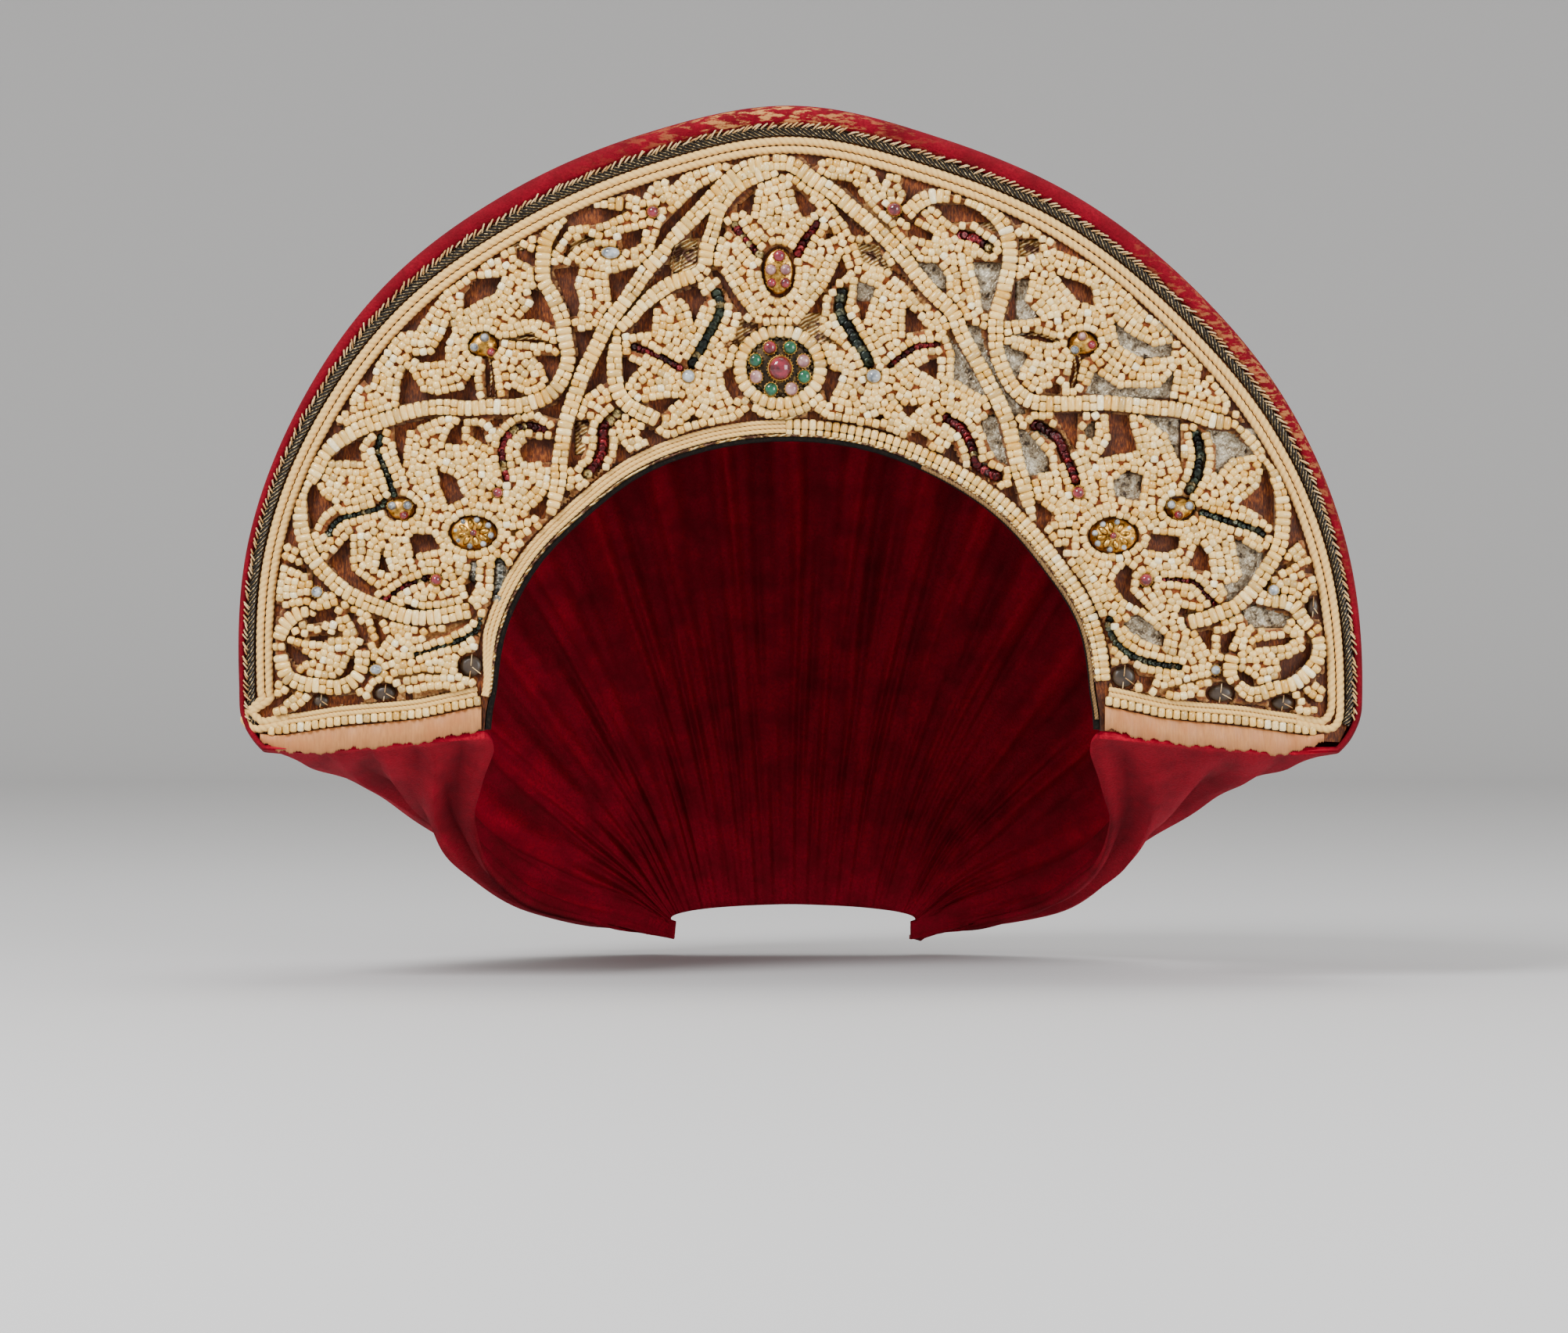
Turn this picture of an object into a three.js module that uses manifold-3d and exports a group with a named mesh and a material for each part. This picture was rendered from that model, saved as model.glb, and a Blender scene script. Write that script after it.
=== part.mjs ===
// Kokoshnik headdress: a stiff crescent front worked in seed beads over padding, with set stones, and a soft
// velvet cap gathered behind it to the nape.
// Millimetres, +Z up, the front faces -Y and +X is the wearer's left as seen from the front.
// The origin is the crown of the head inside the cap.
import * as THREE from 'three';
import { mergeVertices } from 'three/addons/utils/BufferGeometryUtils.js';
import Module from 'manifold-3d';

const wasm = await Module();
wasm.setup();

// Driving sizes
const HALF_WIDTH = 150;
const RISE = 149;
const OPENING_HALF_WIDTH = 79;
const OPENING_RISE = 65.8;
const SPRING_Z = -86.1;
const FRONT_Y = -72;
const BOARD_THICKNESS = 4;
const BOW_RADIUS = 800;
const RIM_END_ANGLE = 96.7;
const OPENING_END_ANGLE = 100.2;
const FIT_GAP = 0.3;
const RELIEF_HEIGHT = 2.6;
const BRAID_WIDTH = 2.3;
const CORD_WIDTH = 2;
const OPENING_BORDER_WIDTH = 4.2;
const BOTTOM_BORDER_WIDTH = 5;
const RIBBON_WIDTH = 6.2;
const CAP_DEPTH = 172;
const VELVET_FRONT_WALL = 1.1;
const VELVET_WALL = 2;
const CAP_GATHERS = 15;
const GATHER_DEPTH = 3.2;

// Share of the two half ellipses that the rim and the opening really reach, by angle from the vertical
const OUTLINE = {
  rim_angle: [-90, -75, -60, -45, -30, -15, 0, 15, 30, 45, 60, 75, 90],
  rim: [0.974, 0.992, 1, 1.007, 1.003, 1.007, 1.022, 1, 0.997, 0.996, 1.005, 1.009, 1.005],
  opening_angle: [-100, -90, -75, -60, -45, -30, -15, 0, 15, 30, 45, 60, 75, 90, 100],
  opening: [1.02, 0.984, 0.98, 0.975, 0.967, 0.985, 0.988, 0.985, 0.98, 0.967, 0.963, 0.96, 0.984, 0.99, 1.02],
};

// Width of the velvet seen in front of the rim, along the rim in percent from one end to the other
const VELVET_FRONT = {
  along: [-100, -70, -50, -30, 0, 30, 50, 70, 100],
  width: [1.6, 2, 3.4, 4.8, 4.8, 4.6, 4.6, 3, 1.6],
};

// The cap in sections from the front to the nape, all in shares: depth of the cap's depth, arch of the front's
// width, ridge, lower corners and feet as heights of the rise over the springing line, feet of the arch's width
const CAP_SECTIONS = {
  depth: [0.08, 0.262, 0.465, 0.669, 0.843, 0.959, 1.006, 1],
  share: [1, 0.95, 0.85, 0.72, 0.58, 0.44, 0.32, 0.24],
  ridge: [1.017, 0.974, 0.88, 0.712, 0.47, 0.162, -0.147, -0.429],
  corner: [-0.12, -0.134, -0.154, -0.221, -0.342, -0.402, -0.436, -0.462],
  foot_x: [1.006, 1.063, 1.114, 1.076, 0.924, 0.71, 0.56, 0.44],
  foot_z: [-0.107, -0.181, -0.268, -0.368, -0.436, -0.469, -0.483, -0.489],
};

// Gaps in the relief where the silk ground shows: outlines as [across, up] in percent of the half width,
// measured from the middle of the springing line
const GAPS = [
  // lower left corner
  [[-92.6, 23.3], [-91.9, 21.5], [-90.3, 20], [-93, 19.2]],
  [[-93.5, 14.9], [-89.3, 14.6], [-90.9, 12.3], [-93.5, 12.5]],
  [[-93.6, 10], [-92, 9.7], [-92.7, 6.2], [-93.6, 6.1]],
  [[-93.5, 4.4], [-91.5, 3.7], [-90, 1.6], [-91.5, 0.4], [-93.2, -0.6]],
  [[-91.5, -3], [-90.4, -1.9], [-87.4, -0.4], [-87.7, -1.3], [-91, -3.7]],
  [[-88.4, -4.6], [-86.2, -3.1], [-83.8, -1.5], [-80, -1.6], [-76.5, -1.1], [-74.2, -2.4], [-79.5, -3], [-84, -4.2]],
  [[-85.6, 12.1], [-83.8, 13.5], [-79, 14.8], [-80, 13.9], [-80, 12], [-82.7, 11.6], [-84.9, 11.3]],
  [[-88.9, 8.1], [-87.1, 6.6], [-84, 5.2], [-85.7, 4.5], [-86.7, 3.7], [-88.2, 5.5], [-89, 6.8]],
  [[-87.5, 9.4], [-85, 9], [-80, 9.4], [-78.1, 9], [-82, 8.7], [-82.6, 8.1], [-84.5, 8.1], [-87.5, 8.8]],
  [[-76.6, 5.1], [-76.5, 3.8], [-78.3, 1.8], [-80.2, 1.2], [-78.2, 3.5], [-77.9, 5]],
  [[-78.2, 13.5], [-77.4, 13.4], [-75.8, 11.2], [-74.5, 9.9], [-74.4, 7.7], [-75.8, 9], [-76.9, 11.2]],
  [[-73.8, 12.4], [-72.8, 12.1], [-70.9, 9], [-72.4, 6.8], [-72.4, 8.8]],
  [[-84.2, 20.7], [-82.7, 18.9], [-81, 17.5], [-82.2, 16.7], [-84.3, 17]],
  [[-91, 24.3], [-89.6, 23.1], [-84.6, 20.3], [-85.8, 20.2], [-89.6, 22.1], [-90.9, 22.9]],
  [[-88.2, 34.7], [-87.9, 29.2], [-86.5, 24.4], [-91.1, 27.1], [-89.6, 31.4]],
  [[-84.6, 35.9], [-83.7, 35.8], [-82.2, 33.5], [-80.1, 32.4], [-82.4, 30.9], [-84.3, 27.3], [-85.4, 33.5]],
  [[-80.3, 41.1], [-78.4, 42.7], [-74.6, 44.2], [-76, 42.6], [-75.3, 39.8], [-81.5, 40.3]],
  [[-77.4, 27.2], [-77.4, 20.8], [-73, 17.8], [-73.1, 15.9], [-77, 17.8], [-79.5, 19.8], [-81.6, 22.5], [-79.7, 24.4]],
  [[-71.2, 25], [-72, 24.6], [-72.7, 20.8], [-70.4, 20.2], [-71.4, 22.6]],
  // left side
  [[-73.1, 60.3], [-71.4, 59.1], [-73.1, 56.7], [-73.9, 53.1], [-76.6, 55.8], [-74.1, 58.9]],
  [[-78.6, 52.9], [-77.4, 51.3], [-77.4, 48.6], [-80.3, 49.2]],
  [[-82.2, 47.2], [-78.2, 45.9], [-81.7, 43.8], [-85.5, 40.3], [-83.9, 44.1]],
  [[-60, 64.8], [-59.3, 62.7], [-60.5, 60.8], [-60.7, 57.5], [-64.8, 57.2], [-66.9, 58.5], [-62.9, 59], [-61.2, 62]],
  [[-67.7, 56.3], [-66.6, 55.5], [-65, 52.4], [-62.4, 51.6], [-57.6, 52.7], [-55.5, 55.8], [-55.2, 50.5], [-61.2, 51],
   [-69.1, 50], [-68.8, 53.4]],
  [[-70.6, 63.1], [-66, 67.7], [-62.3, 71.4], [-59.2, 73.9], [-58.7, 72.9], [-61.3, 69.5], [-64.8, 64.7], [-66, 62.8]],
  [[-57.6, 66.5], [-57.4, 69.5], [-55, 72.1], [-50.6, 72.4], [-52.2, 69.2], [-55.9, 67.5]],
  [[-56.7, 76.1], [-53.6, 78.2], [-51, 79.3], [-51.1, 75.8], [-56, 74.7]],
  [[-48.1, 77.9], [-44.7, 76.6], [-44.8, 74], [-48.2, 75.6]],
  [[-47.7, 81.7], [-44.3, 83.5], [-43.6, 81.5], [-43.8, 80.1], [-47.1, 81]],
  [[-45.8, 70.5], [-43.5, 69.5], [-41.1, 63.5], [-44.9, 64.9], [-48.3, 64.5], [-45.3, 67.6]],
  [[-41.9, 73.7], [-37.1, 74.3], [-38, 71.1], [-37.1, 67.4], [-37.5, 65.6], [-38.5, 65.4], [-40.3, 69.7]],
  [[-51.2, 61.4], [-47.4, 62], [-46, 62.4], [-42.2, 60.5], [-48, 60.9]],
  [[-45.5, 58.5], [-40.1, 58.5], [-42.4, 53.2], [-43.5, 56.6]],
  [[-53.5, 58], [-52.4, 57.8], [-51.5, 51.4], [-53.4, 51.1], [-53.8, 55.9]],
  [[-49.2, 53], [-46.3, 51.5], [-49.9, 50.6]],
  [[-45, 48.6], [-41, 50], [-38, 55.3], [-40.8, 47.3]],
  [[-38, 62.8], [-34.2, 63], [-36.6, 58.2], [-38, 55.3], [-37.4, 58.9]],
  [[-69.8, 46.2], [-66.5, 46.9], [-60.7, 48], [-67.2, 45.3], [-68.2, 38.8], [-69.5, 41.7]],
  [[-60, 45.5], [-57.4, 47.4], [-57.8, 42.9], [-60.9, 43]],
  [[-55.7, 46.1], [-54.7, 46.1], [-52.9, 42.3], [-55.7, 44]],
  [[-53.1, 47.1], [-50.2, 47.5], [-52.2, 45.7]],
  [[-47.7, 42.2], [-45.4, 44], [-41.5, 43.8], [-42.1, 39.7], [-47.2, 39.7]],
  [[-46.3, 31], [-43.7, 33.2], [-42.5, 34.9], [-43.3, 29.4]],
  [[-39.9, 34.8], [-38.3, 34.7], [-39.4, 33.4], [-40.2, 31.2]],
  [[-67.1, 26.6], [-66, 27.2], [-63, 27], [-61.6, 24.5], [-65.3, 23.8], [-66.4, 22.7]],
  [[-62.3, 38.7], [-58.8, 36.9], [-57.4, 33.5], [-60.1, 31.9], [-61.4, 34.8]],
  [[-57.3, 18.3], [-55, 18.3], [-56.8, 15.8]],
  [[-47.6, 24.8], [-45.3, 26.6], [-46.7, 22.5]],
  [[-49, 27.7], [-46.3, 28.4], [-48.9, 26.8]],
  [[-68.9, 14.3], [-67.7, 14.9], [-65, 14], [-60.2, 14.2], [-65, 13.6]],
  [[-64.5, 9.3], [-61.1, 10], [-57, 12.1], [-60, 10.2], [-64.2, 8.6]],
  [[-53.6, 14.9], [-51.2, 13.1], [-51.4, 12.6], [-53.6, 14.2]],
  [[-51.6, 10.8], [-52, 8], [-53, 5.6], [-55.2, 6], [-58.6, 4.6], [-55, 6.6], [-53.2, 6.4], [-52.6, 8.5]],
  [[-69.6, 2.1], [-64.2, 2.9], [-58.9, 2.2], [-64.2, 2.4], [-69.6, 1.6]],
  [[-68.6, -1.3], [-63.5, -0.3], [-60.7, -0.1], [-63.5, -0.8], [-68.6, -1.9]],
  [[-37.9, 47.1], [-35.2, 47.3], [-36.6, 43.5], [-36.1, 42], [-37.9, 38.9], [-39.4, 38.5], [-38.6, 43.5]],
  [[-30.4, 43.8], [-28.4, 41.2], [-31.1, 38.5]],
  // left of the crest
  [[-29.8, 58.3], [-26.2, 56.5], [-28.1, 55.1], [-29.3, 52.6]],
  [[-24.2, 67.2], [-24.5, 62.6], [-28.3, 62.1], [-25.9, 66]],
  [[-20.4, 69.2], [-16.4, 70.7], [-15.1, 68.6], [-17.1, 64.1], [-18.3, 67.4]],
  [[-14, 75], [-13.2, 73.5], [-11.8, 72.1], [-9.2, 68], [-7.3, 65.7], [-8.9, 65.4], [-12.5, 71.3], [-14.1, 73]],
  [[-12.1, 60.3], [-10, 61.3], [-9.3, 64.6], [-5.7, 64.1], [-9.7, 60.3]],
  [[-12.1, 55.4], [-10.7, 56.2], [-9, 52.3], [-10.2, 50.2], [-11.9, 53.3]],
  [[-25.9, 50.2], [-23.5, 50.8], [-19.5, 51.1], [-22.8, 48.1]],
  [[-26.9, 44.5], [-25.7, 45.8], [-22.1, 43.9], [-24.5, 42.8]],
  [[-19, 46.7], [-17.3, 48.1], [-15.4, 47.1]],
  [[-10.2, 46.9], [-7.3, 49.1], [-5.2, 47.6], [-7.5, 47.3]],
  [[-29.5, 65.5], [-25.3, 70.6], [-21.1, 75.3], [-21.1, 72.7], [-25.2, 69.9], [-29.2, 65]],
  [[-30.6, 62.6], [-33.9, 57.5], [-36.6, 51.1], [-32.3, 53.9], [-32.3, 59.4]],
  [[-32.1, 72.7], [-26.5, 74.2], [-31.4, 66.9], [-31.9, 70]],
  [[-32.6, 88.5], [-25.3, 91.3], [-24.9, 88], [-26.1, 85.8], [-30, 87.9]],
  [[-40.7, 80.5], [-37.8, 83.6], [-33.8, 84.6], [-29, 83.6], [-33, 81.7], [-39, 81], [-41.8, 76.7]],
  [[-39.3, 77.9], [-35.9, 79.6], [-33.8, 78.9], [-37.8, 77.6], [-40, 75]],
  [[-30, 79.8], [-25.9, 81], [-26.4, 77.9], [-29.5, 77]],
  [[-22.1, 92.3], [-17.3, 93.7], [-6.6, 95.1], [-9.9, 91.9], [-14.2, 92.8], [-17.8, 91.6], [-21.3, 87.9]],
  [[-13, 89.3], [-16.6, 87.5], [-22.9, 81.2], [-24.6, 75.7], [-21.4, 80.2], [-16.6, 85.2], [-14.4, 87.6]],
  [[-14, 84.2], [-15.4, 79.2], [-18.2, 79]],
  [[-21, 77.7], [-16.6, 78.6], [-16.5, 75.2], [-17.3, 73.5], [-20.5, 73]],
  // crest
  [[-10, 84.2], [-6.3, 87.4], [-7, 82.8]],
  [[-12, 82.6], [-11.6, 79.7], [-12.9, 79]],
  [[0, 87.6], [1.3, 87.3], [4.4, 84], [1.7, 82.6]],
  [[0.1, 94.7], [5.6, 94.5], [8.9, 93.8], [5.4, 92.8], [3.8, 91.6]],
  [[6.8, 81.1], [7.3, 79.2], [5.6, 78.5]],
  // right of the crest
  [[9.2, 94], [14, 92.7], [17.3, 92.2], [15.5, 88.2], [14.4, 90.5], [11.6, 92.6]],
  [[6.8, 89.3], [10.4, 89], [13.2, 84.7], [16.9, 81], [17.1, 80.1], [13.8, 83.6], [9.2, 88]],
  [[5.1, 86.9], [7.8, 84.7], [10.1, 82.3], [13, 79.5], [10.6, 79.5], [8.5, 83]],
  [[11.1, 78.4], [14.7, 77.5], [17.1, 73.4], [14, 74.1], [12.3, 74.8]],
  [[8.7, 76.1], [9.7, 73], [6.8, 70.7], [5.2, 68.1], [5.2, 66.2], [4.6, 62.9], [8.8, 59.8], [5.2, 61], [1.1, 64.1],
   [3.1, 66.5], [6.6, 71.4]],
  [[11.4, 71.5], [14.7, 70.3], [12.4, 64.1], [11.2, 67.9]],
  [[19.8, 67.2], [23.8, 63.3], [19.6, 62.2]],
  [[17.1, 73.9], [20.4, 71.3], [23.1, 67.7], [23.1, 66.9], [20.4, 70.4], [17.3, 72.7]],
  [[21.6, 74.8], [25, 74.8], [26.9, 72.2], [27, 68.6], [25.7, 70]],
  [[20.9, 90.9], [25.9, 90], [28.3, 88.8], [22.6, 87.7], [20.2, 85.8], [18.9, 88.2]],
  [[24.4, 84.8], [29.7, 85.1], [33.1, 83.6], [36, 80.1], [31.6, 82], [27.8, 81.7]],
  [[20.4, 82], [24.6, 79.8], [24.4, 78.4], [20.2, 79.6]],
  [[31.4, 75.5], [36.7, 74.7], [34.5, 66.5], [33.1, 66.7], [32.6, 70]],
  [[27.1, 62.3], [29.4, 59.1], [34.2, 50.9], [28, 54.3], [28.4, 58]],
  [[21.4, 56.2], [25.5, 58.1], [25.2, 54.3]],
  [[17.8, 51], [20, 49.3], [23.3, 50.2], [20.2, 47.6]],
  [[6.2, 56.2], [8.7, 55.2], [6.4, 50], [5.4, 52.4]],
  [[2.4, 47.9], [3.8, 48.8], [5.7, 47.4]],
  [[13, 47.3], [15.7, 48.1], [16.4, 46.9]],
  [[20.2, 43.9], [21.9, 45.1], [23.9, 43.8], [22.7, 41.4]],
  [[26.2, 40.5], [27.7, 43], [29.8, 38.7]],
  // right side
  [[36.2, 85.5], [40, 83.9], [43.3, 82], [39, 81.5]],
  [[39.6, 79.2], [43.1, 79.1], [43.2, 76.5], [39.9, 75.9]],
  [[46.2, 78.4], [50, 78.4], [52.9, 75.9], [52.8, 74.5], [46.3, 77]],
  [[39, 71.5], [41.6, 72.4], [40.7, 68.1], [43.3, 65], [37.4, 64.5]],
  [[45.9, 72.9], [50.5, 71.5], [52.3, 70.4], [53, 67.4], [49.8, 68.1]],
  [[38.1, 62.1], [42, 62.6], [47.3, 61.2], [44.8, 60.6]],
  [[36.6, 60.5], [41.3, 58.7], [39, 54.1]],
  [[30.1, 63.9], [32.6, 63.7], [34, 58.7], [37.4, 51.6], [41.1, 48.4], [38.8, 47.7], [34.9, 55.5]],
  [[43.6, 52.2], [46.6, 53.6], [46.9, 51.7]],
  [[49.1, 58.5], [50.9, 58.5], [49.6, 53], [48.4, 53.2]],
  [[45.7, 48.4], [50, 48.4], [49.8, 41.5]],
  [[54.8, 74.3], [59.7, 70.6], [66.7, 64.8], [62.6, 65.6], [56.2, 72], [54.8, 73.1]],
  [[56.2, 64.8], [59, 62.5], [63.3, 60.1], [66.7, 61.1], [66.5, 58.4], [61.4, 57.9], [57.1, 60.5]],
  [[51.4, 52], [52.8, 55.7], [56.9, 52.9], [64.5, 52.9], [67.1, 56.3], [66.2, 50.5]],
  [[71.9, 59.8], [74.3, 57], [71.4, 53.4]],
  [[76.7, 53.2], [80, 49.1], [76.7, 48.9]],
  [[81.4, 47.5], [83.8, 42.9], [77.8, 46.5]],
  [[55.1, 48.4], [58.7, 48.1], [60.5, 41.7], [53.6, 40.4], [55.6, 43.5]],
  [[51, 45.5], [53.2, 47.2], [52.7, 42.8]],
  [[56, 36.4], [58.5, 38.3], [61.4, 37.6], [60.8, 32.8], [56.4, 33.9]],
  [[60.8, 48.1], [68.1, 47.4], [68.3, 38.6], [65.6, 44.8]],
  [[72.4, 45.7], [77.1, 45], [81.7, 41.2], [77, 40.5], [74.4, 37.4], [74.4, 42.9]],
  [[82.9, 40.2], [84.7, 34.4], [84.7, 28], [82.6, 30.5], [78.2, 32.4], [82.1, 35.5]],
  [[86.3, 39.4], [88.6, 35.5], [91.3, 28.2], [86.9, 24.1], [87.7, 32]],
  [[77.5, 26.5], [83, 23.4], [80.3, 18.8], [76.7, 15.1], [75.5, 18.1], [79, 19.2]],
  [[71.2, 25.7], [73, 23.4], [73.6, 20.2], [69.2, 21.5]],
  [[62.9, 27.3], [67.9, 26.6], [67.7, 24.7], [65.8, 23.7], [62.1, 24.3]],
  [[92.9, 23.8], [93.7, 20.4], [89.9, 20.3]],
  [[91, 24.5], [91.4, 23.8], [85, 20.1], [85.3, 21.4], [89, 22.5]],
  [[89.9, 15.1], [94.9, 16], [95.1, 12.3], [92.2, 12.1]],
  [[94.8, 9.1], [95.9, 9.3], [96.1, 6.6], [94.8, 6.4]],
  [[91.8, 1.1], [96.5, 4.7], [95.9, -1.9]],
  [[89.3, -1.4], [90.2, -1], [94.4, -4.2], [94.6, -5], [92.1, -3.5]],
  [[78.9, 13.2], [80.9, 14.6], [87.7, 12.5], [86.4, 10.6], [81.1, 10.5]],
  [[71, 9.7], [73.8, 10.4], [73.5, 5.7]],
  [[75.3, 9.3], [78.1, 10.6], [76.1, 5.7], [75.2, 6.8]],
  [[91, 9.1], [91.4, 7], [91, 4.9], [86.2, 1.1], [85.3, 4.7], [89.8, 6.4]],
  [[80.5, 7], [81.8, 8.3], [89.3, 9.1], [86.6, 7.6]],
  [[77.9, 2.6], [78.4, 3.3], [80.9, 1.7], [81.3, 0], [78.8, 1.3]],
  [[77.5, -2.8], [83.6, -3.4], [83.6, -4.2], [79.2, -3.6]],
  [[56, 18.7], [58.2, 21.8], [59.6, 21], [59.2, 17], [63.6, 12.4], [57.8, 15.8]],
  [[57.8, 11.2], [60.4, 13], [65.3, 9.2], [65, 7.1], [60.4, 9]],
  [[60.4, 2.1], [63.6, 1.8], [62, -1.5]],
  [[54.5, 5.5], [56.2, 3.9], [54.6, 4.4]],
  [[64.4, -0.4], [74.9, 2.6], [74.9, 2], [68.7, 0.6], [64.4, -1]],
  [[67.5, -2.2], [70.1, -1.7], [72.5, -3.1]],
  [[67.9, 14.2], [72.5, 13.4], [67.5, 12.9]],
  [[42.2, 33], [45.7, 30.7], [43.4, 26.8]],
  [[45.7, 27.9], [48.9, 28.4], [49.1, 27.7]],
  [[45.4, 25], [47.7, 25], [47.2, 22]],
  [[49.3, 19.9], [51.4, 16.9], [53, 12.4], [50.9, 16.6]],
  [[39.2, 45.5], [40.7, 45.5], [44.7, 40.9], [45.4, 38], [41.2, 37.3], [40.1, 42.2]],
  [[36.1, 34.7], [38.7, 35.6], [40.4, 29.2], [37.9, 32.6]],
  [[32.8, 46.8], [35.4, 48.4], [37.7, 39.1], [35.2, 40.9]],
];

// Narrow channels that hold strings of sequins: width in percent and the middle line as [across, up]
const CHANNELS = [
  { width: 1.1, line: [[-81.4, 27.1], [-79.9, 29.5], [-77, 30.5], [-72.7, 31.6], [-71.5, 33]] },
  { width: 1.2, line: [[-72.1, 44.1], [-72.7, 42], [-71.5, 38.9], [-69.8, 34]] },
  { width: 0.9, line: [[-71.2, 15.7], [-69.5, 17], [-67, 18.3], [-63.6, 19.6]] },
  { width: 1.4, line: [[-43.5, 45.6], [-46.4, 46.1], [-48.7, 45.4], [-50.5, 43], [-50.6, 39.5], [-49.9, 36.9]] },
  { width: 0.8, line: [[-65.9, 5.9], [-61.8, 7.1], [-57.4, 8.8], [-54.9, 10.7], [-54.7, 12.3]] },
  { width: 1.8, line: [[-51.2, 22], [-51.4, 18], [-51.8, 15.6]] },
  { width: 1.3, line: [[-55.7, 21.5], [-56, 19.2]] },
  { width: 2, line: [[-30.6, 48.1], [-32.9, 45.8], [-33.1, 42.5], [-34.2, 39.4], [-35.9, 37.8]] },
  { width: 1.2, line: [[-27.4, 60], [-24, 58.6], [-19.8, 56.3]] },
  { width: 1.7, line: [[-13.2, 69.3], [-12.5, 66.5], [-14.5, 62.4], [-17.4, 57.1]] },
  { width: 1.4, line: [[-10, 81.4], [-7.2, 77.6], [-5.6, 76]] },
  { width: 1.6, line: [[4.2, 81.4], [1.8, 78], [1, 76.3]] },
  { width: 2, line: [[8.8, 69.4], [8.3, 66.5], [9.9, 63.2], [12.3, 59.3], [13.3, 57.1]] },
  { width: 1.2, line: [[25, 60.3], [21.5, 59.9], [18.8, 58], [17.2, 56.7]] },
  { width: 1.8, line: [[29.5, 79.7], [32, 79], [34.3, 77.4]] },
  { width: 1.8, line: [[26.9, 47.5], [29.8, 45.3], [31.4, 42.2], [32.4, 39.2], [35.9, 37.2]] },
  { width: 1.9, line: [[42.5, 46.3], [46.3, 44], [48.2, 39.9], [49.6, 36.6]] },
  { width: 2, line: [[70.8, 44.5], [71.6, 41.5], [71, 37.6], [69.6, 35]] },
  { width: 1.3, line: [[72, 30.9], [75.7, 29.7], [80.8, 28.2], [82.6, 27.2]] },
  { width: 1.3, line: [[55.6, 11.9], [55.4, 10.2], [57.8, 6.8], [62.2, 4.6], [67.9, 3.6]] },
  { width: 0.9, line: [[65.1, 19.1], [70.1, 18.7], [72.7, 16.2], [74.1, 15]] },
];

// Set pieces; the stones of the medallion and the crest are [name, material, right, up] from their middle in mm
const MEDALLION = { across: -2.1, over_border: 2.5, setting: [8.7, 7.9], ring: [12.1, 10.9], ring_inner: 0.757 };
const CREST = { across: -2.4, over_medallion: 8, half: [4.1, 6.2] };
const OVALS = [
  { name: 'oval_flower_left', at: [-55.8, 27.3], half: [6.1, 4.5] },
  { name: 'oval_flower_right', at: [56.2, 26.8], half: [6.4, 4.7] },
];
const TREFOILS = [
  { name: 'trefoil_upper_left', stones: [[-53.8, 61.7], [-55.6, 60], [-52.6, 59.1]] },
  { name: 'trefoil_upper_right', stones: [[50.7, 61.9], [52.4, 60.4], [49.4, 59.5]] },
  { name: 'trefoil_lower_left', stones: [[-70.1, 32.1], [-67.4, 32.2], [-68, 30.4]] },
  { name: 'trefoil_lower_right', stones: [[66.4, 32.3], [69.6, 32.1], [67.7, 30.5]] },
];
const MEDALLION_STONES = [
  ['medallion_stone_middle', 'glass_pink', 0.0, -0.3, 2.9, 2.4, 14],
  ['medallion_stone_1', 'glass_pink', -2.7, 5.1, 1.6, 1.3, 10],
  ['medallion_stone_2', 'glass_green', 2.6, 5.1, 1.6, 1.3, 10],
  ['medallion_stone_3', 'glass_white', 6.1, 1.6, 1.6, 1.3, 10],
  ['medallion_stone_4', 'glass_green', 6.3, -2.5, 1.6, 1.3, 10],
  ['medallion_stone_5', 'glass_white', 3.0, -5.7, 1.6, 1.3, 10],
  ['medallion_stone_6', 'glass_green', -2.4, -5.8, 1.6, 1.3, 10],
  ['medallion_stone_7', 'glass_white', -6.3, -2.5, 1.6, 1.3, 10],
  ['medallion_stone_8', 'glass_green', -6.5, 1.8, 1.6, 1.3, 10],
];
const CREST_STONES = [
  ['crest_stone_top', 'glass_pink', 0.2, 4.0, 1.4],
  ['crest_stone_upper_left', 'glass_white', -2.0, 0.4, 1.3],
  ['crest_stone_upper_right', 'glass_white', 1.9, 0.4, 1.3],
  ['crest_stone_lower_left', 'glass_pink', -1.8, -3.1, 1.1],
  ['crest_stone_lower_right', 'glass_pink', 1.8, -3.1, 1.2],
];
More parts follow.
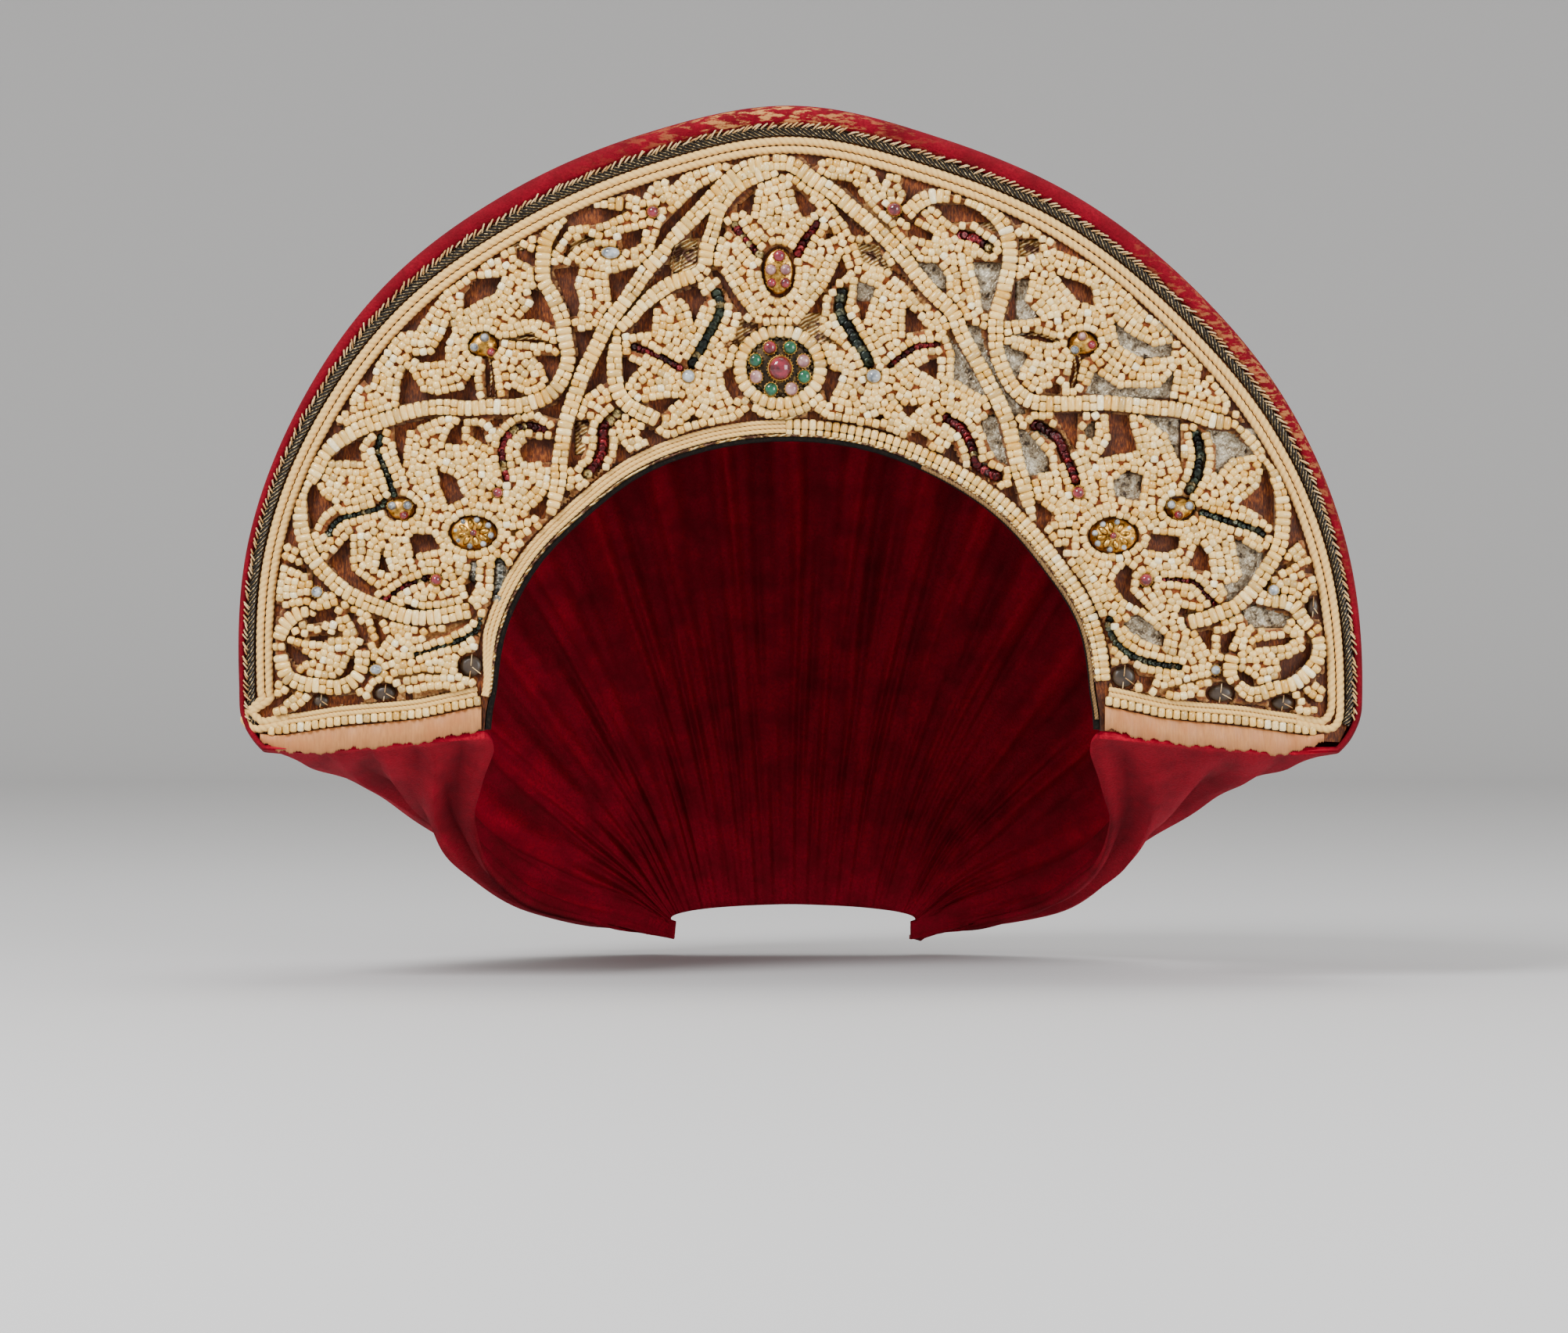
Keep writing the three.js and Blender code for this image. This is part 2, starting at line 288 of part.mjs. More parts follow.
const SINGLE_STONES = [
  ['stone_crest_left', 'glass_pink', -24.3, 83.6, 1.5, 1.5],
  ['stone_oval_left', 'glass_grey', -31.7, 76.4, 2.3, 1.5],
  ['stone_heart_left', 'glass_grey', -18.1, 54.7, 1.6, 1.6],
  ['stone_arm_left', 'glass_pink', -51.5, 34.3, 1.3, 1.3],
  ['stone_leaf_left', 'glass_pink', -62.3, 19, 1.4, 1.4],
  ['stone_side_left', 'glass_grey', -83.4, 16.9, 1.4, 1.4],
  ['stone_foot_left', 'glass_grey', -72.9, 3.2, 1.5, 1.3],
  ['stone_crest_right', 'glass_pink', 17.8, 84, 1.7, 1.7],
  ['stone_heart_right', 'glass_grey', 14.2, 54.7, 1.8, 1.7],
  ['stone_arm_right', 'glass_pink', 50, 34.3, 1.5, 1.5],
  ['stone_leaf_right', 'glass_pink', 61.9, 19, 1.6, 1.6],
  ['stone_side_right', 'glass_grey', 84.5, 17.2, 1.4, 1.4],
  ['stone_foot_right', 'glass_grey', 74.2, 3.1, 1.2, 1.2],
];
// Dark discs over the bottom borders at [side, across], beside the opening's border, and beside the rim's cords,
// the last two at a place along the edge; then half width and half height in millimetres
const BOTTOM_DISCS = [
  ['disc_foot_left', -1, 82.8, 2, 1.6],
  ['disc_middle_left', -1, 71.5, 2.8, 1.9],
  ['disc_middle_right', 1, 75.1, 3.3, 2.2],
  ['disc_foot_right', 1, 86.2, 2.9, 1.8],
];
const INNER_DISCS = [['disc_inner_left', -85.5, 2.9, 2.8], ['disc_inner_right', 88, 3, 2.8]];
const SIDE_DISCS = [['disc_side_right', 84, 1.4, 2.4]];

const radians = (degrees) => degrees * Math.PI / 180;
const clamp = (value, low, high) => Math.min(high, Math.max(low, value));

// A smooth curve through the values of one column, read at any place of another
function along(places, values, place) {
  const last = places.length - 1;
  const p = clamp(place, places[0], places[last]);
  let i = 0;
  while (i < last - 1 && p > places[i + 1]) {
    i += 1;
  }
  const f = (p - places[i]) / (places[i + 1] - places[i]);
  const before = values[Math.max(i - 1, 0)];
  const after = values[Math.min(i + 2, last)];
  const a = values[i];
  const b = values[i + 1];
  return a + 0.5 * f * (b - before + f * (2 * before - 5 * a + 4 * b - after + f * (3 * (a - b) + after - before)));
}

// Rim and opening in the plane of the front, t from -100 at one end to 100 at the other
function rimPoint(t) {
  const angle = t / 100 * RIM_END_ANGLE;
  const tuck = 0.034 * Math.max(0, (Math.abs(t) - 95) / 5) ** 2;
  const reach = along(OUTLINE.rim_angle, OUTLINE.rim, angle) - tuck;
  return [HALF_WIDTH * reach * Math.sin(radians(angle)), SPRING_Z + RISE * reach * Math.cos(radians(angle))];
}

function openingPoint(t) {
  const angle = t / 100 * OPENING_END_ANGLE;
  const reach = along(OUTLINE.opening_angle, OUTLINE.opening, angle);
  const x = OPENING_HALF_WIDTH * reach * Math.sin(radians(angle));
  return [x, SPRING_Z + OPENING_RISE * reach * Math.cos(radians(angle))];
}

// A point a given distance inside one of the two edges
function insetFrom(edge, t, distance, side) {
  const a = edge(clamp(t - 0.5, -100, 100));
  const b = edge(clamp(t + 0.5, -100, 100));
  const length = Math.hypot(b[0] - a[0], b[1] - a[1]);
  const [x, z] = edge(t);
  return [x + side * distance * (b[1] - a[1]) / length, z - side * distance * (b[0] - a[0]) / length];
}
const rimInset = (t, distance) => insetFrom(rimPoint, t, distance, 1);
const openingInset = (t, distance) => insetFrom(openingPoint, t, distance, -1);
const velvetFront = (t) => along(VELVET_FRONT.along, VELVET_FRONT.width, t);
const borderOuter = (t) => 1.2 + FIT_GAP + OPENING_BORDER_WIDTH * clamp(1 + (t + 78) * 0.06, 0.43, 1);
const fieldInset = (t) => velvetFront(t) + BRAID_WIDTH + 2 * CORD_WIDTH + 6 * FIT_GAP;

// The front bends gently back toward its ends
const bow = (x) => x * x / (2 * BOW_RADIUS);
const place = (across, up) => [across / 100 * HALF_WIDTH, SPRING_Z + up / 100 * RISE];

// Middles of the medallion, over the opening's border, and of the crest over it, then of every disc
function medallionCentre() {
  const over = openingInset(0, borderOuter(0))[1] + MEDALLION.over_border;
  return [place(MEDALLION.across, 0)[0], over + MEDALLION.ring[1]];
}
function crestCentre() {
  const over = medallionCentre()[1] + MEDALLION.ring[1] + CREST.over_medallion;
  return [place(CREST.across, 0)[0], over + CREST.half[1]];
}
const discPlaces = () => [
  ...BOTTOM_DISCS.map(([name, side, across, a, b]) => {
    const [x, z] = endPoint(side, [across, borderTop(across)], BOTTOM_BORDER_TOP);
    return { name, at: [x, z + b + 1.8 * FIT_GAP], half: [a, b] };
  }),
  ...INNER_DISCS.map(([name, t, a, b]) => ({ name, at: openingInset(t, borderOuter(t) + a + 1.4 * FIT_GAP), half: [a, b] })),
  ...SIDE_DISCS.map(([name, t, a, b]) => ({ name, at: rimInset(t, fieldInset(t) + a + FIT_GAP), half: [a, b] })),
];

const parts = [];

// Colour, roughness and metalness of each material
const MATERIALS = {
  board: [0x6b3216, 0.7, 0],
  velvet: [0xa01028, 0.95, 0],
  lining: [0x14100e, 0.9, 0],
  braid: [0x2a2622, 0.5, 0.4],
  cord: [0xe6cf9c, 0.8, 0],
  beads: [0xe4d6b4, 0.35, 0],
  padding: [0xd8bc84, 0.85, 0],
  ribbon: [0xd29a62, 0.6, 0],
  gilt: [0xb08a3c, 0.35, 0.9],
  bronze: [0x2c2418, 0.45, 0.8],
  glass_pink: [0xc2566a, 0.1, 0],
  glass_green: [0x1f8f72, 0.1, 0],
  glass_white: [0xe6dcd8, 0.1, 0],
  glass_grey: [0x9aa0a4, 0.12, 0],
  disc: [0x33291f, 0.4, 0.2],
};

// One closed body from corners and triangles, turned so that its faces look outward
function addBody(name, material, corners, triangles) {
  const geometry = new THREE.BufferGeometry();
  geometry.setAttribute('position', new THREE.Float32BufferAttribute(corners.flat(), 3));
  geometry.setIndex(outward([corners, triangles])[1].flat());
  geometry.computeVertexNormals();
  const [color, roughness, metalness] = MATERIALS[material];
  const mesh = new THREE.Mesh(geometry, new THREE.MeshStandardMaterial({ color, roughness, metalness }));
  mesh.name = name;
  parts.push(mesh);
  return mesh;
}

// Rings of corners joined into a tube with closed ends; every ring has the same count of corners
function tube(rings) {
  const count = rings[0].length;
  const corners = rings.flat();
  const triangles = [];
  for (let i = 0; i + 1 < rings.length; i += 1) {
    for (let j = 0; j < count; j += 1) {
      const a = i * count + j;
      const b = i * count + (j + 1) % count;
      triangles.push([a, b, b + count], [a, b + count, a + count]);
    }
  }
  const end = (rings.length - 1) * count;
  for (let j = 1; j + 1 < count; j += 1) {
    triangles.push([0, j + 1, j], [end, end + j, end + j + 1]);
  }
  return [corners, triangles];
}

// A band that follows an edge: its cross section is a loop of [distance inside the edge, y]
function band(name, material, inset, from, to, steps, section) {
  const rings = [];
  for (let i = 0; i <= steps; i += 1) {
    const t = from + (to - from) * i / steps;
    rings.push(section(t).map(([distance, y]) => {
      const [x, z] = inset(t, distance);
      return [x, FRONT_Y + y + bow(x), z];
    }));
  }
  return addBody(name, material, ...tube(rings));
}

// Low rounded section of a cord or a band lying on the board
function lowSection(start, width, height, back) {
  const rows = [[0, 0], [0.08, 0.62], [0.5, 1], [0.92, 0.62], [1, 0]];
  return rows.map(([across, rise]) => [start + across * width, -back - rise * height]);
}

// A turned solid facing the front, from [radius, rise] rows, stretched and laid on the bow of the front
function turned([x, z], rows, half, sides, base) {
  const geometry = new THREE.LatheGeometry(rows.map(([radius, rise]) => new THREE.Vector2(radius, rise)), sides);
  geometry.deleteAttribute('normal');
  geometry.deleteAttribute('uv');
  const places = geometry.attributes.position;
  for (let i = 0; i < places.count; i += 1) {
    const px = x + half[0] * places.getX(i);
    places.setXYZ(i, px, FRONT_Y + bow(px) - base - places.getY(i), z + half[1] * places.getZ(i));
  }
  const merged = mergeVertices(geometry, 1e-4);
  const corners = [];
  const triangles = [];
  for (let i = 0; i < merged.attributes.position.count; i += 1) {
    corners.push(new THREE.Vector3().fromBufferAttribute(merged.attributes.position, i).toArray());
  }
  for (let i = 0; i < merged.index.count; i += 3) {
    const [a, b, c] = [0, 1, 2].map((k) => merged.index.getX(i + k));
    if (a !== b && b !== c && c !== a) {
      triangles.push([a, b, c]);
    }
  }
  return outward([corners, triangles]);
}

// A closed geometry as a solid that can be joined and cut
function asSolid(geometry) {
  geometry.deleteAttribute('normal');
  geometry.deleteAttribute('uv');
  const merged = mergeVertices(geometry, 1e-4);
  const index = [...merged.index.array];
  const triangles = [];
  for (let i = 0; i < index.length; i += 3) {
    const [a, b, c] = index.slice(i, i + 3);
    if (a !== b && b !== c && c !== a) {
      triangles.push(a, b, c);
    }
  }
  return new wasm.Manifold(new wasm.Mesh({
    numProp: 3,
    vertProperties: new Float32Array(merged.attributes.position.array),
    triVerts: new Uint32Array(triangles),
  }));
}

function toManifold([corners, triangles]) {
  const geometry = new THREE.BufferGeometry();
  geometry.setAttribute('position', new THREE.Float32BufferAttribute(corners.flat(), 3));
  geometry.setIndex(triangles.flat());
  return asSolid(geometry);
}

// Turns the faces of a closed body outward, told by the sign of its volume
function outward([corners, triangles]) {
  let volume = 0;
  for (const face of triangles) {
    const [p, q, r] = face.map((k) => new THREE.Vector3(...corners[k]));
    volume += p.dot(q.cross(r));
  }
  return [corners, volume < 0 ? triangles.map(([a, b, c]) => [a, c, b]) : triangles];
}

function fromManifold(solid) {
  const mesh = solid.getMesh();
  const corners = [];
  for (let i = 0; i < mesh.numVert; i += 1) {
    corners.push([...mesh.vertProperties.slice(i * mesh.numProp, i * mesh.numProp + 3)]);
  }
  const triangles = [];
  for (let i = 0; i < mesh.numTri; i += 1) {
    triangles.push([...mesh.triVerts.slice(i * 3, i * 3 + 3)]);
  }
  return [corners, triangles];
}

// A grid of the crescent between two insets, thick from back to front; flat before it is bowed
function crescent(steps, rows, outerAt, innerAt, front, back) {
  const corners = [];
  const triangles = [];
  for (const y of [front, back]) {
    for (let i = 0; i <= steps; i += 1) {
      const t = -100 + 200 * i / steps;
      const outer = outerAt(t);
      const inner = innerAt(t);
      for (let j = 0; j <= rows; j += 1) {
        const f = j / rows;
        corners.push([outer[0] + (inner[0] - outer[0]) * f, y, outer[1] + (inner[1] - outer[1]) * f]);
      }
    }
  }
  const across = rows + 1;
  const layer = (steps + 1) * across;
  for (let i = 0; i < steps; i += 1) {
    for (let j = 0; j < rows; j += 1) {
      const a = i * across + j;
      triangles.push([a, a + 1, a + across + 1], [a, a + across + 1, a + across]);
      triangles.push([layer + a, layer + a + across + 1, layer + a + 1]);
      triangles.push([layer + a, layer + a + across, layer + a + across + 1]);
    }
    for (const j of [0, rows]) {
      const a = i * across + j;
      const quad = [[a, a + across, layer + a + across], [a, layer + a + across, layer + a]];
      triangles.push(...(j === 0 ? quad : quad.map(([p, q, r]) => [p, r, q])));
    }
  }
  for (const i of [0, steps]) {
    for (let j = 0; j < rows; j += 1) {
      const a = i * across + j;
      const quad = [[a, layer + a, layer + a + 1], [a, layer + a + 1, a + 1]];
      triangles.push(...(i === 0 ? quad : quad.map(([p, q, r]) => [p, r, q])));
    }
  }
  return outward([corners, triangles]);
}

function bowed([corners, triangles]) {
  return [corners.map(([x, y, z]) => [x, FRONT_Y + y + bow(x), z]), triangles];
}

function addBoard() {
  const outer = (t) => rimInset(t * 0.994, VELVET_FRONT_WALL + 2 * FIT_GAP);
  const inner = (t) => openingInset(t * 0.994, 1.2 + FIT_GAP);
  addBody('front_board', 'board', ...bowed(crescent(52, 4, outer, inner, 0, BOARD_THICKNESS)));
}

// Trims that run round the rim, each on the board inside the one before
function addRimTrims() {
  const start = (t) => velvetFront(t) + 1.5 * FIT_GAP;
  const reach = 97.6;
  band('edge_braid', 'braid', rimInset, -reach, reach, 52, (t) => lowSection(start(t), BRAID_WIDTH, 1.5, FIT_GAP));
  const first = (t) => start(t) + BRAID_WIDTH + 1.5 * FIT_GAP;
  band('rim_cord_outer', 'cord', rimInset, -96.4, 96.4, 52, (t) => lowSection(first(t), CORD_WIDTH, 2.2, FIT_GAP));
  const second = (t) => first(t) + CORD_WIDTH + FIT_GAP;
  band('rim_cord_inner', 'cord', rimInset, -95.8, 95.8, 52, (t) => lowSection(second(t), CORD_WIDTH, 2.2, FIT_GAP));
}

// Beaded edge of the opening, and the dark band that lines it
function addOpeningTrims() {
  band('opening_bead_border', 'beads', openingInset, -92.4, 89.1, 48,
    (t) => lowSection(1.2 + FIT_GAP, borderOuter(t) - 1.2 - FIT_GAP, 2.6, FIT_GAP));
  const seat = BOARD_THICKNESS + FIT_GAP;
  const back = seat + 1.2;
  const section = [[0, back], [0, -1.2], [1.2, -1.2], [1.2, seat], [5, seat], [5, back]];
  band('inner_band', 'lining', openingInset, -99.2, 99.2, 48, () => section);
}

// Upper edge of the beaded border at a place along the bottom, and a place of a band there: the first row keeps
// its distance from the opening, and the last its share of the half width
function borderTop(across) {
  return along(BOTTOM_BORDER_TOP.map((row) => row[0]), BOTTOM_BORDER_TOP.map((row) => row[1]), across);
}

function endPoint(side, [across, up], rows) {
  const [first, last] = [rows[0][0], rows[rows.length - 1][0]];
  const start = Math.abs(openingPoint(side * 90)[0]) + (first - 52) * 1.5;
  const end = last / 100 * HALF_WIDTH;
  return [side * (start + (end - start) * (across - first) / (last - first)), place(0, up)[1]];
}

function endBand(name, material, side, rows, width, height, back) {
  const rings = rows.map(([across, up, narrowed = 1]) => {
    const [x, z] = endPoint(side, [across, up], rows);
    return [[0, 0], [0.1, 0.7], [0.5, 1], [0.9, 0.7], [1, 0]].map(([share, rise]) => [
      x, FRONT_Y - back - rise * height + bow(x), z - share * narrowed * width,
    ]);
  });
  return addBody(name, material, ...tube(rings));
}

// Upper edges of the beaded border and of the ribbon, from the opening outward: [across, up, share of the width]
const BOTTOM_BORDER_TOP = [[55.3, 0.3], [60, -0.7], [65, -1.8], [70, -2.4], [75, -2.8], [80, -3.3], [85, -4.1], [91.6, -5]];
const RIBBON_TOP = [
  [54.6, -3.3], [60, -4.4], [65, -5.4], [70, -6], [75, -6.5], [80, -7], [85, -7.7, 0.85], [90.5, -8.45, 0.15],
];

function addBottomTrims() {
  for (const [word, side] of [['left', -1], ['right', 1]]) {
    endBand(`bottom_bead_border_${word}`, 'beads', side, BOTTOM_BORDER_TOP, BOTTOM_BORDER_WIDTH, 2.4, FIT_GAP);
    endBand(`ribbon_${word}`, 'ribbon', side, RIBBON_TOP, RIBBON_WIDTH, 0.9, FIT_GAP);
  }
}

// An upright prism through the relief, from its outline in the plane of the front
function prism(outline) {
  const shape = new THREE.Shape(outline.map(([x, z]) => new THREE.Vector2(x, z)));
  const geometry = new THREE.ExtrudeGeometry(shape, { depth: RELIEF_HEIGHT + 4, bevelEnabled: false });
  geometry.rotateX(Math.PI / 2);
  geometry.translate(0, 1, 0);
  return asSolid(geometry);
}

const ellipse = ([x, z], [a, b], sides) => Array.from({ length: sides }, (_, j) => [
  x + a * Math.cos(2 * Math.PI * j / sides), z + b * Math.sin(2 * Math.PI * j / sides),
]);

// Outline of a channel: its middle line widened to both sides, with pointed ends
function channelOutline({ width, line }) {
  const half = width / 200 * RISE;
  const points = line.map(([across, up]) => place(across, up));
  const upper = [];
  const lower = [];
  points.forEach(([x, z], i) => {
    const before = points[Math.max(i - 1, 0)];
    const after = points[Math.min(i + 1, points.length - 1)];
    const length = Math.hypot(after[0] - before[0], after[1] - before[1]);
    const nx = -(after[1] - before[1]) / length;
    const nz = (after[0] - before[0]) / length;
    upper.push([x + nx * half, z + nz * half]);
    lower.unshift([x - nx * half, z - nz * half]);
  });
  return [...upper, ...lower];
}

// Padded openwork under the beads: one sheet with its gaps, channels and seats for the set pieces
function addRelief() {
  const outer = (t) => rimInset(t * 0.964, fieldInset(t));
  const inner = (t) => openingInset(t * 0.962, 1.2 + OPENING_BORDER_WIDTH + 2 * FIT_GAP);
  let sheet = toManifold(crescent(52, 4, outer, inner, -RELIEF_HEIGHT - FIT_GAP, -FIT_GAP));
  const cuts = [
    ...GAPS.map((outline) => prism(outline.map(([across, up]) => place(across, up)))),
    ...CHANNELS.map((channel) => prism(channelOutline(channel))),
    prism(ellipse(medallionCentre(), MEDALLION.ring.map((half) => half + 0.5), 28)),
    prism(ellipse(crestCentre(), [CREST.half[0] + 0.6, CREST.half[1] + 1], 14)),
    ...OVALS.map(({ at, half }) => prism(ellipse(place(...at), [half[0] + FIT_GAP, half[1] + FIT_GAP], 16))),
    ...TREFOILS.map(({ stones }) => {
      const centre = [0, 1].map((k) => (stones[0][k] + stones[1][k] + stones[2][k]) / 3);
      return prism(ellipse(place(...centre), [4.4, 3.6], 12));
    }),
    ...TREFOILS.flatMap(({ stones }) => stones.map((at) => prism(ellipse(place(...at), [1.9, 1.9], 9)))),
    ...discPlaces().map(({ at, half }) => prism(ellipse(at, [half[0] + FIT_GAP, half[1] + FIT_GAP], 12))),
  ];
  for (const side of [-1, 1]) {
    const top = BOTTOM_BORDER_TOP.map((row) => {
      const [x, z] = endPoint(side, row, BOTTOM_BORDER_TOP);
      return [x, z + FIT_GAP];
    });
    const [first, last] = [top[0], top[top.length - 1]];
    cuts.push(prism([[first[0] - side * 12, first[1] + 1], ...top, [last[0] + side * 12, last[1] - 1],
      [last[0] + side * 12, last[1] - 20], [first[0] - side * 12, first[1] - 20]]));
  }
  for (const cut of cuts) {
    sheet = sheet.subtract(cut);
  }
  const pieces = sheet.decompose().sort((a, b) => b.volume() - a.volume());
  addBody('openwork_relief', 'padding', ...bowed(fromManifold(pieces[0])));
}

// Medallion, crest panel, flowers and trefoils, then the single stones and the dark discs
const DOME = [[0, 0], [1, 0], [0.96, 0.55], [0.6, 0.9], [0, 1]];

function addDome(name, material, at, half, height, base, sides = 8) {
  const rows = DOME.map(([radius, rise]) => [radius, rise * height]);
  return addBody(name, material, ...turned(at, rows, half, sides, base));
}

function addMedallion() {
  const centre = medallionCentre();
  const plate = [[0, 0], [0.86, 0], [1, 0.8], [0.9, 2.3], [0, 2.3]];
  addBody('medallion_setting', 'bronze', ...turned(centre, plate, MEDALLION.setting, 24, FIT_GAP));
  const [low, high] = [MEDALLION.ring_inner, 1];
  const middle = (low + high) / 2;
  const section = [[low, 0], [low + 0.02, 2.4], [middle, 3.2], [high - 0.02, 2.4], [high, 0], [low, 0]];
  addBody('medallion_bead_ring', 'beads', ...turned(centre, section, MEDALLION.ring, 28, FIT_GAP));
  for (const [name, material, right, up, radius, rise, stoneSides] of MEDALLION_STONES) {
    addDome(name, material, [centre[0] + right, centre[1] + up], [radius, radius], rise, 2.3 + 2 * FIT_GAP, stoneSides);
  }
}

function addCrest() {
  const centre = crestCentre();
  const plate = [[0, 0], [0.94, 0], [1, 0.8], [0.92, 2.6], [0, 2.6]];
  addBody('crest_setting', 'gilt', ...turned(centre, plate, CREST.half, 14, FIT_GAP));
  for (const [name, material, right, up, radius] of CREST_STONES) {
    addDome(name, material, [centre[0] + right, centre[1] + up], [radius, radius], 1.3, 2.6 + 2 * FIT_GAP, 8);
  }
}

function addFlowers() {
  for (const { name, at, half } of OVALS) {
    const rows = [[0, 0], [0.98, 0], [1, 1.2], [0.86, 2.8], [0.4, 3.6], [0, 3.7]];
    addBody(name, 'gilt', ...turned(place(...at), rows, half, 16, FIT_GAP));
  }
  for (const { name, stones } of TREFOILS) {
    const centre = [0, 1].map((k) => (stones[0][k] + stones[1][k] + stones[2][k]) / 3);
    const rows = [[0, 0], [0.96, 0], [1, 1.4], [0.8, 2.4], [0, 2.4]];
    let solid = toManifold(outward(turned(place(...centre), rows, [3.9, 3.1], 12, FIT_GAP)));
    for (const [across, up] of stones) {
      const dome = DOME.map(([radius, rise]) => [radius, rise * 3.6]);
      solid = solid.add(toManifold(outward(turned(place(across, up), dome, [1.4, 1.4], 9, FIT_GAP + 0.2))));
    }
    addBody(name, 'gilt', ...fromManifold(solid));
  }
}

function addStones() {
  for (const [name, material, across, up, a, b] of SINGLE_STONES) {
    addDome(name, material, place(across, up), [a, b], 1.9, RELIEF_HEIGHT + 2 * FIT_GAP, 9);
  }
  for (const { name, at, half } of discPlaces()) {
    addBody(name, 'disc', ...turned(at, [[0, 0], [1, 0], [0.96, 0.8], [0, 0.9]], half, 12, FIT_GAP));
  }
}

// The velvet cap: one shell from the lip on the front, round the rim, back over the head to the nape
function capStation(u) {
  const size = Math.abs(u);
  return { t: clamp(u, -100, 100), under: clamp((size - 100) / 30, 0, 1), side: Math.sign(u) };
}

function capPoint(u, row) {
  const { t, under, side } = capStation(u);
  const section = Object.fromEntries(Object.entries(CAP_SECTIONS).map(([key, column]) => [key, column[row]]));
  const [ridge, corner, foot] = [section.ridge, section.corner, section.foot_z].map((up) => SPRING_Z + up * RISE);
  const [rx, rz] = rimPoint(t);
  const top = rimPoint(0)[1];
  const end = rimPoint(100)[1];
  const x = rx * section.share;
  const z = corner + (rz - end) * (ridge - corner) / (top - end);
  const sag = -3 * Math.sin(Math.PI * under);
  const fx = side * section.foot_x * OPENING_HALF_WIDTH;
  return [
    x + (fx - x) * under,
    FRONT_Y + section.depth * CAP_DEPTH + bow(x) * Math.max(0, 1 - section.depth * 1.9),
    z + (foot - z) * under + sag,
  ];
}

// The lip in front: rows of [share of the velvet seen in front, y, wall], from the fold on the face to the rim
const LIP = [[1, -1], [0.8, -2.4], [0.35, -2.9], [0, -1.2], [-0.08, 2.5]];

function lipPoint(u, [share, y]) {
  const { t, under, side } = capStation(u);
  const flat = clamp(under * 4, 0, 1);
  const [x, z] = rimInset(t, share * velvetFront(t));
  const [fx, fz] = [side * (openingPoint(100)[0] + 1.5), openingPoint(100)[1] + 1];
  const [cx, cz] = rimInset(side * 100, share * velvetFront(100) * (1 - flat));
  const px = under > 0 ? cx + (fx - cx) * under : x;
  const pz = under > 0 ? cz + (fz - cz) * under - 1.6 * flat : z;
  const depth = y + (Math.max(y, 1.4 + share * -0.9) - y) * flat;
  return [px, FRONT_Y + depth + bow(px), pz];
}

function addCap() {
  const stations = [];
  for (let i = 0; i <= 60; i += 1) {
    stations.push(-100 + 200 * i / 60);
  }
  const under = [104, 109, 114, 119, 124, 130];
  const us = [...under.map((u) => -u).reverse(), ...stations, ...under];
  const sections = CAP_SECTIONS.depth.length;
  const middle = us.map((u) => [
    ...LIP.map((row) => lipPoint(u, row)),
    ...Array.from({ length: sections }, (_, row) => capPoint(u, row)),
  ]);
  const rows = middle[0].length;
  const normalAt = (i, j) => {
    const a = new THREE.Vector3(...middle[Math.max(i - 1, 0)][j]);
    const b = new THREE.Vector3(...middle[Math.min(i + 1, us.length - 1)][j]);
    const c = new THREE.Vector3(...middle[i][Math.max(j - 1, 0)]);
    const d = new THREE.Vector3(...middle[i][Math.min(j + 1, rows - 1)]);
    return new THREE.Vector3().crossVectors(b.sub(a), d.sub(c)).normalize();
  };
  const corners = [];
  for (const inside of [0, 1]) {
    for (let i = 0; i < us.length; i += 1) {
      for (let j = 0; j < rows; j += 1) {
        const normal = normalAt(i, j);
        const back = clamp((j - LIP.length) / (rows - LIP.length - 1), 0, 1);
        const swell = Math.sin(Math.PI * Math.min(1, back * 1.25));
        const fold = GATHER_DEPTH * swell * Math.cos(us[i] / 100 * Math.PI * CAP_GATHERS);
        const wall = j < LIP.length ? VELVET_FRONT_WALL : VELVET_WALL;
        const [x, y, z] = middle[i][j];
        const reach = fold - inside * wall;
        corners.push([x + normal.x * reach, y + normal.y * reach, z + normal.z * reach]);
      }
    }
  }
  const layer = us.length * rows;
  const triangles = [];
  const quad = (a, b, c, d) => triangles.push([a, b, c], [a, c, d]);
  for (let i = 0; i + 1 < us.length; i += 1) {
    for (let j = 0; j + 1 < rows; j += 1) {
      const a = i * rows + j;
      quad(a, a + 1, a + rows + 1, a + rows);
      quad(layer + a, layer + a + rows, layer + a + rows + 1, layer + a + 1);
    }
    const front = i * rows;
    const back = i * rows + rows - 1;
    quad(front, front + rows, layer + front + rows, layer + front);
    quad(back, layer + back, layer + back + rows, back + rows);
  }
  for (let j = 0; j + 1 < rows; j += 1) {
    quad(j, layer + j, layer + j + 1, j + 1);
    const end = (us.length - 1) * rows + j;
    quad(end, end + 1, layer + end + 1, layer + end);
  }
  addBody('velvet_cap', 'velvet', corners, triangles);
}

addBoard();
addCap();
addOpeningTrims();
addRimTrims();
addBottomTrims();
addRelief();
addMedallion();
addCrest();
addFlowers();
addStones();

const headdress = new THREE.Group();
headdress.name = 'kokoshnik_headdress';
headdress.add(...parts);
export default headdress;
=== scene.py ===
import math

